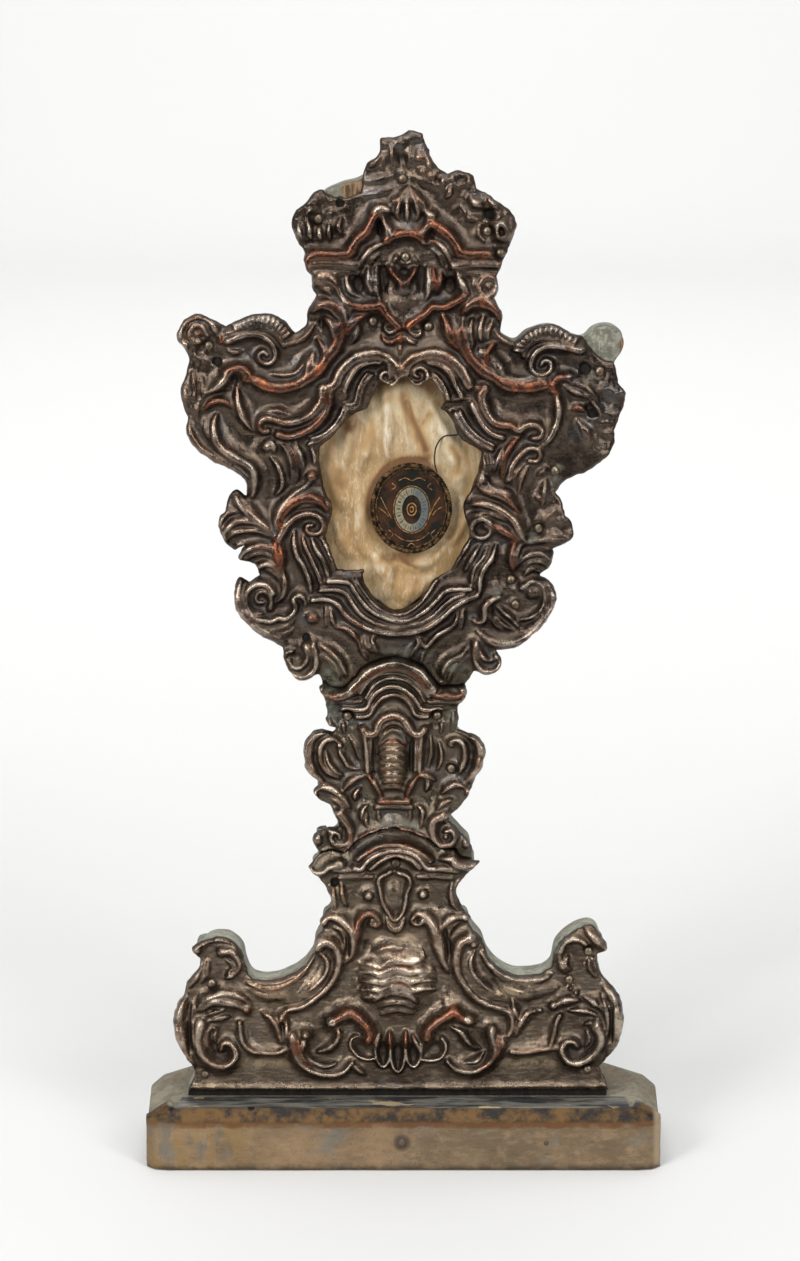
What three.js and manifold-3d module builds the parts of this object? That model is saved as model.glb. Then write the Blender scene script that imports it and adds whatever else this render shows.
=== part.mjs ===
// A standing altar reliquary: embossed, once silvered copper sheet nailed on a wooden board with a plinth.
// Millimetres. x runs to the viewer's right, y away from the viewer, z up. The origin is under the plinth.
import * as THREE from 'three';
import { mergeVertices } from 'three/addons/utils/BufferGeometryUtils.js';
import Module from 'manifold-3d';

const wasm = await Module();
wasm.setup();

// Driving dimensions
const fit = 0.3; // gap between pieces that touch
const plinthFront = -31.1; // front face of the wood, behind its facing
const plinthBack = 32.8;
const plinthHalfWidth = 100.4;
const plinthShoulder = 19.8; // height where the sloping top edge starts
const plinthHeight = 24;
const facingThickness = 0.6;
const facingFoot = 0.5; // the facing ends just above the ground
const boardFront = -13;
const boardBack = 7;
const boardFoot = plinthHeight + fit;
const sheetBack = boardFront - fit;
const sheetThickness = 1.2; // flat ground of an embossed sheet
const sheetFront = sheetBack - sheetThickness;
const facetTurn = 0.7; // turn of a ridge from one facet to the next, in radians
const pocketBack = -4;
const liningFront = -8.6;
const outlineStep = 5.5; // length of one facet along the outline of a sheet
const boardStep = 7.5; // and along the outline of the board
const ridgeStep = 10; // and along a raised ridge

// Outlines, from the top of the object. Each inner list is one smooth stretch, and its last point is a corner.
const headTop = [2, 401.3];
const headLeft = [
  [[-2.6, 399.1], [-8.6, 398.6]],
  [[-10, 391.7], [-13.4, 389.7]],
  [[-15, 385.3], [-15.8, 378.5]],
  [[-22, 376.5], [-27.5, 377.2], [-30, 379.6]],
  [[-33.4, 378.3], [-36.4, 374.5], [-40.4, 371.2], [-41.7, 366.1], [-39.7, 360.4], [-36.7, 356]],
  [[-37.2, 353.7], [-36, 349], [-34.4, 347.6]],
  [[-33.7, 341.5], [-32.7, 340.2]],
  [[-35.8, 334.8], [-36.6, 328.9], [-40.5, 325.8]],
  [[-45.3, 331.2], [-53.8, 333], [-62.2, 330.6], [-66.4, 328.3]],
  [[-71.2, 330.7], [-76.3, 333], [-82.5, 330.3], [-84.8, 322.5], [-82.2, 320]],
  [[-80.6, 316.2], [-81.9, 309.9], [-84, 304.2], [-82.2, 296.1], [-81, 293.8]],
  [[-82.1, 289.3], [-79.1, 282.6], [-71.9, 276.9], [-64.1, 273.2], [-59.2, 268.6], [-59.5, 263.4]],
  [[-63.7, 266.4], [-66.3, 262], [-67.3, 258.3]],
  [[-70.1, 254.6], [-68.7, 247.5], [-64.4, 242.6]],
  [[-60.2, 244.6]],
  [[-62.7, 239.5], [-56, 237.2], [-54.6, 233.2]],
  [[-58.6, 230.4]],
  [[-62.6, 232.2], [-64.5, 225.2], [-62.8, 217.8], [-56.5, 210.9], [-45.9, 204.6]],
  [[-45.3, 198.8], [-40.8, 192.7], [-37.4, 191.8], [-32.7, 194.4]],
  [[-28.7, 190.6]],
];
const headRight = [
  [[24.9, 191.9], [27.2, 195.9]],
  [[32.2, 194.2], [37.6, 198.2], [35, 204.4]],
  [[41.2, 204.3], [47.4, 208], [54.6, 216], [58.2, 224.1], [55, 231.5], [51.4, 233.3]],
  [[55.3, 236.1], [56.7, 240.7], [56.4, 243]],
  [[63.6, 247], [63.9, 252.4], [60.8, 256.1]],
  [[60, 261.2], [57.5, 264.8]],
  [[60.5, 269.2], [70.8, 274.3], [78.6, 281.2], [79.5, 289.8]],
  [[82.2, 296.7], [83.4, 302.4], [80.9, 307], [78.8, 314.5]],
  [[72.3, 317.4], [67, 324.6]],
  [[63.2, 325.4], [55.3, 329.2], [46.8, 326.9], [41.5, 322.5]],
  [[36.2, 326.6], [36.9, 332.3], [33.8, 338.5]],
  [[35.4, 343.6], [34.8, 346.9]],
  [[37.5, 353.7], [40.2, 360.4], [42.2, 366.8], [39.9, 371.2], [33.2, 376.6], [27.2, 379.9]],
  [[25.5, 384.6], [20.5, 386.8], [16.5, 385.3]],
  [[12.1, 388.3], [9.8, 392]],
  [[7.3, 399.1], [7, 400.6], [2, 401.3]],
];
const stemLeft = [
  [[-32.2, 189], [-30.1, 184.1], [-29.3, 178.9], [-30, 176.5]],
  [[-28.4, 174.4], [-25.5, 173.5], [-26.9, 171.4]],
  [[-33.8, 172.4], [-37.9, 166.4], [-37, 156.9], [-31.8, 151]],
  [[-34.5, 148.5], [-33, 145.3], [-28.1, 142], [-24.9, 134.1]],
  [[-30, 133.4], [-35, 130.2], [-32.8, 123.4]],
];
const stemRight = [
  [[26.3, 126.4], [21.8, 132.1], [16.9, 137.2]],
  [[23, 143.5], [26.3, 149.8]],
  [[31, 160.4], [31.3, 165.2], [29, 169.3], [20.5, 173]],
  [[21, 175.3], [20.9, 181.5]],
  [[24.3, 186.6], [23.8, 190.2]],
];
const footLeft = [
  [[-37, 117.5]],
  [[-30, 109.9], [-27.9, 103.6], [-32.2, 95.9], [-31, 92.7]],
  [[-34.3, 88.7], [-35, 82.7]],
  [[-41, 76], [-51.5, 71.9], [-58.3, 72.2]],
  [[-60.5, 74.9], [-62.7, 84], [-68.9, 89.3], [-75.8, 88.6], [-82, 85], [-78.9, 80.4]],
  [[-79.2, 77.5], [-84.2, 70.9], [-85.4, 65.7]],
  [[-89.1, 59.1], [-88.8, 48.7], [-83.9, 38.8], [-81.7, 34.9]],
  [[-82.3, 31], [-84.6, 27]],
];
const footRight = [
  [[79.1, 30.6], [76.6, 36.8]],
  [[82.9, 44.7], [85.8, 56.5], [84.1, 65.7]],
  [[81.3, 69], [76.6, 75.5], [75.1, 82.4]],
  [[79, 84.7], [77.9, 88], [72.6, 94.3], [63.6, 90.3], [58.9, 84.7], [57.3, 76.8]],
  [[53.6, 74.9], [42.4, 74.5], [33.6, 80.8], [30.5, 88.6]],
  [[25.5, 95.2], [25.9, 97.8], [22.4, 101.8], [20.5, 108.7], [24.8, 115], [29.7, 120.2]],
];
const footBottomRight = [80.5, 27];

// Top edge of each cornice, left to right. The sheet above a cornice is cut back from it by the gap.
const upperCorniceTop = [
  [[-23, 188.9], [-18.4, 193.2], [-14.4, 197.3], [-4.4, 200.8], [7.1, 197.4], [13.6, 189.7], [23.8, 190.2]],
];
const upperCorniceLeftTip = [-30.6, 190.4];
const lowerCorniceTop = [
  [[-29.5, 124.2], [-22.4, 124.3]],
  [[-16.5, 129.8], [-3.2, 133.7], [9.8, 129], [13.2, 126]],
  [[19.5, 124.8], [22.6, 121.4], [29.7, 120.2]],
];
const lowerCorniceLeftTip = [-32.8, 122.8];

// The bare wood that the torn sheet no longer covers
const boardBareHead = [[[-15, 385.3], [-20, 383.3], [-28.2, 379.5], [-30, 379.6]]];
const boardBareShoulder = [[[81.9, 317.5], [81.6, 326], [76, 329.6], [70.4, 328], [67, 324.6]]];

// The window in the head sheet, and the larger pocket behind it
const windowOutline = [
  [[-10, 305.3], [-13.8, 297.3]],
  [[-20, 294.4], [-25.7, 287.5], [-31.9, 282.1]],
  [[-31.5, 274], [-29.1, 264.5], [-27.1, 260], [-28.5, 252], [-29.8, 248.1]],
  [[-24.8, 235]],
  [[-14.7, 234.7], [-15.8, 232.7]],
  [[-11.3, 224.1], [-2.7, 217.4], [5.9, 223.5], [11.2, 232.1]],
  [[17.9, 234.7]],
  [[22, 243], [24.8, 247.5], [22.8, 259.9], [26.2, 268], [29.8, 280.1]],
  [[21.4, 286.4], [17.4, 294.4], [13.5, 297.3]],
  [[15.7, 300.2], [10.1, 308.2]],
  [[4.5, 306], [0.3, 309.5], [-4, 306], [-9, 308]],
];
const windowStart = [-9, 308];
const pocketCorners = [
  [-16, 301], [-33.5, 284], [-32, 234], [-18, 226], [-2.5, 214.5], [14, 227], [27, 234], [31.5, 284], [16, 302],
  [0, 310],
];

// Points on a smooth curve through the given ones
function smooth(points, step) {
  if (points.length < 2) return points;
  const vectors = points.map(([x, z]) => new THREE.Vector3(x, z, 0));
  const curve = new THREE.CatmullRomCurve3(vectors, false, 'centripetal');
  const count = Math.max(points.length > 2 ? 2 : 1, Math.round(curve.getLength() / step));
  return curve.getSpacedPoints(count).map((p) => [p.x, p.y]);
}

// Joins stretches into one run of points that begins at start and is smooth between its corners
function trace(start, stretches, step = outlineStep) {
  const run = [start];
  for (const stretch of stretches) {
    const corner = run[run.length - 1];
    run.push(...smooth([corner, ...stretch], step).slice(1));
  }
  return run;
}

const raise = (points, by) => points.map(([x, z]) => [x, z + by]);

// Cuts a closed mesh's doubles away and turns it into a solid for joining and cutting
function solid(geometry) {
  const plain = geometry.clone();
  plain.deleteAttribute('normal');
  plain.deleteAttribute('uv');
  const merged = mergeVertices(plain, 1e-4);
  return new wasm.Manifold(new wasm.Mesh({
    numProp: 3,
    vertProperties: new Float32Array(merged.attributes.position.array),
    triVerts: new Uint32Array(merged.index.array),
  }));
}

function geometryOf(shape) {
  const mesh = shape.getMesh();
  const geometry = new THREE.BufferGeometry();
  geometry.setAttribute('position', new THREE.BufferAttribute(new Float32Array(mesh.vertProperties), 3));
  geometry.setIndex(new THREE.BufferAttribute(new Uint32Array(mesh.triVerts), 1));
  geometry.computeVertexNormals();
  return geometry;
}

// The triangles that close a flat ring, in the ring's own turning sense
function capFaces(ring) {
  const middle = ring.reduce((sum, p) => sum.clone().add(p)).divideScalar(ring.length);
  const normal = new THREE.Vector3();
  ring.forEach((p, i) => {
    const next = ring[(i + 1) % ring.length];
    normal.add(p.clone().sub(middle).cross(next.clone().sub(middle)));
  });
  const flat = new THREE.Quaternion().setFromUnitVectors(normal.normalize(), new THREE.Vector3(0, 0, 1));
  const contour = ring.map((p) => {
    const q = p.clone().sub(middle).applyQuaternion(flat);
    return new THREE.Vector2(q.x, q.y);
  });
  return THREE.ShapeUtils.triangulateShape(contour, []);
}

// A closed skin over rings of points that all have the same count, with flat caps at both ends
function loft(rings) {
  const size = rings[0].length;
  const positions = rings.flat().flatMap((p) => [p.x, p.y, p.z]);
  const index = [];
  for (let ring = 0; ring + 1 < rings.length; ring += 1) {
    for (let i = 0; i < size; i += 1) {
      const a = ring * size + i;
      const b = ring * size + ((i + 1) % size);
      index.push(a, b, a + size, b, b + size, a + size);
    }
  }
  const last = (rings.length - 1) * size;
  for (const [a, b, c] of capFaces(rings[0])) index.push(b, a, c);
  for (const [a, b, c] of capFaces(rings[rings.length - 1])) index.push(last + a, last + b, last + c);
  const geometry = new THREE.BufferGeometry();
  geometry.setAttribute('position', new THREE.Float32BufferAttribute(positions, 3));
  geometry.setIndex(index);
  if (volume(geometry) < 0) {
    for (let i = 0; i < index.length; i += 3) [index[i], index[i + 1]] = [index[i + 1], index[i]];
    geometry.setIndex(index);
  }
  return geometry;
}

function volume(geometry) {
  const at = geometry.attributes.position;
  const index = geometry.index.array;
  const corner = (i) => new THREE.Vector3().fromBufferAttribute(at, index[i]);
  let sum = 0;
  for (let i = 0; i < index.length; i += 3) {
    sum += corner(i).dot(corner(i + 1).cross(corner(i + 2)));
  }
  return sum / 6;
}

// A flat plate with the outline in x and z, from its back face towards the viewer
function plate(outline, back, thickness, holes = []) {
  const shape = new THREE.Shape(outline.map(([x, z]) => new THREE.Vector2(x, z)));
  for (const hole of holes) shape.holes.push(new THREE.Path(hole.map(([x, z]) => new THREE.Vector2(x, z))));
  const geometry = new THREE.ExtrudeGeometry(shape, { depth: thickness, bevelEnabled: false, steps: 1 });
  geometry.rotateX(Math.PI / 2);
  geometry.translate(0, back, 0);
  return geometry;
}

// How full a ridge is along its length: round at both ends, tapering to one end, or even
const fullness = {
  both: (t) => Math.max(0.25, Math.sin(Math.PI * t) ** 0.6),
  end: (t) => Math.max(0.22, Math.cos((Math.PI / 2) * t) ** 0.6),
  start: (t) => Math.max(0.22, Math.sin((Math.PI / 2) * t) ** 0.6),
  even: () => 1,
};

// Facets are shorter on a ridge that turns tightly for its length
function turnStep(points) {
  let length = 0;
  let turn = 0;
  for (let i = 1; i < points.length; i += 1) {
    const along = new THREE.Vector2(points[i][0] - points[i - 1][0], points[i][1] - points[i - 1][1]);
    length += along.length();
    if (i < 2) continue;
    const before = new THREE.Vector2(points[i - 1][0] - points[i - 2][0], points[i - 1][1] - points[i - 2][1]);
    turn += Math.acos(Math.min(1, before.dot(along) / before.length() / along.length()));
  }
  return (length * facetTurn) / Math.max(turn, facetTurn);
}

// A raised ridge on a sheet, through the given points, with its half width, height and taper
function ridge([points, halfWidth, height, taper = 'both']) {
  const path = smooth(points, Math.min(ridgeStep, turnStep(points)));
  const rings = path.map(([x, z], i) => {
    const before = path[Math.max(0, i - 1)];
    const after = path[Math.min(path.length - 1, i + 1)];
    const along = new THREE.Vector2(after[0] - before[0], after[1] - before[1]).normalize();
    const full = fullness[taper](i / (path.length - 1));
    const crest = halfWidth > 1.65 ? [[-0.4, 0.9 * height], [0.4, 0.9 * height]] : [[0, height]];
    const section = [[-1, 0], ...crest, [1, 0]];
    return section.map(([side, out]) => new THREE.Vector3(
      x - along.y * side * halfWidth * full,
      sheetFront - out * full,
      z + along.x * side * halfWidth * full,
    ));
  });
  return solid(loft(rings));
}

// A domed boss: centre, half width, half height and how far it stands out
function boss([x, z, halfWidth, halfHeight, out, turn = 0]) {
  const large = halfWidth + halfHeight > 10;
  const sides = large ? 10 : 6;
  const profile = large ? [[1, 0], [0.72, 0.72 * out], [0.3, out]] : [[1, 0], [0.5, out]];
  const rings = profile.map(([scale, height]) => (
    Array.from({ length: sides }, (_, i) => {
      const angle = (i / sides) * 2 * Math.PI;
      const across = Math.cos(angle) * halfWidth * scale;
      const up = Math.sin(angle) * halfHeight * scale;
      return new THREE.Vector3(
        x + across * Math.cos(turn) - up * Math.sin(turn),
        sheetFront - height,
        z + across * Math.sin(turn) + up * Math.cos(turn),
      );
    })
  ));
  return solid(loft(rings));
}

// Raised forms of the head sheet: ridges are points, half width, height and taper
const headRidges = [
  // lip, broken pediment and mouldings of the crown
  [[[-9, 397.3], [0, 397.6], [7.3, 398.2]], 1.5, 2.2, 'even'],
  [[[-36, 353.2], [-32.4, 356], [-19.7, 356.2], [-13.6, 363.8], [-8.3, 372]], 1.9, 3.2, 'end'],
  [[[37, 352.5], [33.9, 356], [21.8, 355.9], [17.1, 363.1], [12.1, 369.5]], 1.9, 3.2, 'end'],
  [[[-35.5, 350], [-27, 350.8], [-19.5, 350.2]], 1.7, 2.4],
  [[[36, 350], [27, 350.8], [18.5, 350.4]], 1.7, 2.4],
  [[[-15.5, 352], [-9, 357.7], [1, 362.4], [10, 359], [18.1, 351]], 1.4, 2.6],
  [[[-22, 337.6], [-10.8, 336.2], [-5.6, 332.1], [-1.5, 328.6]], 1.2, 2.4, 'even'],
  [[[22, 339.2], [10.1, 335.8], [5.5, 331.2], [1.5, 328.8]], 1.2, 2.4, 'even'],
  [[[-33, 335.5], [-27.7, 337.4], [-22.9, 332.1], [-21.5, 326]], 1.7, 2.8],
  [[[35.2, 334.1], [29, 337.4], [22.5, 334.9], [21, 328]], 1.7, 2.8],
  // upper wings: crests, scrolls and hooked leaves
  [[[-65, 328.2], [-58, 330.7], [-51, 331], [-43.8, 326.6]], 2.3, 3.2],
  [[[43, 321], [47.5, 325.6], [55, 327.6], [65.5, 322.8]], 2.2, 3.2],
  [[[-65.6, 323.1], [-57, 325.6], [-49.3, 322.5], [-48, 316.5], [-53.8, 315.7]], 1.7, 3, 'end'],
  [[[66, 318], [57, 320.8], [49, 318], [48.6, 311.8], [54.1, 312.8]], 1.7, 3, 'end'],
  [[[-74.6, 303], [-68, 307], [-62, 313], [-57.7, 311.6], [-58.8, 307.6]], 1.7, 2.8],
  [[[56.1, 304.7], [58.6, 309.2], [63.7, 309.3]], 1.6, 2.6],
  [[[60.3, 307], [66.5, 305], [71.6, 300.7]], 1.6, 2.6],
  [[[-62.2, 305.3], [-61.4, 297], [-56, 288.4]], 1.5, 2.4],
  [[[57.2, 303], [57.6, 293], [52.4, 282.9]], 1.5, 2.4],
  [[[-80, 312], [-81.6, 302.5], [-79.2, 292], [-78, 285.5], [-70, 279.2], [-60, 273.6]], 1.7, 2.6],
  [[[77.5, 309], [80, 301], [76.6, 285], [69, 277.6], [60, 272]], 1.7, 2.6],
  // large Cs beside the head of the window
  [[[-55, 307.4], [-45, 305.2], [-35, 309.3], [-30, 316], [-24.6, 324], [-26.1, 332.9]], 1.8, 3.2],
  [[[52, 306.4], [42, 305.4], [32, 310], [24.8, 317.4], [22, 325], [24.3, 332]], 1.8, 3.2],
  [[[-37, 309.8], [-34.4, 315], [-33.2, 319]], 2, 2.8],
  [[[-43.6, 320.8], [-36, 323.6], [-31.8, 331.7]], 1.5, 2.6],
  [[[38.4, 308.8], [34, 314], [32.6, 319.5]], 2, 2.8],
  [[[15.8, 331.7], [18, 326], [21.4, 321.4]], 1.8, 2.6],
  // moulded frame of the window, left then right, then its foot
  [[[-55, 290], [-50, 293.6], [-42, 292.3], [-34, 296.4], [-29.8, 304.7]], 1.9, 3.4],
  [[[-25, 306.6], [-20, 315], [-10.5, 318.4], [-3.5, 316.2], [-2.3, 310.6]], 1.8, 3.4],
  [[[-19, 299.4], [-17.4, 306.4], [-12, 312.6]], 1.3, 2.6],
  [[[-44, 287.5], [-33.5, 290.5], [-24.6, 297.6]], 1.4, 2.6],
  [[[-34.4, 284.4], [-27, 289], [-21, 296.6]], 1.2, 2.2],
  [[[51.5, 286], [49, 290.8], [43, 289], [34.9, 292.1], [29.6, 300], [29, 304.5]], 1.9, 3.4],
  [[[24, 307], [19.5, 314.6], [11, 317.8], [3, 316.2], [1, 311]], 1.8, 3.4],
  [[[21.4, 301.4], [17, 310.4], [12, 314]], 1.3, 2.6],
  [[[35, 286], [29, 290.6], [25.6, 297.6]], 1.4, 2.6],
  [[[31, 283], [24.4, 287.4], [19.8, 295]], 1.2, 2.2],
  [[[-47.4, 284.1], [-43.4, 277], [-42.4, 269.1]], 1.4, 2.4],
  [[[-40.1, 284.6], [-37.2, 278], [-36.8, 272]], 1.4, 2.4],
  [[[38.6, 268.6], [41, 276.6], [48, 281.6], [51, 279], [47, 276.9]], 1.4, 2.6, 'end'],
  [[[34.4, 273.8], [36.8, 282]], 1.3, 2.2],
  // leaves beside the window
  [[[-49, 249.3], [-46.5, 259], [-39, 266.4], [-33.6, 271.5]], 1.8, 2.8],
  [[[-46.7, 254.3], [-40.5, 261.2], [-33.5, 263.3], [-27.8, 260]], 1.7, 3],
  [[[-46.2, 248.7], [-40.5, 256], [-33.5, 257], [-30.6, 252], [-35.4, 250]], 1.7, 3, 'end'],
  [[[-49.5, 248.7], [-57.3, 256.7], [-64.1, 263.4]], 1.9, 2.6],
  [[[-48.4, 245.9], [-56, 252.6], [-65.6, 252.8], [-67, 247.4]], 1.9, 2.8],
  [[[-47.3, 239], [-53, 243.4], [-61, 240.4]], 1.6, 2.4],
  [[[-46.9, 222.9], [-46.6, 235], [-48.8, 247.6]], 1.8, 2.8, 'start'],
  [[[26, 270.3], [31, 266], [39, 265], [43.5, 260.5]], 1.8, 2.8],
  [[[24.8, 260.1], [33, 260.8], [41, 256], [47.2, 245.5]], 1.8, 3],
  [[[27, 254], [34.3, 253.6], [42.2, 246.4], [40.8, 235.6]], 1.7, 2.8],
  [[[43.3, 237.8], [48.6, 242.2], [55.5, 240.7]], 1.6, 2.4],
  // lower scrolls and the small volutes at the foot of the head
  [[[-61.6, 231], [-62.6, 222], [-56, 213.4], [-45, 207.6]], 1.9, 2.8],
  [[[-46.2, 216.6], [-54.6, 215.6], [-59, 222], [-55.5, 230], [-50, 227], [-51.8, 221]], 1.5, 2.8],
  [[[-34.4, 205.1], [-33.4, 197], [-40, 194], [-44.6, 199], [-42.2, 203.2]], 1.5, 2.8],
  [[[55.6, 230.4], [56.8, 221], [49, 210.8], [38, 206.6], [28.8, 211.6]], 1.9, 2.8],
  [[[36.5, 218.6], [45, 218.4], [53, 222], [50.5, 230.6], [46.1, 228.7]], 1.5, 2.8],
  [[[28.3, 205.1], [28, 197], [34, 195.6], [37, 201.2]], 1.5, 2.8],
  // reeds and mouldings round the lower half of the window
  [[[-41.2, 249], [-39.6, 240], [-35, 229], [-31, 225.4]], 1.3, 2.4],
  [[[-35.4, 247], [-31, 240.6], [-28.6, 231.6], [-19.4, 230], [-12, 219.6], [-2.5, 215.2]], 1.4, 2.6],
  [[[-33.8, 223.5], [-24.2, 221.8], [-14, 212.6], [-3, 209.8], [9, 213.6], [20, 222.6], [28.4, 226]], 1.5, 2.8],
  [[[34.9, 246], [30.4, 235], [28.6, 227.4]], 1.3, 2.4],
  [[[28.8, 244.6], [23.6, 235.6], [22.6, 229.4], [15, 227], [7.5, 218], [-2, 215.2]], 1.4, 2.6],
  [[[-28.4, 221], [-26.5, 213.6], [-16.9, 206.4]], 1.2, 2.2],
  [[[21.4, 220], [19.5, 214], [9.4, 206.4]], 1.2, 2.2],
  [[[-31, 206.3], [-24.2, 200.6], [-21.4, 195.6]], 1.5, 2.4],
  [[[24, 204.6], [18.2, 201.1], [15.4, 196.6]], 1.5, 2.4],
];
const headBosses = [
  [4.8, 391.5, 4.2, 4.6, 2.6], [-6.4, 391.6, 3.4, 4.4, 2], [1.4, 373.4, 6.4, 7.4, 2.8],
  [-33.5, 366.2, 6.8, 7, 2.6], [35.4, 365.6, 6, 7, 2.6], [0.3, 341.6, 7.6, 10.6, 3.4],
  [-30.7, 345.4, 3.6, 3.6, 3], [31.6, 343.7, 3.8, 3.8, 3], [-76.6, 325.6, 6.4, 6, 3.2],
  [-50.8, 319.6, 2.6, 2.6, 2.2], [0, 323.6, 4.6, 3.6, 2.4], [-5.6, 310.2, 2.6, 2.8, 2.6],
  [5.2, 310, 2.8, 3, 2.6], [-50.6, 283.4, 3.4, 3.4, 3], [48.4, 286.6, 2.4, 2.4, 2.8],
  [-34.4, 253.2, 2, 2, 3.4], [29.6, 251, 4.2, 4.4, 3.2], [56, 253.2, 6.4, 6.8, 1.2],
  [-53.6, 223.6, 3, 3.4, 1.8], [-39.6, 199.6, 3, 3, 2.4], [32.6, 200, 2.6, 2.8, 2.4],
  [-68.4, 323.7, 2.2, 2.4, 2.2], [-33.8, 271.6, 3, 2.6, 2.8], [30.4, 268.6, 3, 2.6, 2.8],
];
const stemRidges = [
  [[[-30.6, 188], [-22.3, 186.6], [-13.1, 195.4], [-4.4, 198.4], [5.9, 195.5], [14.6, 186.8], [22.8, 187.8]], 2, 3.2],
  [[[-20, 181.2], [-13.2, 182.6], [-4.4, 190.2], [3.6, 186], [6.5, 181.2]], 1.5, 2.4],
  [[[-14.4, 171.8], [-10.6, 173.6], [-3.3, 178.2], [2.6, 172.2], [7.4, 171.4]], 1.3, 2.4, 'even'],
  [[[-14.4, 171.4], [-13.6, 155]], 1.2, 2.2, 'even'],
  [[[7.4, 171], [5.4, 155]], 1.2, 2.2, 'even'],
  [[[-13.4, 154.6], [-8.6, 145], [0.4, 143.8], [5.2, 154.6]], 1.3, 2.2, 'even'],
  [[[-33.6, 170.6], [-36, 163], [-31.5, 153.3]], 1.9, 2.8],
  [[[-24.9, 168.1], [-30.6, 168], [-30.4, 160], [-25.2, 154.5]], 1.6, 2.6],
  [[[24.6, 170.6], [29.4, 165.4], [25, 153.9]], 1.9, 2.8],
  [[[16.6, 166.4], [22.6, 167.8], [23, 160], [20.9, 155.7]], 1.6, 2.6],
  [[[-33.4, 147.6], [-26, 147.8], [-21.2, 138], [-23, 129], [-28.2, 129.4]], 1.7, 3],
  [[[25, 148], [16.6, 148], [11.6, 138], [15, 131], [20, 130.4]], 1.7, 3],
  [[[-22.3, 148.5], [-18.6, 154], [-14.2, 153.3]], 1.5, 2.4],
  [[[13.4, 152.1], [9, 154], [8.6, 146]], 1.5, 2.4],
];
const stemBosses = [
  [-3.8, 160, 5.4, 13.2, 2.8], [-33, 128.9, 2, 2.8, 2.2], [23.6, 127.9, 1.8, 2.6, 2.2],
];
const footRidges = [
  [[[-34.4, 119], [-28.4, 121.8], [-21.5, 122], [-13, 129], [-3.2, 131.4], [6.6, 128], [12, 123.6], [18.5, 122],
    [24, 118.4]], 1.9, 3.2],
  [[[-25.8, 117.2], [-16.4, 117.8], [-3.2, 124.4], [8.4, 119.4], [16.9, 117.8]], 1.4, 2.4],
  [[[-17.9, 92.8], [-15.6, 99], [-10.5, 99.4], [-9.6, 95.6]], 1.6, 2.8],
  [[[16.2, 79.4], [14, 90], [9, 99], [3.4, 99], [3.6, 95.6]], 1.6, 2.8],
  [[[-30.2, 96.6], [-23.6, 96.2], [-19.3, 88], [-20.6, 81.6]], 1.7, 2.8],
  [[[14.3, 89], [17, 97], [24.3, 97.1]], 1.7, 2.8],
  [[[-32.4, 87.4], [-27, 87], [-25, 78], [-31, 66.6], [-43.4, 60.1]], 1.8, 3.2],
  [[[27.4, 86.4], [22.6, 88.6], [20.4, 79], [26.4, 66.6], [41.1, 59.8]], 1.8, 3.2],
  [[[-52.1, 59.1], [-49, 52], [-46.7, 46.6]], 1.5, 2.6],
  [[[-44.6, 62.6], [-46.6, 55], [-46.7, 46.6]], 1.5, 2.6],
  [[[42.6, 63.8], [43.6, 56], [43.6, 50]], 1.5, 2.6],
  [[[50.5, 59.8], [46, 55], [43.6, 50]], 1.5, 2.6],
  [[[-60, 69.6], [-50.2, 69], [-41, 73.2], [-34.6, 80.6]], 1.5, 2.4],
  [[[56, 72.6], [44, 71.6], [35.4, 76.4], [30.6, 82.4]], 1.5, 2.4],
  [[[-29.4, 56.3], [-23, 59.8], [-16, 56], [-13.4, 49]], 1.7, 3.4, 'start'],
  [[[25.4, 56.8], [19, 60], [12, 55], [9.8, 49]], 1.7, 3.4, 'start'],
  [[[-37.6, 50.6], [-42.6, 46], [-38.4, 36.8], [-28, 33.8], [-19.7, 38.8]], 1.7, 2.8],
  [[[34.8, 51.6], [39.2, 44.7], [34, 36.4], [24.3, 33.8], [18, 38.4]], 1.7, 2.8],
  [[[-63, 55], [-61.4, 45.4], [-52.7, 42.1], [-46.5, 42.7]], 1.1, 1.8],
  [[[60.4, 57.2], [57.6, 45], [42.4, 43.1]], 1.1, 1.8],
  [[[-72.4, 52.4], [-78.6, 48], [-75.6, 39.4], [-68.4, 38], [-66.6, 43.4]], 1.9, 3.2],
  [[[70.4, 54.5], [76, 48.6], [72.4, 39.6], [64.4, 38.8], [62.6, 44.6]], 1.9, 3.2],
  [[[-79.4, 58.6], [-72.4, 64.6], [-61.2, 60]], 2.4, 3.4],
  [[[57.9, 61.8], [67, 66], [76.9, 59.1]], 2.4, 3.4],
  [[[-86, 66], [-87.4, 54], [-83.6, 42.6]], 1.8, 2.8],
  [[[81.6, 67.4], [83.4, 56.5], [79.6, 42.6]], 1.8, 2.8],
  [[[-79.6, 84.4], [-70, 87.2], [-64.4, 80], [-66.6, 74]], 1.9, 3],
  [[[61.4, 79], [62, 88], [70.4, 89.8], [76, 86]], 1.9, 3],
  [[[-83, 28.4], [-2, 27.9], [79.4, 28.4]], 1, 1.2, 'even'],
];
const footBosses = [
  [-2.6, 72, 15.4, 19.4, 4.6], [-3.4, 106.2, 5.4, 11.6, 3.4], [-13.2, 106.8, 4.4, 4.6, 2.4],
  [7.4, 107.6, 4.4, 4.6, 2.4], [-2.2, 42, 3.2, 7.2, 3.2], [-8.4, 43, 3, 6.2, 2.8, -0.25],
  [4.6, 42.8, 3, 6.2, 2.8, 0.3], [-15.8, 43.6, 4, 4.2, 2.2], [12.6, 44, 4, 4.2, 2.2],
  [-61.6, 58.6, 2.6, 3, 3.6], [57, 61.4, 2.8, 3, 3.6], [-31, 96.6, 2.2, 2.4, 2.6],
  [-33, 86.6, 2, 2.4, 2.6], [27.8, 85.6, 2, 2.4, 2.6],
];

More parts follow.
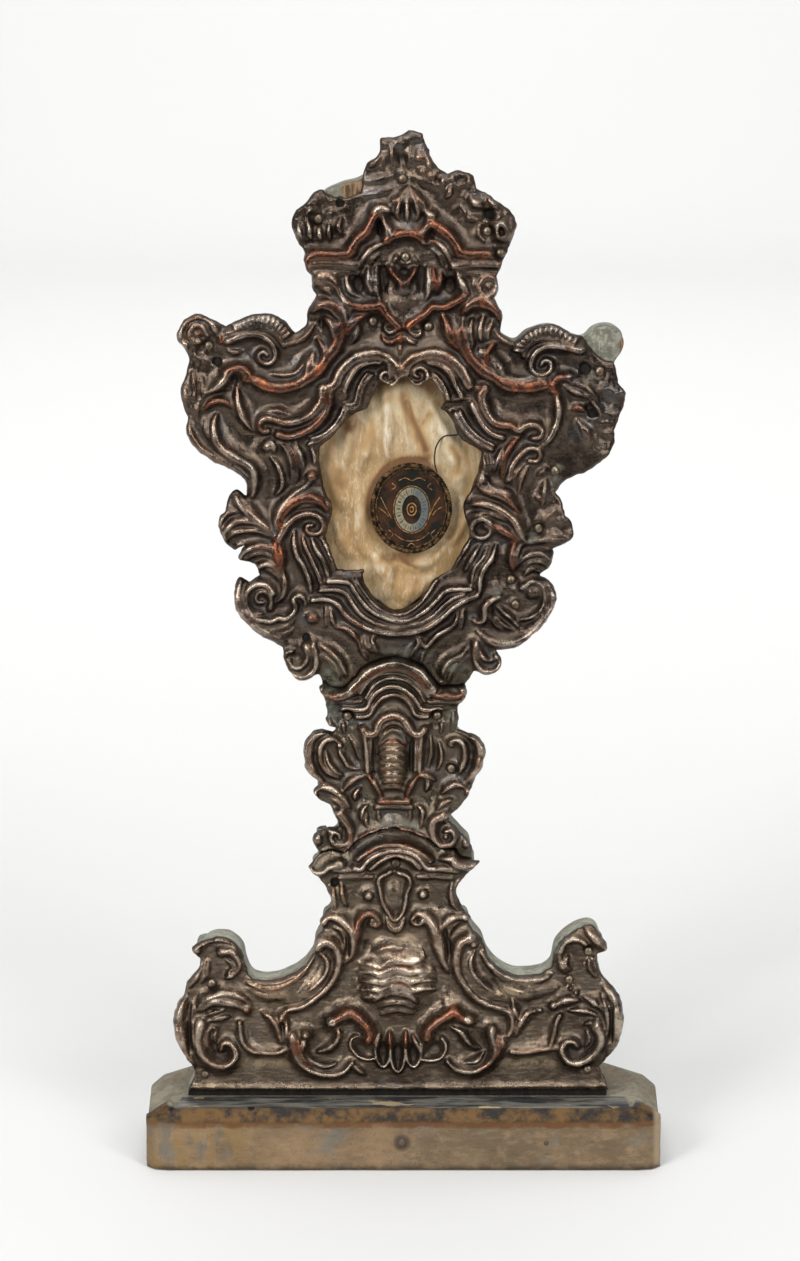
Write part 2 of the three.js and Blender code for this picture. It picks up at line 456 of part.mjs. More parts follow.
// The domed nails of the sheets (x, z) and the stray holes left by others (x, z, radius)
const nailPlaces = [
  [-0.4, 383.6], [-31.8, 368.7], [0.7, 354.6], [31.2, 364.1], [36.2, 356], [-72.9, 321.2], [73.6, 311.4],
  [-11.4, 330.4], [9.3, 328.4], [57, 273.5], [51.1, 251.3], [42.5, 221.8], [40.8, 231.5], [-21.4, 178.1],
  [12.9, 178.3], [18.3, 157.2], [-3, 119.6], [-74.5, 70.9], [-77.6, 33.6], [64.5, 72.4], [71.8, 84],
  [72, 35.6],
];
const strayHoles = [
  [-23.5, 374.5, 1.3], [31.5, 370.6, 1.5], [-69.9, 315.1, 1.6], [68.2, 312.2, 1.6], [71, 295.5, 1.4],
  [-37.2, 208.9, 1.3], [-26.7, 111.8, 1.3],
];
const nailSides = 6;
const nailHeadRadius = 1.7;
const nailHeadHeight = 1.3;
const nailShankRadius = 0.6;
const nailLength = 9;

// A turned solid whose axis runs along y through (x, z); its profile is radius and y
function turned(profile, x, z, sides) {
  const points = profile.map(([radius, y]) => new THREE.Vector2(radius, y));
  const geometry = new THREE.LatheGeometry(points, sides);
  const shape = mergeVertices(stripped(geometry), 1e-4);
  shape.translate(x, 0, z);
  return shape;
}

function stripped(geometry) {
  geometry.deleteAttribute('normal');
  geometry.deleteAttribute('uv');
  const at = geometry.attributes.position;
  for (let i = 0; i < at.count; i += 1) {
    if (Math.hypot(at.getX(i), at.getZ(i)) < 1e-6) at.setXYZ(i, 0, at.getY(i), 0);
  }
  return geometry;
}

const nailHeadBack = sheetFront - fit;

function nailGeometry(x, z) {
  return turned([
    [0, nailHeadBack - nailHeadHeight],
    [nailHeadRadius, nailHeadBack],
    [nailShankRadius, nailHeadBack],
    [0, nailHeadBack + nailLength],
  ], x, z, nailSides);
}

// Clears the relief round a nail's head and bores the sheet and the board for its shank
function nailBore(x, z, deep = nailLength + 0.6) {
  const clear = nailHeadRadius + fit + 0.15;
  return solid(turned([
    [0, sheetFront - 9],
    [clear, sheetFront - 9],
    [clear, sheetFront - 0.01],
    [nailShankRadius + fit, sheetFront - 0.01],
    [nailShankRadius + fit, nailHeadBack + deep],
    [0, nailHeadBack + deep],
  ], x, z, nailSides));
}

// A round hole right through a sheet
function strayHole([x, z, radius]) {
  return solid(turned([
    [0, sheetFront - 9],
    [radius, sheetFront - 9],
    [radius, sheetBack + 0.2],
    [0, sheetBack + 0.2],
  ], x, z, 6));
}

const upperEdge = trace(upperCorniceLeftTip, upperCorniceTop);
const lowerEdge = trace(lowerCorniceLeftTip, lowerCorniceTop);
const headLeftRun = trace(headTop, headLeft);
const headRightRun = trace([23.8, 190.5], headRight);
const stemLeftRun = trace(upperCorniceLeftTip, stemLeft);
const stemRightRun = trace([26.3, 122], stemRight);
const footLeftRun = trace(lowerCorniceLeftTip, footLeft);
const footRightRun = trace(footBottomRight, footRight);

const headOutline = [
  ...headLeftRun,
  ...raise(upperEdge.slice(1, -1), fit),
  ...headRightRun.slice(0, -1),
];
const stemOutline = [
  ...stemLeftRun,
  ...raise(lowerEdge.slice(1, -2), fit),
  ...stemRightRun,
  ...upperEdge.slice(1, -1).reverse(),
];
const footOutline = [
  ...footLeftRun,
  ...footRightRun,
  ...lowerEdge.slice(1, -1).reverse(),
];

// The board has the outline of the three sheets together, and shows bare where the sheet is torn away
const boardHeadLeft = headLeft.flatMap((stretch, i) => {
  if (i === 3) return [];
  return [i === 2 ? boardBareHead[0] : stretch];
});
const boardHeadRight = headRight.map((stretch, i) => (i === 8 ? boardBareShoulder[0] : stretch));
const boardOutline = [
  ...trace(headTop, boardHeadLeft.slice(0, -1), boardStep),
  ...trace(upperCorniceLeftTip, stemLeft, boardStep).slice(1, -1),
  ...trace(lowerCorniceLeftTip, footLeft, boardStep).slice(1, -1),
  [-85.4, boardFoot],
  [81, boardFoot],
  ...trace(footBottomRight, footRight, boardStep).slice(1, -1),
  ...trace([26.3, 122], stemRight, boardStep).slice(1, -1),
  ...trace([23.8, 190.5], boardHeadRight, boardStep).slice(1, -1),
];

function joined(base, pieces) {
  return pieces.reduce((whole, piece) => whole.add(piece), base);
}

function cut(base, tools) {
  return tools.reduce((whole, tool) => whole.subtract(tool), base);
}

// One embossed sheet: its flat ground with every raised form, trimmed to the outline and bored
function embossedSheet(outline, ridges, bosses, holes = []) {
  const ground = solid(plate(outline, sheetBack, sheetThickness, holes));
  const stock = solid(plate(outline, sheetBack, sheetThickness + 8, holes));
  const relief = joined(ground, [...ridges.map(ridge), ...bosses.map(boss)]);
  const trimmed = relief.intersect(stock);
  const bores = nailPlaces.map(([x, z]) => nailBore(x, z));
  return geometryOf(cut(trimmed, [...bores, ...strayHoles.map(strayHole)]));
}

function boardGeometry() {
  const blank = solid(plate(boardOutline, boardBack, boardBack - boardFront));
  const pocket = solid(plate(pocketCorners, pocketBack, 30));
  const bores = nailPlaces.map(([x, z]) => nailBore(x, z));
  return geometryOf(cut(blank, [pocket, ...bores]));
}

// Half of the plinth's plan, right of the middle: x and y at the shoulder, then x and y at the top
const plinthCorners = [
  [91.5, plinthFront, 88, -27.8],
  [96.4, -30.2, 90, -26.6],
  [99.4, -27.2, 91, -24],
  [plinthHalfWidth - 0.9, -23, 91.4, -20],
  [plinthHalfWidth, 12, 92, 8],
  [96.6, 23.4, 88, 19],
  [87, plinthBack, 80, 27],
];
const plinthPlan = [
  ...plinthCorners,
  ...plinthCorners.map(([x, y, topX, topY]) => [-x, y, -topX, topY]).reverse(),
];

function plinthGeometry() {
  const ring = (z, pick) => plinthPlan.map((corner) => new THREE.Vector3(...pick(corner), z));
  const worn = ([x, y]) => [x * 0.995, y * 0.985];
  return loft([
    ring(0, worn),
    ring(1.2, ([x, y]) => [x, y]),
    ring(plinthShoulder, ([x, y]) => [x, y]),
    ring(plinthHeight, ([, , x, y]) => [x, y]),
  ]);
}

// The bent metal facing follows the plinth's front and front corners, and folds over the slope
function facingGeometry() {
  const right = plinthCorners.slice(0, 4);
  const path = [...right.map(([x, y, topX, topY]) => [-x, y, -topX, topY]).reverse(), ...right];
  const rings = path.map(([x, y, topX, topY], i) => {
    const before = path[Math.max(0, i - 1)];
    const after = path[Math.min(path.length - 1, i + 1)];
    const out = new THREE.Vector2(after[1] - before[1], before[0] - after[0]).normalize();
    const at = (px, py, distance, z) => new THREE.Vector3(px + out.x * distance, py + out.y * distance, z);
    const outer = fit + facingThickness;
    return [
      at(x, y, fit, facingFoot),
      at(x, y, outer, facingFoot),
      at(x, y, outer, plinthShoulder + outer + 0.4),
      at(topX, topY, 0.4, plinthHeight + outer),
      at(topX, topY, 0.4, plinthHeight + fit),
      at(x, y, fit, plinthShoulder + fit + 0.4),
    ];
  });
  return loft(rings);
}

// The padded silk, plain here, fills the pocket behind the relic case
function liningGeometry() {
  const centre = [-1, 262];
  const at = (scale, y) => pocketCorners.map(([x, z]) => new THREE.Vector3(
    centre[0] + (x - centre[0]) * scale,
    y,
    centre[1] + (z - centre[1]) * scale,
  ));
  return loft([at(0.98, pocketBack - fit), at(0.98, liningFront + 2.4), at(0.93, liningFront)]);
}

// The relic case and what it holds, all ovals on the same centre
const caseCentre = [2.9, 258.4];
const caseHalf = [15.6, 17.6];
const caseDepth = 3.4;
const caseRim = 2;
const caseFace = 2.2;
const labelHalf = [6.9, 8.9];
const labelWidth = 2.6;
const labelThickness = 0.5;
const capsuleHalf = [2.8, 3.5];
const capsuleThickness = 1.1;

function oval([halfWidth, halfHeight], sides) {
  return Array.from({ length: sides }, (_, i) => {
    const angle = (i / sides) * 2 * Math.PI;
    return [caseCentre[0] + Math.cos(angle) * halfWidth, caseCentre[1] + Math.sin(angle) * halfHeight];
  });
}

const shrink = ([a, b], by) => [a - by, b - by];
const caseBack = liningFront - fit;
const caseFaceFront = caseBack - caseFace;

function caseGeometry() {
  const body = solid(plate(oval(caseHalf, 28), caseBack, caseDepth));
  const well = solid(plate(oval(shrink(caseHalf, caseRim), 28), caseFaceFront, caseDepth));
  return geometryOf(body.subtract(well));
}

function labelGeometry() {
  const ring = [oval(shrink(labelHalf, labelWidth), 20)];
  return plate(oval(labelHalf, 20), caseFaceFront - fit, labelThickness, ring);
}

function capsuleGeometry() {
  return plate(oval(capsuleHalf, 12), caseFaceFront - fit, capsuleThickness);
}

// The thread leaves the case at its upper right and passes under the edge of the sheet
const threadRadius = 0.3;
const threadSides = 6;
const threadRoute = [
  [14.7, -9.6, 271.6], [13, -9.8, 275.4], [11.7, -9.5, 279], [12.4, -9.4, 282.8], [15.2, -9.4, 285.6],
  [19.1, -9.6, 286.2], [23.4, -10, 286.8],
];

function threadGeometry() {
  const curve = new THREE.CatmullRomCurve3(threadRoute.map((p) => new THREE.Vector3(...p)));
  const section = new THREE.Shape(Array.from({ length: threadSides }, (_, i) => {
    const angle = (i / threadSides) * 2 * Math.PI;
    return new THREE.Vector2(Math.cos(angle) * threadRadius, Math.sin(angle) * threadRadius);
  }));
  return new THREE.ExtrudeGeometry(section, { steps: 14, extrudePath: curve, bevelEnabled: false });
}

// The nail and the pin in the plinth's facing stand on its front face
const plinthNailPlace = [-0.6, 11.5];
const plinthPinPlace = [55.3, 11.5];
const facingFront = plinthFront - fit - facingThickness;

function facingNailGeometry([x, z], radius, out) {
  return turned([
    [0, facingFront - fit - out],
    [0.7 * radius, facingFront - fit - 0.7 * out],
    [radius, facingFront - fit],
    [0, facingFront - fit],
  ], x, z, 8);
}

const finish = (color, roughness, metalness) => new THREE.MeshStandardMaterial({ color, roughness, metalness });
const materials = {
  silveredCopper: finish(0x4a4039, 0.4, 0.85),
  facingMetal: finish(0x82735f, 0.6, 0.5),
  paintedWood: finish(0x8f9a8f, 0.8, 0),
  silk: finish(0xd7c8aa, 0.85, 0),
  darkBraid: finish(0x2e241d, 0.6, 0.2),
  paper: finish(0xc9bf9f, 0.9, 0),
  gilding: finish(0x7a5a2c, 0.4, 0.8),
  brassNail: finish(0x6b5a34, 0.4, 0.9),
  ironNail: finish(0x3c3a36, 0.6, 0.7),
  thread: finish(0x30281f, 0.9, 0),
};

const object = new THREE.Group();

function piece(name, geometry, material) {
  const mesh = new THREE.Mesh(geometry, material);
  mesh.name = name;
  object.add(mesh);
}

piece('plinth', plinthGeometry(), materials.paintedWood);
piece('plinth_facing', facingGeometry(), materials.facingMetal);
piece('board', boardGeometry(), materials.paintedWood);
const windowRun = trace(windowStart, windowOutline).slice(0, -1);
piece('head_sheet', embossedSheet(headOutline, headRidges, headBosses, [windowRun]), materials.silveredCopper);
piece('stem_sheet', embossedSheet(stemOutline, stemRidges, stemBosses), materials.silveredCopper);
piece('foot_sheet', embossedSheet(footOutline, footRidges, footBosses), materials.silveredCopper);
piece('relic_lining', liningGeometry(), materials.silk);
piece('relic_case', caseGeometry(), materials.darkBraid);
piece('relic_label', labelGeometry(), materials.paper);
piece('relic_capsule', capsuleGeometry(), materials.gilding);
piece('relic_thread', threadGeometry(), materials.thread);
piece('plinth_nail', facingNailGeometry(plinthNailPlace, 1.7, 0.5), materials.ironNail);
piece('plinth_pin', facingNailGeometry(plinthPinPlace, 0.9, 0.4), materials.ironNail);
nailPlaces.forEach(([x, z], i) => {
  piece(`nail_${String(i + 1).padStart(2, '0')}`, nailGeometry(x, z), materials.brassNail);
});

export default object;
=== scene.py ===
import math
import bmesh
import bpy
import numpy as np
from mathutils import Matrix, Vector, noise
from mathutils.geometry import tessellate_polygon
from mathutils.kdtree import KDTree


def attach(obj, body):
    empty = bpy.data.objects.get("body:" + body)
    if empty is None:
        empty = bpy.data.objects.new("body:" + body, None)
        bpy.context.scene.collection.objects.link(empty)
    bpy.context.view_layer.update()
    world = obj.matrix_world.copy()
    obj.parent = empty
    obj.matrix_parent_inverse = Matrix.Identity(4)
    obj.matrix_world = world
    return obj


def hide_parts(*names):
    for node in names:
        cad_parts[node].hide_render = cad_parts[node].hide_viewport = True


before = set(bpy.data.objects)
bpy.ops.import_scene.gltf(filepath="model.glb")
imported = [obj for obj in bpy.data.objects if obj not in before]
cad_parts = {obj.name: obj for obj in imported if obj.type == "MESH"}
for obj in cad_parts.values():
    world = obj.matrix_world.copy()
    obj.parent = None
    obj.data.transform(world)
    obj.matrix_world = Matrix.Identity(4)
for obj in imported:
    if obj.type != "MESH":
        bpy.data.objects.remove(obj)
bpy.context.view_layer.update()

mm = 0.001

# Camera. It stands about 1.5 m in front of the reliquary and looks down on it by 13 degrees, a little left of
# its middle, with a long lens.
camera_place = (-0.00134, -1.47305, 0.54829)
camera_pitch = math.radians(13)
focal_pixels = 3930
photo_height = 1261
sensor = 36
camera_data = bpy.data.cameras.new("camera")
camera_data.sensor_width = sensor
camera_data.lens = sensor * focal_pixels / photo_height
camera_data.clip_end = 20
camera = bpy.data.objects.new("camera", camera_data)
camera.location = camera_place
camera.rotation_euler = (math.pi / 2 - camera_pitch, 0, 0)
bpy.context.scene.collection.objects.link(camera)
bpy.context.scene.camera = camera


# Floor. A pale sweep of paper that lies flat under the reliquary and rises far behind it.
def link(name, mesh, *materials):
    piece = bpy.data.objects.new(name, mesh)
    for material in materials:
        mesh.materials.append(material)
    bpy.context.scene.collection.objects.link(piece)
    return piece


def mesh_of(bm, name, smooth=True):
    for face in bm.faces:
        face.smooth = smooth
    mesh = bpy.data.meshes.new(name)
    bm.to_mesh(mesh)
    bm.free()
    return mesh


def new_material(name, **sockets):
    material = bpy.data.materials.new(name)
    material.use_nodes = True
    shader = material.node_tree.nodes["Principled BSDF"]
    for socket, value in sockets.items():
        shader.inputs[socket.replace("_", " ")].default_value = value
    return material


floor_length = 5
floor_breadth = 3.4  # times its length
floor_front = -0.5
floor_rise = 3.0
floor_bend = 2.6
floor_bm = bmesh.new()
bmesh.ops.create_grid(floor_bm, x_segments=2, y_segments=60, size=floor_length / 2)
for vert in floor_bm.verts:
    vert.co.x *= floor_breadth
    vert.co.y += floor_front + floor_length / 2
    past = vert.co.y - floor_bend
    if past > 0:
        vert.co.z = floor_rise * past * past / 2
floor_paper = new_material("floor_paper", Base_Color=(0.55, 0.55, 0.545, 1), Roughness=0.8)
floor = link("floor", mesh_of(floor_bm, "floor"), floor_paper)

# Light. A pale room that is darker in front, two tall soft boxes at the sides and one overhead, narrow strips
# that draw bright edges on the relief, and two boxes for the floor and its rise.
room_slope = (0, 0.8, 0.9)
room_levels = {"From Min": -0.1, "From Max": 0.7, "To Min": 0.05, "To Max": 0.95}
world = bpy.data.worlds.new("studio")
world.use_nodes = True
bpy.context.scene.world = world
sky = world.node_tree
sky_place = sky.nodes.new("ShaderNodeTexCoord")
sky_level = sky.nodes.new("ShaderNodeVectorMath")
sky_level.operation = "DOT_PRODUCT"
sky_level.inputs[1].default_value = room_slope
sky_ramp = sky.nodes.new("ShaderNodeMapRange")
sky_ramp.interpolation_type = "SMOOTHSTEP"
for socket, value in room_levels.items():
    sky_ramp.inputs[socket].default_value = value
sky_path = sky.nodes.new("ShaderNodeLightPath")
sky_seen = sky.nodes.new("ShaderNodeMath")
sky_seen.operation = "MAXIMUM"
background = sky.nodes["Background"]
background.inputs["Color"].default_value = (1, 1, 1, 1)
for source, target in (
    (sky_place.outputs["Generated"], sky_level.inputs[0]),
    (sky_level.outputs["Value"], sky_ramp.inputs["Value"]),
    (sky_ramp.outputs["Result"], sky_seen.inputs[0]),
    (sky_path.outputs["Is Camera Ray"], sky_seen.inputs[1]),
    (sky_seen.outputs["Value"], background.inputs["Strength"]),
):
    sky.links.new(source, target)
bpy.context.scene.view_settings.view_transform = "Standard"


def soft_box(name, place, size, power, aim=(0, 0, 0.2), spread=math.pi):
    light = bpy.data.lights.new(name, "AREA")
    light.spread = spread
    light.shape = "RECTANGLE"
    light.size, light.size_y = size
    light.energy = power
    lamp = bpy.data.objects.new(name, light)
    lamp.location = place
    lamp.rotation_euler = (Vector(aim) - Vector(place)).to_track_quat("-Z", "Y").to_euler()
    bpy.context.scene.collection.objects.link(lamp)


soft_box("left_box", (-0.9, -1.15, 0.75), (0.6, 0.9), 17)
soft_box("right_box", (0.85, -1.2, 0.75), (0.35, 0.9), 12)
soft_box("top_box", (0.0, -0.5, 1.6), (1.0, 0.4), 8)
soft_box("left_strip", (-0.75, -1.3, 0.85), (0.05, 0.7), 5)
soft_box("right_strip", (0.6, -1.35, 1.0), (0.04, 0.6), 3.5)
soft_box("upper_strip", (-0.1, -0.95, 1.35), (0.6, 0.04), 3)
soft_box("floor_box", (0.0, 0.75, 1.7), (2.8, 0.7), 5.6, (0, 0.75, 0), 1.3)
soft_box("back_box", (0.0, 1.5, 1.9), (2.6, 0.8), 68, (0, 3.3, 0.7))


# Plinth. A solid block of wood with cut corners and sloping upper edges, painted grey-green and worn. The
# board stands on it.
class Finish:
    """The shader nodes of one finish. Its colour is laid on in coats, the last one on top."""

    def __init__(self, tree):
        self.tree = tree
        self.places = {}
        self.colour = None

    def feed(self, socket, value):
        if hasattr(value, "is_output"):
            self.tree.links.new(value, socket)
        else:
            socket.default_value = (*value, 1) if socket.type == "RGBA" else value

    def node(self, kind, inputs=None, **settings):
        made = self.tree.nodes.new(kind)
        for name, value in settings.items():
            setattr(made, name, value)
        for name, value in (inputs or {}).items():
            self.feed(made.inputs[name], value)
        return made

    def place(self, stretch=(1, 1, 1)):
        """Where a point lies on the piece; a pattern is drawn out along an axis that is below 1."""
        if stretch not in self.places:
            there = self.node("ShaderNodeTexCoord").outputs["Object"]
            mapping = self.node("ShaderNodeMapping", {"Vector": there, "Scale": stretch})
            self.places[stretch] = mapping.outputs["Vector"]
        return self.places[stretch]

    def axis(self, letter):
        return self.node("ShaderNodeSeparateXYZ", {"Vector": self.place()}).outputs[letter]

    def field(self, name):
        return self.node("ShaderNodeAttribute", attribute_name=name).outputs["Fac"]

    def mottle(self, scale, detail=4, grit=0.55, wander=0, stretch=(1, 1, 1)):
        texture = {"Vector": self.place(stretch), "Scale": scale, "Detail": detail, "Roughness": grit,
                   "Distortion": wander}
        return self.node("ShaderNodeTexNoise", texture).outputs["Fac"]

    def step(self, value, low, high, to_low=0, to_high=1):
        """Soft change from to_low, where the value is low, to to_high, where it is high."""
        limits = {"Value": value, "From Min": low, "From Max": high, "To Min": to_low, "To Max": to_high}
        return self.node("ShaderNodeMapRange", limits, interpolation_type="SMOOTHSTEP").outputs["Result"]

    def calc(self, operation, first, second):
        return self.node("ShaderNodeMath", {0: first, 1: second}, operation=operation).outputs[0]

    def times(self, first, second):
        return self.calc("MULTIPLY", first, second)

    def near(self, centre, inner, outer):
        """1 within inner of a point and 0 past outer."""
        away = self.node("ShaderNodeVectorMath", {0: self.place(), 1: centre}, operation="DISTANCE")
        return self.step(away.outputs["Value"], outer, inner)

    def mix(self, mask, under, over):
        return self.node("ShaderNodeMix", {0: mask, 6: under, 7: over}, data_type="RGBA").outputs[2]

    def coat(self, paint, mask, strength=None):
        """Lay a colour over what is there, as far as the mask and the strength let it."""
        if strength is not None:
            mask = self.times(mask, strength)
        self.colour = self.mix(mask, self.colour, paint)

    def bump(self, height, strength, distance, under=None):
        heights = {"Height": height, "Strength": strength, "Distance": distance}
        if under is not None:
            heights["Normal"] = under
        return self.node("ShaderNodeBump", heights).outputs["Normal"]

    def dress(self, **outputs):
        """Join the colour and what else is given to the shader."""
        shader = self.tree.nodes["Principled BSDF"]
        self.feed(shader.inputs["Base Color"], self.colour)
        for socket, value in outputs.items():
            self.feed(shader.inputs[socket], value)


def effect_group(name, inputs, outputs):
    """A shader node group for an effect that several materials share; its sockets are name and kind."""
    group = bpy.data.node_groups.new(name, "ShaderNodeTree")
    for way, sockets in (("INPUT", inputs), ("OUTPUT", outputs)):
        for socket, kind in sockets.items():
            group.interface.new_socket(socket, in_out=way, socket_type="NodeSocket" + kind)
    return group


def worn_paint():
    """Dull paint over wood, worn off in patches, with dirt in it."""
    group = effect_group("worn_paint", {"Paint": "Color", "Shade": "Color", "Dust": "Color", "Bare": "Color"},
                         {"Color": "Color", "Roughness": "Float", "Normal": "Vector"})
    wood = Finish(group)
    given = wood.node("NodeGroupInput").outputs
    broad = wood.mottle(45, 6)
    medium = wood.mottle(170, 5, 0.65)
    fine = wood.mottle(420, 6, 0.7)
    grain = wood.mottle(420, 4, 0.6, stretch=(1, 1, 0.12))
    streak = wood.mottle(150, 3, 0.5, stretch=(1, 1, 0.05))
    wood.colour = wood.mix(wood.step(broad, 0.36, 0.64), given["Paint"], given["Shade"])
    wood.coat(given["Dust"], wood.step(fine, 0.5, 0.72))
    wood.coat(given["Bare"], wood.times(wood.step(broad, 0.5, 0.62), wood.step(medium, 0.45, 0.58)))
    wood.coat((0.075, 0.062, 0.045), wood.step(medium, 0.44, 0.66), 0.55)
    wood.coat((0.06, 0.05, 0.04), wood.step(grain, 0.54, 0.68), 0.65)
    wood.coat(given["Shade"], wood.step(streak, 0.55, 0.7), 0.4)
    rough = wood.bump(grain, 0.6, 0.0005)
    wood.node("NodeGroupOutput", {"Color": wood.colour, "Roughness": wood.step(fine, 0.3, 0.7, 0.6, 0.85),
                                  "Normal": wood.bump(fine, 0.4, 0.0006, rough)})
    return group


worn_paint_group = worn_paint()
bare_wood = (0.22, 0.15, 0.09)
shade_share = 0.55
dust_share = 1.3


def painted_wood(name, paint):
    material = new_material(name, Specular_IOR_Level=0.25)
    wood = Finish(material.node_tree)
    paints = {"Paint": paint, "Shade": tuple(shade_share * c for c in paint),
              "Dust": tuple(min(1, dust_share * c) for c in paint), "Bare": bare_wood}
    worn = wood.node("ShaderNodeGroup", paints, node_tree=worn_paint_group).outputs
    wood.colour = worn["Color"]
    wood.dress(Roughness=worn["Roughness"], Normal=worn["Normal"])
    return material, wood


plinth_material, _ = painted_wood("plinth_paint", (0.2, 0.178, 0.128))
plinth_front = -31.1
plinth_shoulder = 19.8
plinth_height = 24
plinth_arris = 0.9
# x and y at the shoulder, then x and y of the flat top, right of the middle
plinth_corners = [
    (91.5, plinth_front, 88, -27.8), (96.4, -30.2, 90, -26.6), (99.4, -27.2, 91, -24), (99.5, -23, 91.4, -20),
    (100.4, 12, 92, 8), (96.6, 23.4, 88, 19), (87, 32.8, 80, 27),
]
plinth_bm = bmesh.new()
plan = plinth_corners + [(-x, y, -top_x, top_y) for x, y, top_x, top_y in reversed(plinth_corners)]
foot_face = plinth_bm.faces.new([plinth_bm.verts.new((x * mm, y * mm, 0)) for x, y, _, _ in plan])
grown = bmesh.ops.extrude_face_region(plinth_bm, geom=[foot_face])["geom"]
for vert in [v for v in grown if isinstance(v, bmesh.types.BMVert)]:
    vert.co.z = plinth_shoulder * mm
shoulder_face = next(f for f in grown if isinstance(f, bmesh.types.BMFace))
grown = bmesh.ops.extrude_face_region(plinth_bm, geom=[shoulder_face])["geom"]
bmesh.ops.delete(plinth_bm, geom=[shoulder_face], context="FACES_ONLY")
for vert in [v for v in grown if isinstance(v, bmesh.types.BMVert)]:
    corner = min(plan, key=lambda c: (c[0] * mm - vert.co.x) ** 2 + (c[1] * mm - vert.co.y) ** 2)
    vert.co = Vector((corner[2], corner[3], plinth_height)) * mm
bmesh.ops.recalc_face_normals(plinth_bm, faces=plinth_bm.faces)
bmesh.ops.bevel(plinth_bm, geom=list(plinth_bm.edges), offset=plinth_arris * mm, offset_type="OFFSET",
                affect="EDGES", segments=3, profile=0.5, material=-1, clamp_overlap=True)
plinth = link("wooden_plinth", mesh_of(plinth_bm, "wooden_plinth"), plinth_material)
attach(plinth, "root")
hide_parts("plinth")


# Facing of the plinth. A thin sheet of metal with a tan-brown patina, bent round the front and the front
# corners and folded back over the sloping edge and the top as far as the board.
def patinated_facing():
    material = new_material("facing_patina", Metallic=0.3, Specular_IOR_Level=0.25)
    metal = Finish(material.node_tree)
    across, level = metal.axis("X"), metal.axis("Z")
    broad = metal.mottle(32, 5)
    medium = metal.mottle(120, 6, 0.65)
    fine = metal.mottle(900, 4, 0.7)
    cool = metal.mottle(52, 4, 0.6, 0.4, (1, 1, 1.6))
    runs = metal.mottle(95, 4, 0.6, 0.3, (1, 1, 0.3))
    brushed = metal.mottle(420, 5, 0.7, stretch=(0.4, 1, 1))
    drawn = metal.mottle(260, 5, 0.65, stretch=(0.16, 1, 1))
    scratches = metal.mottle(1100, 3, 0.6, stretch=(0.12, 1, 1))
    # the front: tan and brown, brushed along, with grey runs at its left end
    metal.colour = metal.mix(metal.step(broad, 0.35, 0.65), (0.215, 0.142, 0.078), (0.12, 0.085, 0.05))
    metal.coat((0.27, 0.19, 0.112), metal.step(medium, 0.5, 0.72), 0.5)
    metal.coat((0.3, 0.21, 0.13), metal.step(brushed, 0.48, 0.66), 0.25)
    metal.coat((0.07, 0.05, 0.03), metal.step(brushed, 0.46, 0.32), 0.3)
    left_end = metal.step(across, -0.05, -0.066)
    metal.coat((0.2, 0.125, 0.045), metal.times(left_end, metal.step(runs, 0.42, 0.56)), 0.6)
    metal.coat((0.095, 0.1, 0.088), metal.times(left_end, metal.step(runs, 0.46, 0.36)), 0.6)
    metal.coat((0.1, 0.085, 0.055), metal.step(medium, 0.35, 0.22), 0.8)
    metal.coat((0.08, 0.07, 0.06), metal.step(fine, 0.56, 0.68), 0.6)
    metal.coat((0.115, 0.12, 0.105), metal.step(cool, 0.56, 0.7), 0.6)
    # the slope: near black and dark brown, with rust along its lower edge
    wavy = metal.calc("ADD", level, metal.times(metal.calc("SUBTRACT", medium, 0.25), 0.005))
    dark_slope = metal.mix(metal.step(medium, 0.38, 0.62), (0.008, 0.006, 0.004), (0.105, 0.056, 0.018))
    metal.coat(dark_slope, metal.step(wavy, 0.0195, 0.0212))
    rust = metal.times(metal.step(wavy, 0.0182, 0.0195), metal.step(wavy, 0.0218, 0.0202))
    metal.coat((0.1, 0.04, 0.012), metal.times(rust, metal.step(runs, 0.36, 0.56, 0.3, 0.85)))
    # the top: grey streaks and bare tan patches
    grey = metal.mix(metal.step(drawn, 0.42, 0.6), (0.025, 0.026, 0.028), (0.15, 0.145, 0.125))
    grey = metal.mix(metal.step(cool, 0.62, 0.65), grey, (0.36, 0.28, 0.17))
    metal.coat(grey, metal.step(level, 0.0243, 0.0247))
    # a dark stain round the nail, a flake at the right corner, a darker band along the foot, scratches, and
    # two nicks
    metal.coat((0.035, 0.03, 0.024), metal.near((-0.0006, -0.032, 0.0115), 0.0024, 0.0042), 0.75)
    flake = metal.times(metal.step(across, 0.0962, 0.0985), metal.step(runs, 0.4, 0.5))
    metal.coat((0.36, 0.28, 0.18), flake, 0.7)
    grime = metal.times(metal.step(level, 0.004, 0.001), metal.step(medium, 0.36, 0.56))
    metal.coat((0.05, 0.036, 0.022), grime, 0.7)
    scored = metal.times(metal.step(scratches, 0.6, 0.68), metal.step(broad, 0.45, 0.6))
    metal.coat((0.06, 0.043, 0.026), scored, 0.6)
    nicks = [metal.near((x, -0.0285, 0.0248), 0.0011, 0.0017) for x in (-0.0904, -0.0591)]
    metal.coat((0.002, 0.002, 0.002), metal.calc("MAXIMUM", *nicks))
    pits = metal.bump(fine, 0.25, 0.0003)
    metal.dress(Roughness=metal.step(medium, 0.3, 0.7, 0.42, 0.68),
                Normal=metal.bump(medium, 0.3, 0.0006, pits))
    return material


def run_of(path):
    """How far along a path each of its points is."""
    return np.concatenate([[0], np.cumsum(np.linalg.norm(np.diff(path, axis=0), axis=1))])


def at_stations(path, stations):
    run = run_of(path)
    return np.stack([np.interp(stations, run, values) for values in path.T], axis=1)


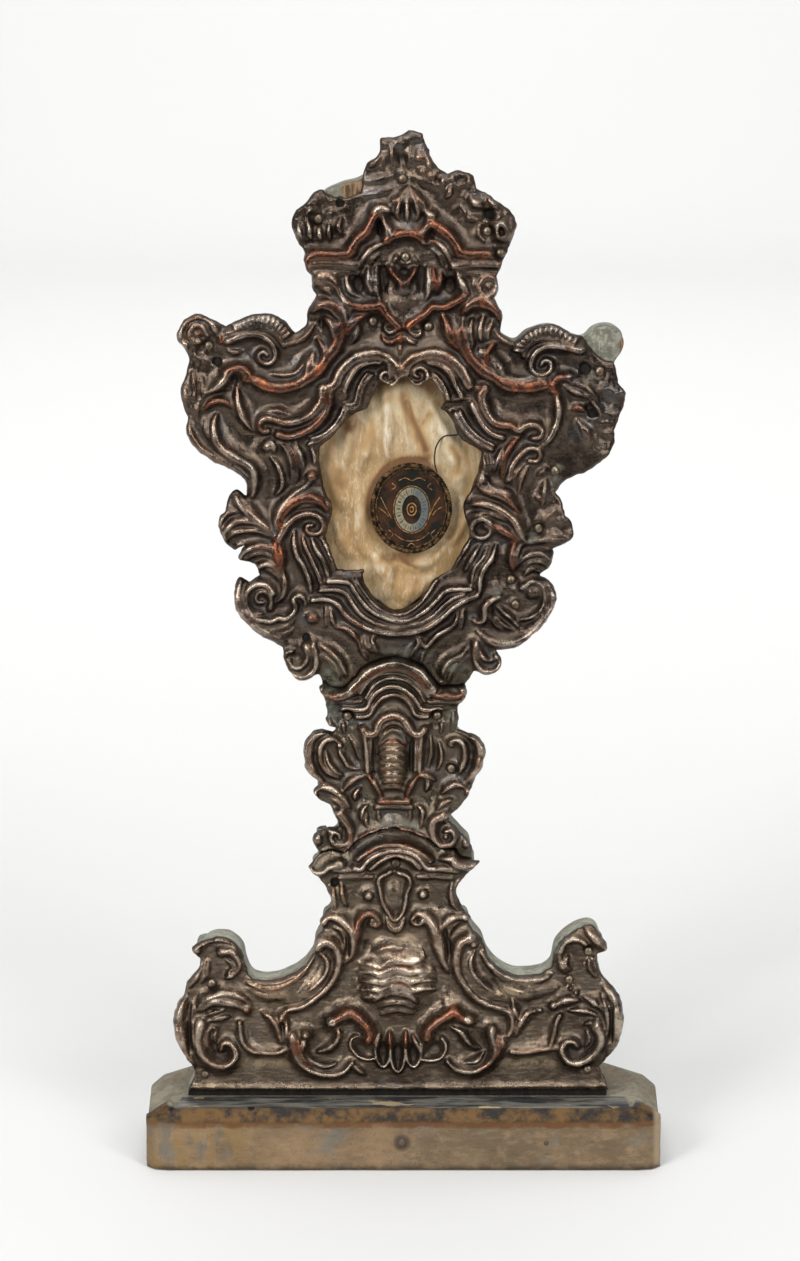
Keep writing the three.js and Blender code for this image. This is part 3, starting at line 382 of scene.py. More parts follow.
def spline(points, spacing):
    """Points about spacing apart on a centripetal Catmull-Rom curve through the given ones."""
    given = np.array(points, float)
    if len(given) == 2:
        count = max(1, round(np.linalg.norm(given[1] - given[0]) / spacing))
        return given[0] + np.linspace(0, 1, count + 1)[:, None] * (given[1] - given[0])
    full = np.vstack([2 * given[0] - given[1], given, 2 * given[-1] - given[-2]])
    knots = np.concatenate([[0], np.cumsum(np.sqrt(np.linalg.norm(np.diff(full, axis=0), axis=1)) + 1e-9)])
    runs = []
    for i in range(1, len(full) - 2):
        t0, t1, t2, t3 = knots[i - 1:i + 3]
        p0, p1, p2, p3 = full[i - 1:i + 3]
        t = np.linspace(t1, t2, 17)[:-1, None]
        a = (t1 - t) / (t1 - t0) * p0 + (t - t0) / (t1 - t0) * p1
        b = (t2 - t) / (t2 - t1) * p1 + (t - t1) / (t2 - t1) * p2
        c = (t3 - t) / (t3 - t2) * p2 + (t - t2) / (t3 - t2) * p3
        ab = (t2 - t) / (t2 - t0) * a + (t - t0) / (t2 - t0) * b
        bc = (t3 - t) / (t3 - t1) * b + (t - t1) / (t3 - t1) * c
        runs.append((t2 - t) / (t2 - t1) * ab + (t - t1) / (t2 - t1) * bc)
    dense = np.vstack([*runs, given[-1:]])
    length = run_of(dense)[-1]
    return at_stations(dense, np.linspace(0, length, max(2, round(length / spacing)) + 1))


facing_gap, facing_play = 0.3, 0.6  # from the wood, and for its dents
facing_stand = facing_gap + facing_play
facing_foot = 0.5
facing_fold = 0.4  # its rounding at the two edges of the slope
facing_thickness = 0.35
facing_back = -16
facing_spacing = 1.4
facing_end = 97  # half its length along the front
facing_corner = 0.06  # share of that, at each end, where the top stays short of the board
facing_spans = (12, 5, 8)  # faces up the front, over the slope and back along the top
dent_depth, ripple_depth, dent_middle = 0.18, 0.08, 0.22
board_front = -13.0
facing_right = plinth_corners[:4]
facing_path = [(-x, y, -top_x, top_y) for x, y, top_x, top_y in reversed(facing_right)] + facing_right
facing_run = []
for before, after in zip(facing_path, facing_path[1:]):
    count = max(2, round(math.dist(before[:2], after[:2]) / facing_spacing))
    facing_run += [np.array(before) + (np.array(after) - np.array(before)) * k / count for k in range(count)]
facing_run = np.array([*facing_run, facing_path[-1]])
tangent = np.gradient(facing_run[:, :2], axis=0)
outward = np.stack([tangent[:, 1], -tangent[:, 0]], axis=1)
outward /= np.linalg.norm(outward, axis=1)[:, None]
facing_bm = bmesh.new()
rows = []
for (x, y, top_x, top_y), (out_x, out_y) in zip(facing_run, outward):
    to_end = max(0, 1 - abs(x) / facing_end)
    back = facing_back if to_end > facing_corner else top_y
    bends = [
        (x + out_x * facing_stand, y + out_y * facing_stand, facing_foot),
        (x + out_x * facing_stand, y + out_y * facing_stand, plinth_shoulder + facing_fold),
        (top_x + out_x * facing_fold, top_y + out_y * facing_fold, plinth_height + facing_stand),
        (top_x * (1 if to_end else 0.99), back, plinth_height + facing_stand),
    ]
    points = [Vector(before).lerp(Vector(after), i / span)
              for before, after, span in zip(bends, bends[1:], facing_spans) for i in range(span)]
    row = []
    for point in [*points, Vector(bends[-1])]:
        dent = noise.noise(Vector((point.x / 14, point.z / 5 + point.y / 9, 3.3)))
        ripple = noise.noise(Vector((point.x / 4, point.z / 3 + point.y / 4, 8.1)))
        away = Vector((out_x, out_y, 0)) if point.z < plinth_shoulder + 1 else Vector((0, 0, 1))
        beaten = dent_depth * dent + ripple_depth * ripple - dent_middle
        row.append(facing_bm.verts.new((point + away * beaten) * mm))
    rows.append(row)
for left, right in zip(rows, rows[1:]):
    for a, b, c, d in zip(left, right, right[1:], left[1:]):
        facing_bm.faces.new((a, b, c, d))
bmesh.ops.recalc_face_normals(facing_bm, faces=facing_bm.faces)
facing = link("plinth_facing_sheet", mesh_of(facing_bm, "plinth_facing_sheet"), patinated_facing())
walls = facing.modifiers.new("thickness", "SOLIDIFY")
walls.thickness = facing_thickness * mm
walls.offset = -1
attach(facing, "root")
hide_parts("plinth_facing")

# The three embossed sheets. Each is thin copper that was beaten up from behind over pitch and once silvered.
# They are nailed on the board and meet at two cornices. The upper one has the window.
sheet_back = -13.3
sheet_thickness = 1.2
lean = 0.06  # a crest stands nearer the eye, so its points, given as they are seen, are raised by this share
outline_spacing = 0.5


def trace(start, stretches, spacing=outline_spacing):
    run = [np.array([start])]
    for stretch in stretches:
        run.append(spline([run[-1][-1], *stretch], spacing)[1:])
    return np.vstack(run)


head_top = (2, 401.3)
head_left = [
    [(-2.6, 399.1), (-8.6, 398.6)], [(-10, 391.7), (-13.4, 389.7)], [(-15, 385.3), (-15.8, 378.5)],
    [(-22, 376.5), (-27.5, 377.2), (-30, 379.6)],
    [(-33.4, 378.3), (-36.4, 374.5), (-40.4, 371.2), (-41.7, 366.1), (-39.7, 360.4), (-36.7, 356)],
    [(-37.2, 353.7), (-36, 349), (-34.4, 347.6)], [(-33.7, 341.5), (-32.7, 340.2)],
    [(-35.8, 334.8), (-36.6, 328.9), (-40.5, 325.8)],
    [(-45.3, 331.2), (-53.8, 333), (-62.2, 330.6), (-66.4, 328.3)],
    [(-71.2, 330.7), (-76.3, 333), (-82.5, 330.3), (-84.8, 322.5), (-82.2, 320)],
    [(-80.6, 316.2), (-81.9, 309.9), (-84, 304.2), (-82.2, 296.1), (-81, 293.8)],
    [(-82.1, 289.3), (-79.1, 282.6), (-71.9, 276.9), (-64.1, 273.2), (-59.2, 268.6), (-59.5, 263.4)],
    [(-63.7, 266.4), (-66.3, 262), (-67.3, 258.3)], [(-70.1, 254.6), (-68.7, 247.5), (-64.4, 242.6)],
    [(-60.2, 244.6)], [(-62.7, 239.5), (-56, 237.2), (-54.6, 233.2)], [(-58.6, 230.4)],
    [(-62.6, 232.2), (-64.5, 225.2), (-62.8, 217.8), (-56.5, 210.9), (-45.9, 204.6)],
    [(-45.3, 198.8), (-40.8, 192.7), (-37.4, 191.8), (-32.7, 194.4)], [(-28.7, 190.6)],
]
head_right = [
    [(24.9, 191.9), (27.2, 195.9)], [(32.2, 194.2), (37.6, 198.2), (35, 204.4)],
    [(41.2, 204.3), (47.4, 208), (54.6, 216), (58.2, 224.1), (55, 231.5), (51.4, 233.3)],
    [(55.3, 236.1), (56.7, 240.7), (56.4, 243)], [(63.6, 247), (63.9, 252.4), (60.8, 256.1)],
    [(60, 261.2), (57.5, 264.8)], [(60.5, 269.2), (70.8, 274.3), (78.6, 281.2), (79.5, 289.8)],
    [(82.2, 296.7), (83.4, 302.4), (80.9, 307), (78.8, 314.5)], [(72.3, 317.4), (67, 324.6)],
    [(63.2, 325.4), (55.3, 329.2), (46.8, 326.9), (41.5, 322.5)],
    [(36.2, 326.6), (36.9, 332.3), (33.8, 338.5)], [(35.4, 343.6), (34.8, 346.9)],
    [(37.5, 353.7), (40.2, 360.4), (42.2, 366.8), (39.9, 371.2), (33.2, 376.6), (27.2, 379.9)],
    [(25.5, 384.6), (20.5, 386.8), (16.5, 385.3)], [(12.1, 388.3), (9.8, 392)],
    [(7.3, 399.1), (7, 400.6), (2, 401.3)],
]
stem_left = [
    [(-32.2, 189), (-30.1, 184.1), (-29.3, 178.9), (-30, 176.5)],
    [(-28.4, 174.4), (-25.5, 173.5), (-26.9, 171.4)],
    [(-33.8, 172.4), (-37.9, 166.4), (-37, 156.9), (-31.8, 151)],
    [(-34.5, 148.5), (-33, 145.3), (-28.1, 142), (-24.9, 134.1)],
    [(-30, 133.4), (-35, 130.2), (-32.8, 123.4)],
]
stem_right = [
    [(26.3, 126.4), (21.8, 132.1), (16.9, 137.2)], [(23, 143.5), (26.3, 149.8)],
    [(31, 160.4), (31.3, 165.2), (29, 169.3), (20.5, 173)], [(21, 175.3), (20.9, 181.5)],
    [(24.3, 186.6), (23.8, 190.2)],
]
foot_left = [
    [(-37, 117.5)], [(-30, 109.9), (-27.9, 103.6), (-32.2, 95.9), (-31, 92.7)], [(-34.3, 88.7), (-35, 82.7)],
    [(-41, 76), (-51.5, 71.9), (-58.3, 72.2)],
    [(-60.5, 74.9), (-62.7, 84), (-68.9, 89.3), (-75.8, 88.6), (-82, 85), (-78.9, 80.4)],
    [(-79.2, 77.5), (-84.2, 70.9), (-85.4, 65.7)],
    [(-89.1, 59.1), (-88.8, 48.7), (-83.9, 38.8), (-81.7, 34.9)], [(-82.3, 31), (-84.6, 27)],
]
foot_right = [
    [(79.1, 30.6), (76.6, 36.8)], [(82.9, 44.7), (85.8, 56.5), (84.1, 65.7)],
    [(81.3, 69), (76.6, 75.5), (75.1, 82.4)],
    [(79, 84.7), (77.9, 88), (72.6, 94.3), (63.6, 90.3), (58.9, 84.7), (57.3, 76.8)],
    [(53.6, 74.9), (42.4, 74.5), (33.6, 80.8), (30.5, 88.6)],
    [(25.5, 95.2), (25.9, 97.8), (22.4, 101.8), (20.5, 108.7), (24.8, 115), (29.7, 120.2)],
]
foot_bottom_right = (80.5, 27)
head_right_start = (23.8, 190.5)
stem_right_start = (26.3, 122)
upper_cornice = [
    [(-23, 188.9), (-18.4, 193.2), (-14.4, 197.3), (-4.4, 200.8), (7.1, 197.4), (13.6, 189.7),
        (23.8, 190.2)],
]
upper_tip = (-30.6, 190.4)
lower_cornice = [
    [(-29.5, 124.2), (-22.4, 124.3)], [(-16.5, 129.8), (-3.2, 133.7), (9.8, 129), (13.2, 126)],
    [(19.5, 124.8), (22.6, 121.4), (29.7, 120.2)],
]
lower_tip = (-32.8, 122.8)
window_start = (-9, 308)
window = [
    [(-10, 305.3), (-13.8, 297.3)], [(-20, 294.4), (-25.7, 287.5), (-31.9, 282.1)],
    [(-31.5, 274), (-29.1, 264.5), (-27.1, 260), (-28.5, 252), (-29.8, 248.1)], [(-24.8, 235)],
    [(-14.7, 234.7), (-15.5, 233.2)],
    [(-14.4, 229.4), (-9.4, 222.2), (-2.2, 219.8), (5, 222.6), (11.3, 231.4)], [(17.9, 234.7)],
    [(22, 243), (24.8, 247.5), (22.8, 259.9), (26.2, 268), (29.8, 280.1)],
    [(21.4, 286.4), (17.4, 294.4), (13.5, 297.3)], [(15.7, 300.2), (10.1, 308.2)],
    [(4.5, 306), (0.3, 309.5), (-4, 306), (-9, 308)],
]
seam = 0.3
upper_edge = trace(upper_tip, upper_cornice)
lower_edge = trace(lower_tip, lower_cornice)
foot_base = spline([foot_left[-1][-1], foot_bottom_right], outline_spacing)
head_outline = np.vstack([trace(head_top, head_left), upper_edge[1:-1] + (0, seam),
                          trace(head_right_start, head_right)[:-1]])
stem_outline = np.vstack([trace(upper_tip, stem_left), lower_edge[1:-8] + (0, seam),
                          trace(stem_right_start, stem_right), upper_edge[1:-1][::-1]])
foot_outline = np.vstack([trace(lower_tip, foot_left), foot_base[1:-1], trace(foot_bottom_right, foot_right),
                          lower_edge[1:-1][::-1]])
window_outline = trace(window_start, window)[:-1]

# A stroke is the kind of tool mark, its half width, its height, how much of its crest is worn to bare copper,
# and points along it.
head_strokes = [
    # crown: top lip with its creases, palmette, broken pediment
    ("rail", 1.6, 0.9, 0, [(-8.2, 396.6), (-3, 397.2), (2, 398.6), (6.4, 399)]),
    ("roll", 1, 1.9, 0.3, [(-4.2, 396), (-4.4, 391.6), (-3.6, 387.6)]),
    ("roll", 0.8, 1.3, 0, [(-6.8, 394.4), (-7.4, 390.4), (-8.8, 386.6)]),
    ("roll", 1.1, 1.7, 0, [(-8.6, 394.8), (-10.2, 391.2), (-13, 387.6)]),
    ("roll", 0.8, 1.3, 0.1, [(2.2, 395.6), (2.5, 391.4), (1.4, 388)]),
    ("roll", 1, 1.9, 0.3, [(7, 396), (8.6, 391.6), (9.8, 387.6), (12.2, 385.2)]),
    ("roll", 1.4, 1.3, 0.2, [(-15, 377.4), (-9, 378.6), (-3.6, 380.8)]),
    ("roll", 1.3, 1, 0.1, [(-14.4, 382.6), (-8, 383.6), (-3.2, 385)]),
    ("roll", 1.3, 1, 0, [(3.2, 384.8), (8, 382.8), (13.4, 380.6)]),
    ("roll", 1, 2, 0, [(1.2, 380.6), (-1, 377.4), (-4.2, 374.8), (-6, 371.2)]),
    ("roll", 1.1, 2.2, 0.1, [(1.6, 380.8), (4.6, 377.8), (7.4, 374), (9, 370.6)]),
    ("roll", 1, 2, 0, [(0.4, 378.8), (-1.5, 374.8), (-2.7, 370.8), (-1.6, 367.8)]),
    ("roll", 1, 2.2, 0.1, [(1.2, 379.2), (1.7, 374.6), (1.2, 369.8), (1.5, 366.8)]),
    ("roll", 1, 2, 0, [(2.2, 379.2), (4.5, 374.8), (5.5, 370.8), (4.4, 367.6)]),
    ("roll", 0.9, 1.9, 0.3, [(-3, 367.4), (0.6, 365.9), (4, 365.3), (7, 366.8)]),
    ("rail", 1.6, 3.3, 0.9, [(-19.4, 358), (-17.2, 361.2), (-14, 364), (-12, 367.6), (-10.4, 370.4)]),
    ("roll", 1.5, 3.5, 0.1, [(-12.8, 370.2), (-9.4, 372.6), (-6, 372.2), (-3.8, 370.6)]),
    ("roll", 1.5, 3.5, 0, [(-8.6, 371.2), (-7.4, 367.6), (-5.6, 364.2), (-5, 361), (-7.6, 359)]),
    ("roll", 1.4, 3.3, 0.2, [(7.6, 371.6), (9.6, 370.4), (12.6, 370)]),
    ("roll", 1.4, 3.1, 0.2, [(8.6, 370), (8.6, 366.2), (6.6, 363), (7.4, 360.2), (10.8, 359.6)]),
    ("rail", 1.6, 3.3, 0.9, [(10.4, 367), (14, 365), (17.4, 362), (19.8, 358.6), (20.8, 356)]),
    ("rail", 1.5, 3.1, 1, [(-6.4, 360.6), (-3, 362.6), (0.8, 363.5), (4, 363.2), (6.6, 361.6)]),
    ("rail", 1.5, 3.3, 0.9, [(-36.6, 351.4), (-35.6, 354), (-33, 355.4), (-24, 355.4), (-20, 356),
        (-18.8, 358)]),
    ("rail", 1.5, 3.3, 0.9, [(36.6, 351.4), (35, 354.4), (31.6, 355.6), (24, 355.6), (21, 356.2)]),
    ("rail", 1.5, 2.5, 0, [(-35.4, 351.8), (-27, 352), (-17.2, 351.4)]),
    ("rail", 1, 1.9, 0, [(-36, 348.8), (-27, 349), (-17, 348.6)]),
    ("rail", 1.5, 2.5, 0.3, [(35.4, 351.6), (26, 351.8), (18.6, 351.2)]),
    ("rail", 1, 1.9, 0, [(35.6, 348), (26, 348.4), (20.6, 348.2)]),
    ("roll", 1.3, 2.8, 0.1, [(-16.6, 350.8), (-14.8, 354.6), (-11, 358), (-7, 359.8)]),
    ("roll", 0.8, 1.8, 0, [(-13.2, 350.8), (-11.4, 354), (-8.6, 356)]),
    ("roll", 1.3, 2.8, 0.2, [(18, 350.8), (16.6, 355.2), (14, 358.8), (10.4, 361)]),
    ("roll", 0.8, 1.8, 0, [(14.6, 351.2), (13.4, 354.8), (10.4, 357.6)]),
    ("roll", 0.8, 1.9, 0.1, [(-4.6, 351.8), (-2.6, 354), (-0.8, 351.8)]),
    ("roll", 0.8, 1.9, 0.1, [(1.6, 351.8), (3.6, 353.6), (5.4, 351.6)]),
    # scalloped ears of the crown, crushed
    ("roll", 1.1, 2.2, 0, [(-39.4, 367.4), (-38.8, 363.4), (-36.6, 360.2)]),
    ("roll", 1.1, 2.4, 0, [(-35.6, 367), (-35, 363.6), (-33.8, 360.6)]),
    ("roll", 1.1, 2.4, 0, [(-31.6, 366), (-31.2, 363.2), (-30.6, 360.2)]),
    ("roll", 1.1, 2.4, 0, [(-27.8, 366.8), (-27.6, 363.4), (-27.4, 360.2)]),
    ("roll", 1.1, 2.2, 0.2, [(-23.2, 369), (-24.2, 366), (-22.8, 362.6)]),
    ("roll", 1.2, 1.9, 0, [(-40, 370), (-37.6, 373.6), (-33.6, 375.8), (-29.6, 376.4)]),
    ("roll", 1, 1.6, 0.1, [(-36.4, 370.6), (-34, 372.8), (-30.8, 373.2)]),
    ("roll", 1, 1.8, 0, [(28.2, 366.6), (28.6, 363), (30.2, 359.6)]),
    ("roll", 1, 2, 0, [(32.4, 367), (32.6, 363.6), (33.4, 360.2)]),
    ("rail", 0.9, 2.2, 0.1, [(36.4, 367.4), (34.4, 365.6), (34.9, 362.4), (37.2, 361.2), (38.8, 363.6),
        (36.4, 367.4)]),
    ("roll", 1.1, 1.9, 0, [(40.2, 369), (40.6, 365), (38.8, 360.4)]),
    ("roll", 1.1, 2, 0.5, [(17, 381.4), (17.2, 378.6), (15.4, 376.2)]),
    ("roll", 1.1, 1.9, 0, [(24.4, 377.6), (26.4, 374.4), (30, 372.8)]),
    ("roll", 1, 1.8, 0, [(29.6, 378), (33, 374.8), (36.4, 371)]),
    ("roll", 1, 1.6, 0.1, [(22, 372.6), (24.6, 369), (28.6, 368.2)]),
    # shield, its corner leaves and the side volutes
    ("rail", 0.8, 2.6, 1, [(-5, 350.2), (-3.4, 347.4), (-1.6, 346.2), (0, 343.4), (1.4, 345.8), (2.8, 347),
        (4.2, 349.8)]),
    ("roll", 1, 3.2, 0.1, [(-10, 351.2), (-10.2, 347), (-10, 342), (-8.2, 337.6)]),
    ("roll", 1, 3.2, 0.1, [(9.2, 351), (9, 346), (9.2, 341.6), (8, 337.6)]),
    ("roll", 1.5, 3.3, 0.4, [(-13.4, 350.4), (-12.8, 345.6), (-11.8, 340.4)]),
    ("roll", 1.4, 3.3, 1, [(10.8, 350.4), (11.6, 346), (12.6, 341)]),
    ("roll", 1, 2.8, 0.8, [(14, 349.2), (13.8, 345.6), (13, 341.8)]),
    ("roll", 1.1, 2.6, 0, [(-20.8, 349.4), (-21.2, 345.4), (-19.4, 341.4), (-15.4, 339.4)]),
    ("roll", 1.9, 3.7, 0, [(-33.8, 345.6), (-31.2, 347.6), (-28, 346.8), (-25.2, 344), (-23, 340.6)]),
    ("roll", 1.2, 2.8, 0, [(-31.6, 342.6), (-28.8, 342.4), (-26.4, 340)]),
    ("roll", 1.6, 3.3, 0.2, [(19.6, 348.8), (21.4, 345.2), (23.4, 342), (25.8, 340.2)]),
    ("rail", 1, 2.6, 0, [(32, 347.4), (28.9, 345.6), (28.6, 342), (31.4, 340.2), (34.4, 342), (34.6, 345.4),
        (32, 347.4)]),
    ("roll", 1, 2.4, 0, [(27, 348.2), (26, 345), (26.8, 341)]),
    ("rail", 1.3, 3.3, 1, [(-20.4, 337.2), (-17.4, 336), (-10.8, 336), (-8.6, 336.8), (-6.8, 333.4),
        (-4, 330.4), (-1.4, 328.4)]),
    ("rail", 1.3, 3.3, 1, [(1.4, 328.4), (5.6, 331.4), (8.8, 333.8), (10.6, 335.8), (15, 335.6), (19, 337.6),
        (22.6, 339.6)]),
    ("roll", 1.4, 3.2, 0.1, [(-25, 342), (-22.6, 339), (-20.4, 335.2), (-19.4, 332.6)]),
    ("roll", 2, 4.2, 0.8, [(-34, 334), (-31, 336.6), (-27.2, 336.4), (-24, 333.8), (-22, 329.8),
        (-22.4, 324.6)]),
    ("roll", 1.7, 3.7, 0.7, [(-29.8, 331.8), (-27.4, 330), (-25.8, 326.8), (-25.2, 322)]),
    ("roll", 2, 4.2, 0.8, [(36.2, 330.4), (34.4, 334.4), (31.6, 336.8), (28, 337.8), (24.4, 336.4),
        (21.8, 333)]),
    ("roll", 1.4, 3.5, 0, [(25.6, 331.6), (24.9, 326), (26, 320.6)]),
    ("roll", 1, 2.8, 0.1, [(22.4, 332.4), (21.8, 327), (23, 321.2)]),
    ("roll", 1.2, 3.1, 0, [(30, 333), (28.6, 328), (29, 322)]),
    ("roll", 1.1, 2.6, 0, [(33.6, 331.6), (31.8, 327.2), (31.4, 322.6)]),
    ("roll", 1.5, 3, 0.8, [(-13.6, 332.6), (-17.2, 331.4), (-19.6, 328.8), (-20.6, 324.6)]),
    ("roll", 1, 2.4, 0.1, [(-16.4, 329.4), (-17.4, 325.8), (-19.6, 321.8)]),
    ("roll", 1.8, 3.4, 0.8, [(14.4, 333.4), (16.4, 328.6), (17.8, 323.6), (20.4, 319.6)]),
    ("roll", 1, 2.4, 0, [(18.8, 332.4), (20, 328), (20.4, 323.6)]),
    # volutes and fleuron between the arcs
    ("tail", 0.8, 2.8, 0.4, [(-1.6, 329), (-3, 327.2), (-5.4, 326.2), (-7, 327.8), (-6.2, 329.4),
        (-4.9, 328.6)]),
    ("tail", 0.8, 2.8, 0.4, [(1.4, 328.8), (2.6, 326.4), (4.8, 325), (6.6, 326.4), (6.2, 328.4),
        (4.6, 328)]),
    ("roll", 0.9, 2.6, 0.9, [(-8.2, 325), (-6.6, 322.8), (-4, 322.7), (-1.4, 325)]),
    ("roll", 0.9, 2.6, 0.3, [(0.2, 325.6), (2, 323.2), (5.4, 321.9)]),
    # moulded head of the window
    ("rail", 1.7, 3.8, 0.5, [(-29, 305), (-25.6, 306.8), (-23.9, 310.6), (-21.6, 313.9), (-18, 316.4),
        (-13.4, 317.9), (-9.4, 318), (-5.6, 316.2), (-3.2, 313.4), (-2, 310.2)]),
    ("rail", 0.9, 3, 0.05, [(-22.2, 304.2), (-20.9, 307.8), (-18.8, 311.2), (-15.8, 313.8), (-12.2, 315.1),
        (-9, 315)]),
    ("rail", 0.55, 2.5, 0, [(-11.6, 310.2), (-14.4, 307), (-16.1, 302.6), (-16.7, 299.4), (-18.4, 297.5),
        (-21.8, 297.1)]),
    ("rail", 0.55, 2.5, 0, [(-13.6, 310.8), (-15.8, 307.6), (-17.4, 303.2), (-18.1, 300), (-19.6, 298.9),
        (-22, 299)]),
    ("tail", 0.9, 3.6, 0.1, [(-2, 310.8), (-2.3, 307.8), (-4.6, 306.2), (-7.4, 306.9), (-8.7, 309.4),
        (-7.2, 311.4), (-5.2, 310.4), (-5.4, 308.8)]),
    ("roll", 0.8, 3.4, 0.1, [(-6.4, 315.6), (-5.2, 312.6), (-4.9, 309.8)]),
    ("rail", 1.7, 3.8, 0.5, [(0.4, 311.4), (1, 314), (3.6, 316.5), (8, 317.9), (13, 317.9), (17, 316.5),
        (20.2, 313.9), (22.6, 310.5), (24.6, 306.6)]),
    ("rail", 0.9, 3, 0.2, [(9.4, 315), (14.6, 313.6), (17.9, 310.2), (19.6, 306.4), (21.8, 302.2)]),
    ("rail", 0.55, 2.5, 0, [(9.8, 309.9), (12.5, 307), (14, 304), (15.2, 300.6)]),
    ("rail", 0.55, 2.5, 0, [(11.6, 310.6), (14, 307.8), (15.8, 304.4), (17, 300.8)]),
    ("tail", 1, 3.6, 0.3, [(0.3, 311.6), (0.8, 308.4), (3, 306.4), (6.2, 306.2), (8.6, 308.2), (8.8, 311.2),
        (6.8, 313), (4.4, 312.3), (4.1, 310.2), (5.6, 309.4)]),
    ("roll", 0.9, 2.4, 0.8, [(24.4, 305), (28, 305.6), (31, 305)]),
    ("roll", 0.9, 2.2, 0.7, [(18, 300.4), (22.4, 301.4), (26.4, 300.8)]),
    ("roll", 0.8, 2.2, 0, [(-25.4, 303), (-23.4, 304.4), (-21.6, 302.6), (-23.2, 300)]),
    # left wing: ribbed crest, scrolls and hooked leaves
    ("tail", 1.4, 2.8, 0.1, [(-70.4, 327), (-71.8, 331), (-75.4, 332.4), (-80, 331.4), (-83, 327.6),
        (-83.2, 323), (-81, 321.4)]),
    ("rail", 1, 2.6, 0.2, [(-73.4, 325.4), (-75.6, 328.6), (-78.6, 328.4), (-80, 325.4), (-78.4, 322.8),
        (-75.4, 322.6)]),
    ("rail", 1, 2.2, 0, [(-66.4, 326), (-62, 327.2), (-57, 328), (-52, 327.6), (-48, 325.6), (-46, 323),
        (-44.8, 321.4)]),
    ("tail", 1.3, 3.2, 0.35, [(-65.8, 323), (-60.4, 325), (-54, 325.2), (-49.8, 322.8), (-48, 319.2),
        (-48.5, 316), (-51, 314.4), (-53.8, 315.4), (-54.2, 317.8), (-52.4, 319), (-51, 317.6)]),
    ("roll", 0.8, 1.8, 0.1, [(-46.8, 321.2), (-42, 322.2), (-38.4, 323.4), (-35.4, 326), (-33.6, 329.4)]),
    ("roll", 1.9, 3.6, 0, [(-37.4, 309.6), (-35.8, 312.6), (-34.4, 316), (-33.6, 318.8)]),
    ("roll", 1.4, 3.4, 1, [(-32.2, 323.4), (-30.2, 320.6), (-29, 317.6), (-29.8, 313.8)]),
    ("rail", 1.8, 3.6, 0.8, [(-54.8, 307.8), (-51.6, 306.1), (-47, 305.3), (-42, 305.9), (-37.4, 307.9),
        (-33.4, 310.7), (-30.6, 313.7), (-28.2, 317.6), (-25.6, 320.6), (-24, 324.4), (-24, 328)]),
    ("roll", 0.8, 2.2, 0, [(-50.6, 310.6), (-44, 310.2), (-40.2, 311.2), (-38, 314), (-36.4, 318)]),
    ("tail", 1.7, 3.6, 0.6, [(-30.2, 305.2), (-30.6, 301.4), (-32.6, 297.6), (-36, 294.5), (-40, 292.7),
        (-44.4, 292), (-48, 293), (-51.2, 293.9), (-53.8, 292.7), (-54.2, 290.2), (-52.6, 288.4),
        (-50.6, 288.8)]),
    ("roll", 0.8, 1.9, 0, [(-52, 296.6), (-47, 296.4), (-42.6, 295)]),
    ("rail", 1.3, 3.2, 0.7, [(-47.4, 287.6), (-43, 286.6), (-38, 288.2), (-33.6, 290.8), (-30.2, 294.4),
        (-28.2, 298.6), (-27.6, 302.6)]),
    ("rail", 0.6, 2.6, 0.05, [(-35.8, 283.8), (-31, 285.7), (-26.6, 289.1), (-23.2, 293), (-21.4, 297)]),
    ("rail", 0.6, 2.6, 0, [(-34.6, 286), (-30.4, 287.6), (-26.6, 290.8), (-24, 294.2), (-22.8, 297.4)]),
    ("roll", 1.5, 3.2, 0.3, [(-74.8, 302.8), (-71, 305), (-67.6, 308), (-65, 311.4), (-61.6, 313.1)]),
    ("tail", 1.9, 3.4, 0.9, [(-58.6, 309), (-58.8, 311.2), (-61, 312.8), (-64.4, 312.6), (-67.4, 311)]),
    ("roll", 1.3, 2.8, 0.9, [(-75, 296.6), (-72.5, 299.4), (-69, 300.4), (-66, 299.4), (-64.4, 297.6)]),
    ("roll", 1.3, 2.8, 0.2, [(-62.5, 306), (-62.2, 301), (-61.2, 296.5), (-59.5, 292.5), (-56.8, 288.8)]),
    ("roll", 1.5, 3, 0.3, [(-70.2, 295), (-71.3, 291.5), (-71, 287.5), (-69.3, 283.5), (-66, 280.3),
        (-62, 278), (-58.5, 276), (-56.8, 274), (-56.2, 270.5), (-56.6, 266), (-57.6, 263)]),
    ("roll", 1, 2, 0.2, [(-80.8, 292), (-79.8, 287), (-76, 282), (-70, 278), (-64, 275), (-59.5, 271),
        (-58.6, 266)]),
    ("roll", 0.8, 1.6, 0, [(-82.6, 309), (-82, 303), (-80.2, 296.6)]),
    ("roll", 0.8, 1.5, 0, [(-79, 312), (-78.4, 303), (-79, 294)]),
    ("roll", 0.8, 1.5, 0, [(-75.6, 309), (-75.4, 303), (-77.4, 297), (-77, 290)]),
    ("roll", 0.8, 1.6, 0, [(-74.6, 294), (-74.4, 289), (-71.8, 284)]),
    ("roll", 1, 2, 0.4, [(-66.6, 319.6), (-63, 318.6), (-60.6, 319)]),
    ("roll", 1.2, 3, 0.2, [(-51, 285.8), (-49, 284), (-48.6, 280)]),
    ("roll", 0.9, 2.6, 0, [(-47.6, 285.2), (-44.5, 282.5), (-42.7, 278.5), (-42, 273.5), (-42.1, 269)]),
    ("roll", 1, 2.8, 0, [(-41.2, 285), (-39.2, 281), (-37.9, 277), (-37.6, 273.6)]),
    ("roll", 1, 2.4, 0.7, [(-44, 285.6), (-41.4, 280), (-40.2, 273), (-40.8, 268)]),
    ("roll", 0.9, 2.4, 0, [(-50, 279), (-47.2, 275), (-45.8, 271), (-46.2, 267), (-48.6, 264)]),
    ("roll", 0.8, 2.6, 0, [(-35, 283.4), (-33.5, 279), (-33.8, 275)]),
    # right wing
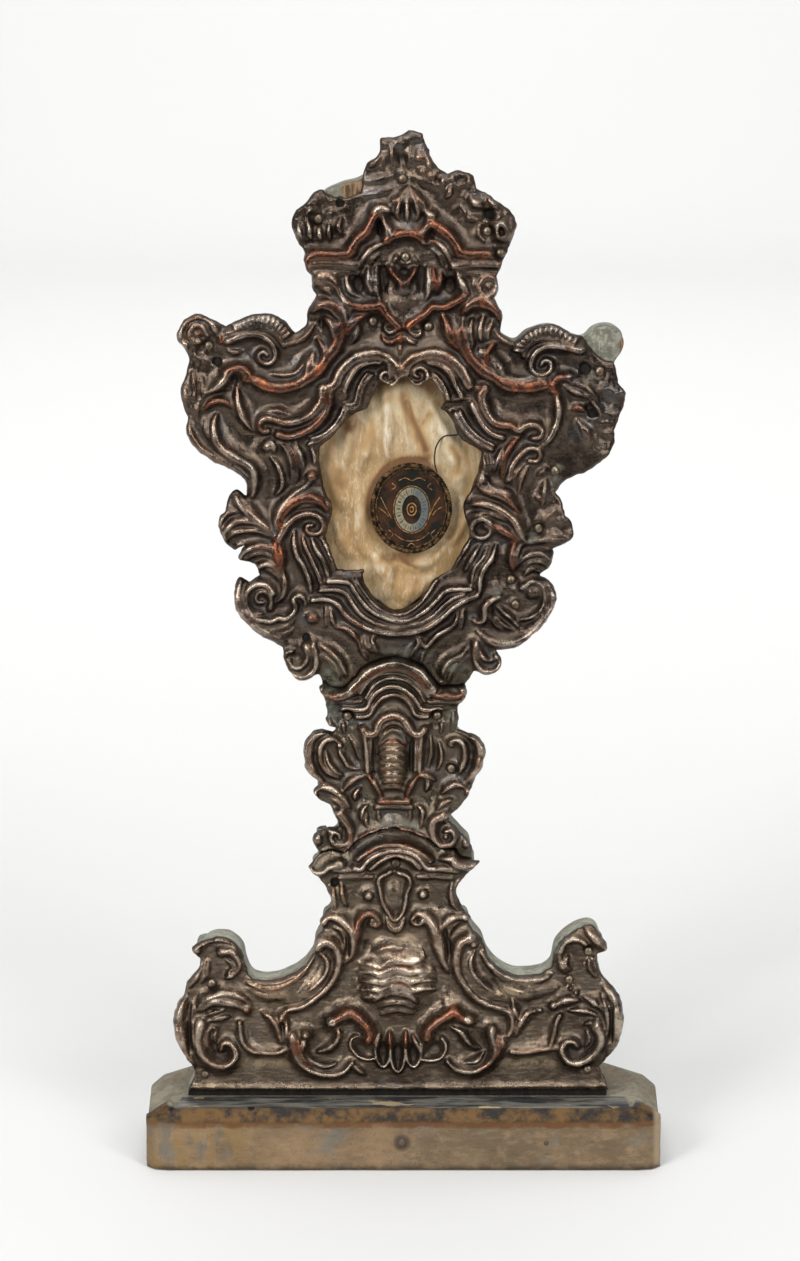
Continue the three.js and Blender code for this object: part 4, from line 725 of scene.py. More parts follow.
    ("rail", 0.9, 2.2, 0, [(45, 317.6), (46.4, 320.8), (49.6, 323), (55, 323.6), (61, 322.2), (66, 319.6)]),
    ("tail", 1.3, 3.2, 0.35, [(66.6, 319.4), (61.5, 320.4), (57, 321.1), (52.5, 320.7), (49, 318.3),
        (47.6, 315), (48.2, 312), (50.4, 310.4), (53.6, 310.6), (55.4, 312.8), (54.8, 315.2), (52.6, 315.6),
        (51.4, 313.8)]),
    ("tail", 1.5, 3, 0.9, [(56.2, 304.4), (56.3, 307.6), (58.5, 309.3), (61, 309.1), (63, 306.8)]),
    ("roll", 0.8, 2.4, 0, [(60, 309.8), (62.4, 309.9), (65, 309.2)]),
    ("roll", 1.1, 2.4, 0.1, [(60.2, 306.4), (63, 304.2), (66.5, 303), (70.6, 301.2)]),
    ("roll", 0.9, 2, 0.1, [(61.6, 307.8), (66, 306.6), (70, 304.4), (72.8, 300.6)]),
    ("roll", 1.3, 2.8, 0.35, [(58.2, 305), (57.6, 301.6), (58.2, 298), (57.8, 293), (56.3, 288.5),
        (53.5, 284.4), (50, 281.6)]),
    ("rail", 1.8, 3.6, 0.8, [(52.6, 306.5), (47, 305.7), (42, 305.7), (37.4, 306.9), (33.8, 309.4),
        (29.9, 312), (26.4, 315), (24, 318.5), (22.3, 322.5), (21.6, 327)]),
    ("roll", 0.8, 2.2, 0, [(49, 309.4), (44, 308.8), (39, 309.8), (36.4, 313)]),
    ("roll", 1.9, 3.6, 0, [(38.8, 308.8), (36, 312.2), (34.2, 315.8), (32.4, 318.2)]),
    ("roll", 1.4, 3.2, 1, [(34.4, 322.2), (31.6, 319.6), (31, 316.4), (32.4, 312.8)]),
    ("roll", 0.9, 1.8, 0, [(33, 329.4), (35, 325.4), (38.5, 322.6), (41.4, 321)]),
    ("tail", 1.7, 3.6, 0.6, [(30.4, 305), (29.4, 303), (29.7, 299.8), (31.2, 296), (33.7, 292.7),
        (37, 291.2), (40.5, 290.9), (42.6, 289.4), (43.6, 288.8), (45, 290.4), (48, 291.4), (51, 290.5),
        (52.1, 288.3), (50.8, 286.3), (48.4, 286.1)]),
    ("rail", 1, 2.9, 0.05, [(25.6, 299.2), (28, 294.3), (30.2, 290.8), (33, 288), (37, 286.4)]),
    ("rail", 0.6, 2.6, 0.05, [(19.4, 295.6), (21.1, 291.8), (24, 287.8), (28.5, 284.1), (33.4, 281.6)]),
    ("rail", 0.6, 2.6, 0, [(21.2, 296.2), (22.9, 292.6), (25.6, 289), (29.6, 285.7), (34, 283.4)]),
    ("roll", 1.3, 2.6, 0.9, [(37, 271), (37.8, 277), (39.4, 282), (43.6, 286.6)]),
    ("roll", 1, 2.8, 0, [(34.1, 273), (35.2, 277.5), (37.2, 282.6)]),
    ("tail", 1.2, 3.2, 0.5, [(39.6, 270.6), (41, 276), (44, 280), (47.5, 282.3), (50.9, 281.5), (51.5, 279),
        (49.8, 277.2), (47.2, 277.4)]),
    ("roll", 0.9, 2.4, 0.2, [(41.4, 268), (42.5, 273), (45.6, 276)]),
    ("roll", 0.8, 2.2, 0.2, [(43.4, 265.4), (44.5, 270.5), (46.8, 275)]),
    ("roll", 0.8, 2.4, 0, [(30, 279.6), (30.6, 275.6), (30, 272.6)]),
    ("roll", 0.8, 2.2, 0, [(32.4, 280.4), (33, 276), (32, 272.4)]),
    ("roll", 0.9, 1.8, 0.4, [(50.4, 271.6), (52.4, 273.4), (55, 273.8)]),
    ("roll", 1.1, 2, 0.3, [(53.8, 270), (53, 265), (52.4, 260)]),
    ("roll", 0.7, 1.4, 0, [(50, 264), (51.8, 262)]),
    ("roll", 1, 2, 0.7, [(62.6, 296.8), (66, 297.6), (68.6, 296.2)]),
    ("roll", 0.9, 1.8, 0.3, [(70, 301), (72.5, 297.5), (74.8, 293.6)]),
    ("roll", 0.8, 1.8, 0.5, [(65.4, 293), (67.5, 289.4), (68.2, 285.2)]),
    ("roll", 0.7, 1.8, 0, [(67.6, 291.6), (69.4, 288), (69.6, 283.6)]),
    ("roll", 0.8, 1.2, 0, [(72, 309), (74.4, 305), (75.6, 300)]),
    ("roll", 0.9, 1.2, 0, [(78.6, 311), (78.4, 306), (80.8, 302)]),
    # left leaves beside the window
    ("roll", 1.1, 2.8, 0.05, [(-48.8, 249), (-48.4, 254), (-47, 258.6), (-44.4, 262.2), (-41, 265.2),
        (-36.6, 268), (-34.2, 271)]),
    ("roll", 1.7, 3.4, 0.9, [(-47, 249.4), (-46.3, 256), (-43, 260.5), (-38.5, 262.9), (-34, 263.1),
        (-30.5, 261.2), (-28.6, 257.6)]),
    ("roll", 0.7, 2, 0, [(-41, 258.6), (-37, 260.2), (-33, 260)]),
    ("tail", 1.2, 3.4, 0.6, [(-47.2, 247.6), (-44, 253), (-40.5, 256), (-36, 257.3), (-32, 256),
        (-30.3, 253), (-31.6, 250), (-34.6, 249.2), (-36.7, 250.6), (-36.3, 252.6), (-34.6, 252.6)]),
    ("roll", 0.8, 2.2, 0, [(-30.4, 266), (-28.2, 262.4), (-28.4, 258)]),
    ("roll", 2.4, 3.2, 1, [(-46.4, 234), (-47, 239), (-47.6, 244), (-48.6, 249)]),
    ("roll", 1.5, 3, 0.3, [(-48.6, 248), (-52, 252), (-55, 254.6), (-58, 257.2), (-61.4, 260.2),
        (-64, 264)]),
    ("roll", 0.9, 2.2, 0.5, [(-54, 256.6), (-58, 260), (-61, 263.4)]),
    ("roll", 1.2, 2.6, 0.1, [(-48.8, 248.2), (-53, 252.6), (-58, 254.3), (-62.6, 254.4), (-66, 252.4),
        (-68, 249), (-66.6, 245.6)]),
    ("roll", 0.9, 2.4, 0, [(-50, 247.8), (-55, 250.8), (-60, 250.6), (-64, 250), (-66.2, 247.4)]),
    ("roll", 1, 2.2, 0, [(-62.6, 257.8), (-67, 257.4), (-69.2, 254), (-69, 250)]),
    ("roll", 1.3, 2.8, 0.2, [(-47.6, 240), (-50, 243.6), (-53.5, 244.7), (-57.5, 244), (-61.2, 241.4),
        (-61.8, 239)]),
    ("roll", 0.8, 2.2, 0.2, [(-48.6, 238.6), (-52, 241.6), (-56, 241.7), (-60, 239.2)]),
    ("roll", 1.1, 2.6, 0, [(-46.6, 232.8), (-49.5, 237), (-52.6, 237.7), (-55.2, 236), (-55.8, 233.4)]),
    ("roll", 0.7, 2.2, 0, [(-47, 231.4), (-49.6, 234.6), (-52.4, 235.4)]),
    ("roll", 1.2, 2.6, 0.1, [(-45.8, 236), (-45, 231), (-45.6, 226), (-48.4, 222.6)]),
    ("tail", 1.2, 3, 0.1, [(-49.6, 226.6), (-52, 229.6), (-56, 229.8), (-59.4, 227), (-59.6, 222),
        (-57, 218.8), (-53.4, 218.4)]),
    ("tail", 0.9, 2.6, 0.1, [(-50.6, 220.6), (-50.2, 224), (-51.8, 226.6), (-54.4, 227), (-56, 225.2),
        (-55.4, 222.8), (-53.4, 222.6)]),
    ("roll", 1.5, 2.6, 0.1, [(-61.6, 231.4), (-63, 226), (-62.5, 221), (-60, 217), (-55.5, 213),
        (-50, 209.8), (-44.6, 206.8)]),
    ("roll", 0.9, 2.6, 0.2, [(-60.4, 221.6), (-57.6, 217.4), (-53, 215.9), (-50, 215.7), (-47.5, 216.9),
        (-45, 216.4), (-42, 218.5), (-41, 221.5), (-42, 224.4), (-39.5, 225.6), (-37.4, 223.8),
        (-37.4, 220.4)]),
    ("roll", 0.7, 1.6, 0, [(-57, 214.2), (-50, 212.3), (-44, 213.6), (-40.4, 217.6)]),
    ("roll", 0.7, 1.4, 0, [(-51, 209.8), (-45, 210.4), (-41, 213.4)]),
    ("tail", 1.3, 2.8, 0.1, [(-34.3, 205.8), (-33.3, 201.5), (-33.6, 197.6), (-36, 194.4), (-40, 193.3),
        (-44, 195.4), (-46, 199.4), (-44.9, 202.8), (-42.4, 203.6)]),
    ("tail", 1, 2.6, 0.1, [(-37.4, 206), (-36.4, 203), (-37.2, 199.6), (-39.6, 197.2), (-42.4, 197.6),
        (-43.6, 200)]),
    # right leaves beside the window
    ("roll", 1.7, 3.2, 0.7, [(27, 269.6), (29.6, 266.6), (33, 265.7), (37, 264.4), (40.2, 261.8),
        (43.6, 257.6)]),
    ("roll", 0.7, 2.6, 0, [(31.4, 271.4), (32.2, 268.4), (34.6, 267), (38.4, 266.2), (42, 263.4)]),
    ("roll", 1.4, 3.2, 0.5, [(24.6, 260.4), (29, 261.2), (33, 260.4), (37, 258.4), (41, 255.4), (43.6, 251),
        (45.4, 247.4), (47.6, 245.4)]),
    ("roll", 0.8, 2.4, 0, [(24.8, 256.4), (30, 257.4), (35, 256.5), (39.4, 253.8)]),
    ("roll", 1.6, 3.2, 0.9, [(31.6, 253.8), (36, 251.6), (40, 249), (43.4, 246.2)]),
    ("tail", 1.1, 3.2, 0.1, [(32.6, 253.6), (30, 255.3), (26.8, 254.2), (25.6, 251.4), (26.8, 248.6),
        (29.8, 247.7), (32.4, 249.2), (32.6, 251.6), (30.6, 252.6)]),
    ("roll", 1.7, 3, 0.8, [(43, 247), (41.2, 243), (41.1, 238.6), (41.8, 234.8)]),
    ("roll", 0.8, 2.6, 0, [(44.6, 245.6), (43.2, 241), (43.2, 236)]),
    ("roll", 1.1, 1.8, 0.5, [(44.6, 245), (50, 246.7), (56, 247.2), (62, 246.8)]),
    ("roll", 0.7, 1.2, 0, [(51.6, 253.2), (54.4, 255.8), (57.8, 259.2)]),
    ("roll", 1.2, 2.6, 0, [(43, 237), (46, 240.6), (50, 242), (53.5, 241.3), (56, 238.3)]),
    ("roll", 0.8, 2.2, 0, [(44.6, 235.2), (48, 238.4), (52, 238.7), (55, 236.4)]),
    ("roll", 0.8, 2, 0, [(45.8, 230.8), (46.4, 234.4), (49, 236), (52, 234.2)]),
    ("roll", 1.6, 2.6, 0.1, [(51.4, 231.6), (55, 230), (57, 226), (56.6, 221), (53.6, 216), (49.6, 211.7),
        (44.4, 208.2), (38, 206.8), (33, 208), (28, 211.6)]),
    ("tail", 1.1, 2.8, 0.1, [(45, 228.4), (48.6, 231.2), (52.4, 229.6), (53.6, 225), (52, 220), (48.6, 217),
        (44, 216)]),
    ("roll", 0.8, 2.2, 0, [(54.6, 224), (53, 218.6), (48.6, 213.6), (43, 210.8)]),
    ("roll", 1.2, 3, 0.5, [(25.8, 216), (28, 214.9), (30.2, 215.7), (30.9, 218.5), (30.8, 221.2),
        (32.6, 223.3), (35, 224.5), (38.4, 224.8)]),
    ("roll", 0.8, 2.4, 0, [(35.6, 221.2), (38, 218.9), (41, 216.4), (43.5, 213.8), (45.6, 211.6)]),
    ("roll", 0.7, 2.2, 0, [(34.6, 218.2), (36.5, 215.4), (39, 213.4), (42.4, 211.6)]),
    ("roll", 0.7, 2, 0, [(33, 222), (33.3, 217.8), (35, 214.2), (38, 211.6)]),
    ("tail", 1.2, 2.8, 0.1, [(27.6, 206.6), (27.2, 201.5), (28.6, 197.4), (31.2, 195.6), (35, 196.3),
        (37.2, 199.2), (37.3, 202.6), (35.4, 203.8)]),
    ("roll", 1, 2.6, 0, [(28.8, 205.8), (29.9, 202), (32.4, 200.2), (34.6, 200.4)]),
    # reeds and mouldings round the foot of the window
    ("roll", 1, 2.8, 0, [(-41.2, 250.6), (-41.4, 246), (-40.4, 241.4), (-38, 237), (-36, 232.4),
        (-35, 226)]),
    ("roll", 0.9, 2.6, 0.6, [(-38.4, 249), (-37.4, 245), (-35.4, 240.8), (-33.4, 236.4), (-31.5, 231.4),
        (-31, 227)]),
    ("roll", 0.9, 3, 0, [(-35.2, 248.4), (-33, 243.5), (-30.4, 239.4), (-29, 235), (-28.4, 231)]),
    ("roll", 0.8, 2.4, 0, [(-31.4, 248), (-28.8, 244), (-26.8, 239.6), (-25.6, 235.2)]),
    ("rail", 0.9, 2.9, 0.05, [(-28.6, 231), (-24, 231.1), (-20.2, 230.2), (-18.6, 227.6), (-15.6, 223.2),
        (-11.6, 219.2), (-6, 216.6), (-2.4, 215.7), (2, 216.1), (5, 217.6), (9.6, 220.8), (13, 224.4),
        (16, 227.5), (20.5, 228.1), (25.6, 228.1)]),
    ("rail", 0.9, 2.6, 0.1, [(-31.6, 227.6), (-26, 227.8), (-22, 226.4), (-19.4, 222.6), (-16, 218.2),
        (-11, 214.9), (-5, 213.2), (0, 213.2), (6, 214.8), (11, 217.6), (15, 221.4), (18.6, 224.4),
        (23, 226)]),
    ("rail", 1, 2.9, 0.3, [(-34.6, 223.8), (-29, 224), (-25, 222.1), (-21.5, 217.8), (-17, 214.5),
        (-11, 211.8), (-5, 210.7), (0, 210.8), (5, 211.5), (10, 213.6), (14.6, 217), (18.6, 220.6),
        (22, 223), (28, 225.6)]),
    ("rail", 0.7, 2, 0, [(-18, 231.6), (-14.4, 226), (-10.4, 221.4), (-6, 218.8), (-2.6, 218), (1, 218.6),
        (5, 221.4), (8.6, 225.6), (12.4, 231.6)]),
    ("roll", 1.1, 3, 0.05, [(35.2, 245.2), (33.5, 240.5), (30.5, 236), (29, 231.5), (28.7, 227), (27, 225)]),
    ("roll", 0.9, 2.8, 0, [(28.9, 245), (26.5, 241), (24.5, 237.5), (23, 234.4)]),
    ("roll", 0.8, 2.4, 0, [(32.2, 245), (30, 240), (27, 236.4), (26, 232), (25.7, 228.6)]),
    ("roll", 0.8, 2.2, 0, [(25.2, 247.6), (23.4, 244), (20.6, 240.2), (18.8, 236)]),
    # brackets below
    ("roll", 0.7, 2.2, 0, [(-29.4, 221.6), (-29.6, 217.4), (-29.4, 213)]),
    ("roll", 0.8, 2.4, 0, [(-27.8, 221.4), (-26.9, 215.6), (-25.4, 212.8)]),
    ("roll", 0.9, 2.4, 0.7, [(-26, 213), (-22, 212.7), (-19.5, 210.9), (-17.5, 208), (-16, 206)]),
    ("roll", 0.7, 1.8, 0.1, [(-17.4, 207.6), (-15.6, 203.8), (-13.8, 199.8)]),
    ("roll", 0.8, 2.2, 0.1, [(-14.6, 209.6), (-14.4, 206.4), (-12.3, 204.3), (-9.6, 202.8)]),
    ("roll", 0.8, 2.4, 0.05, [(-10, 210.4), (-12, 208.6), (-11.3, 206), (-9.4, 203)]),
    ("roll", 0.9, 2.6, 0.05, [(20.9, 220.6), (20.1, 216), (18.9, 213.8), (16, 212), (12.5, 209.8),
        (9.8, 206.5), (8.2, 205.3), (7.2, 206.5), (6.2, 209)]),
    ("roll", 0.7, 2.2, 0, [(23, 220.6), (22.4, 216), (21.8, 211.8)]),
    ("roll", 0.8, 2.4, 0, [(5.2, 209.4), (5.4, 206), (3.5, 203.5), (2.8, 200.8)]),
    ("roll", 0.7, 1.8, 0, [(9.8, 205.8), (7.6, 202.6), (6.2, 198.4)]),
    ("roll", 1, 2.6, 0, [(-32.2, 206.8), (-29, 204.4), (-25.5, 201.4), (-23.4, 198), (-21.8, 193.6)]),
    ("roll", 0.8, 2, 0, [(-33.4, 203.6), (-30.2, 201.8), (-27.4, 199.2), (-25.2, 195.8), (-24.4, 192)]),
    ("roll", 1, 2.6, 0, [(24.4, 205.4), (22.4, 202.4), (20, 201.2), (17.4, 199.8), (15.4, 196.8),
        (14.6, 193.4)]),
    ("roll", 0.9, 2, 0, [(25, 202), (21.4, 199.2), (18.4, 196), (17, 191.6)]),
]
head_domes = [
    # x, z, half width, half height, height, and where they aren't 0, bare copper and turn
    (6.8, 386.4, 2.2, 1.5, 1.8, 0.6, -0.3), (10.8, 384.6, 1.9, 1.4, 1.5, 0.6, -0.4),
    (13.4, 386.6, 1.3, 1.6, 1.4), (14.8, 383, 1.4, 1.8, 1.7), (18.6, 384.4, 1.9, 1.5, 1.9, 0, 0.4),
    (21.8, 385, 1.8, 1.2, 1.7), (24.2, 382.6, 1.5, 1.7, 1.7), (21.2, 381, 1.7, 1.3, 1.6, 0, 0.5),
    (-27.4, 371, 1.7, 1.4, 1.6, 0, 0.5), (-25.2, 376.6, 1.3, 1.2, 1.3), (34.6, 369.6, 1.7, 1.4, 1.6),
    (28, 381, 1.2, 1.4, 1.2), (5.4, 392, 2.2, 2.9, 2), (1.6, 373, 5.4, 7, 1.4), (-33.4, 366, 6.4, 7, 1.4),
    (36, 366, 5.6, 6.6, 1.4), (0, 338.6, 8.4, 9.6, 3.6), (-30.9, 345.8, 3.2, 3.2, 2.8, 0.1),
    (31.8, 343.9, 1.8, 1.8, 2.4), (-1.2, 323.8, 1.8, 2.4, 2.6, 1), (-1.3, 319.8, 1.2, 2.2, 2, 0.5),
    (-76.9, 325.6, 1.7, 1.7, 2.6, 0.7), (-68.4, 323.7, 1.8, 2.5, 2.2, 0.8), (-51.2, 283.2, 2.5, 2.5, 3, 0.5),
    (-34.6, 271.6, 2.6, 2.4, 2.8, 0.7), (29.6, 270.6, 2.4, 2.6, 2.8, 0.2), (28.9, 319, 1.8, 2.2, 3),
    (-72.6, 321.8, 1.8, 1.6, 2.2), (-34.6, 216.6, 3.1, 2.5, 2.4, 0.7), (49, 227, 3.2, 3.2, 2.2),
    (35.4, 201.6, 1.5, 1.5, 2.6), (-33, 374.6, 3.4, 2.6, 1.2, 0, 0.4), (27, 375.4, 4.6, 3.4, 1, 0, -0.5),
    (22, 383, 4.2, 3.2, 1, 0, -0.3), (-23.4, 302.4, 2.2, 2.2, 1.6), (66, 315.6, 5, 3, 1.2, 0, -0.3),
    (-71.4, 329.4, 1.4, 2.6, 2.6), (56.4, 253.6, 7, 7.4, 0.8), (82, 303.6, 1.6, 2, 1.6),
]
head_pits = [
    # x, z, half width, half height, depth, and where it isn't 0, turn
    (-7.5, 346.4, 1.6, 5.2, 4.4), (6.6, 346.4, 1.6, 5.2, 4.4), (-16.8, 344, 2.2, 3.8, 2.6),
    (17.4, 344, 2.2, 3.4, 2.6), (-0.5, 373, 0.7, 3, 1.8), (3.1, 373.2, 0.7, 3, 1.8),
    (-4.4, 370.8, 0.8, 2.4, 1.6), (7.1, 369.6, 0.7, 2.2, 1.6), (-9, 365.4, 1.1, 4, 2.2, 0.1),
    (10.6, 363.4, 1.1, 2, 1.8), (0.4, 348.6, 2.4, 1.4, 1.2), (-37, 364, 0.5, 2.6, 1.3),
    (-33.3, 363.6, 0.5, 2.6, 1.3), (-29.6, 363.4, 0.5, 2.6, 1.3), (-26, 363.8, 0.6, 2.6, 1.3),
    (-6, 390.6, 0.7, 3.4, 1), (-1, 391.6, 1.2, 3.4, 0.8), (16.4, 386.6, 0.7, 1.6, 1.5),
    (12.4, 383.2, 0.7, 1.2, 1.3), (19.8, 382.6, 1, 0.7, 1.3), (23, 384, 0.6, 1, 1.3),
    (31.4, 370.4, 2.6, 2, 1.6), (70.6, 296.6, 1.6, 3.6, 1.6, 0.7), (68.2, 312.2, 2.8, 3.2, 1.4),
    (0.4, 359.2, 4.2, 3, 1), (2.2, 374.2, 1.4, 3, 1.2), (-8.6, 366, 1.4, 4.4, 1.2, 0.1),
    (-30.6, 330.4, 1.1, 3.4, 1.6, -0.1), (-63.4, 308.4, 1.5, 2.4, 1.6), (-11.4, 330.4, 2.6, 3, 1),
    (9.4, 328.6, 2.4, 3, 1), (-57, 314.6, 2, 2.6, 0.8), (57.4, 313, 2, 2.4, 0.8),
    (36.4, 364.4, 1.3, 2.4, 1.4), (-68.6, 303, 3, 1.4, 0.9, 0.3), (39.6, 225.4, 3, 2.6, 0.8),
    (36, 232, 2.6, 4.4, 0.8), (-36.9, 207.6, 2.6, 1.5, 1), (13.2, 193.6, 1.6, 3, 0.9, 0.5),
    (49, 249.6, 2, 1.6, 0.9), (71.6, 296.6, 1, 3.2, 2, 0.75), (36.6, 317.6, 2.4, 3.4, 0.6, 0.4),
    (-43, 226.6, 3, 3, 0.6), (-34.4, 370.6, 1.2, 1.2, 0.8), (-27.2, 376.8, 1, 1, 0.8),
]
# places where the sheet is crumpled by handling: x, z, half width, half height, depth
head_crumples = [
    (-33, 371, 11, 10, 1.7), (30, 374, 13, 9, 1.9), (20, 383, 9, 7, 1.9), (0, 390, 16, 12, 1.2),
    (-79, 304, 6, 18, 1.5), (-78, 322, 9, 11, 1.3), (75, 308, 12, 12, 1.7), (77, 290, 8, 14, 1.3),
    (38, 366, 7, 8, 1.2), (0, 356, 22, 10, 0.7), (0, 342, 36, 12, 0.6), (57, 253, 10, 9, 0.7),
    (50, 226, 9, 10, 1), (-54, 214, 12, 8, 0.8), (-38, 208, 9, 6, 1.2), (40, 230, 9, 9, 1),
    (-40, 200, 7, 7, 0.8), (33, 200, 6, 6, 0.8), (-66, 250, 8, 12, 0.8), (2, 372, 9, 9, 0.8),
]
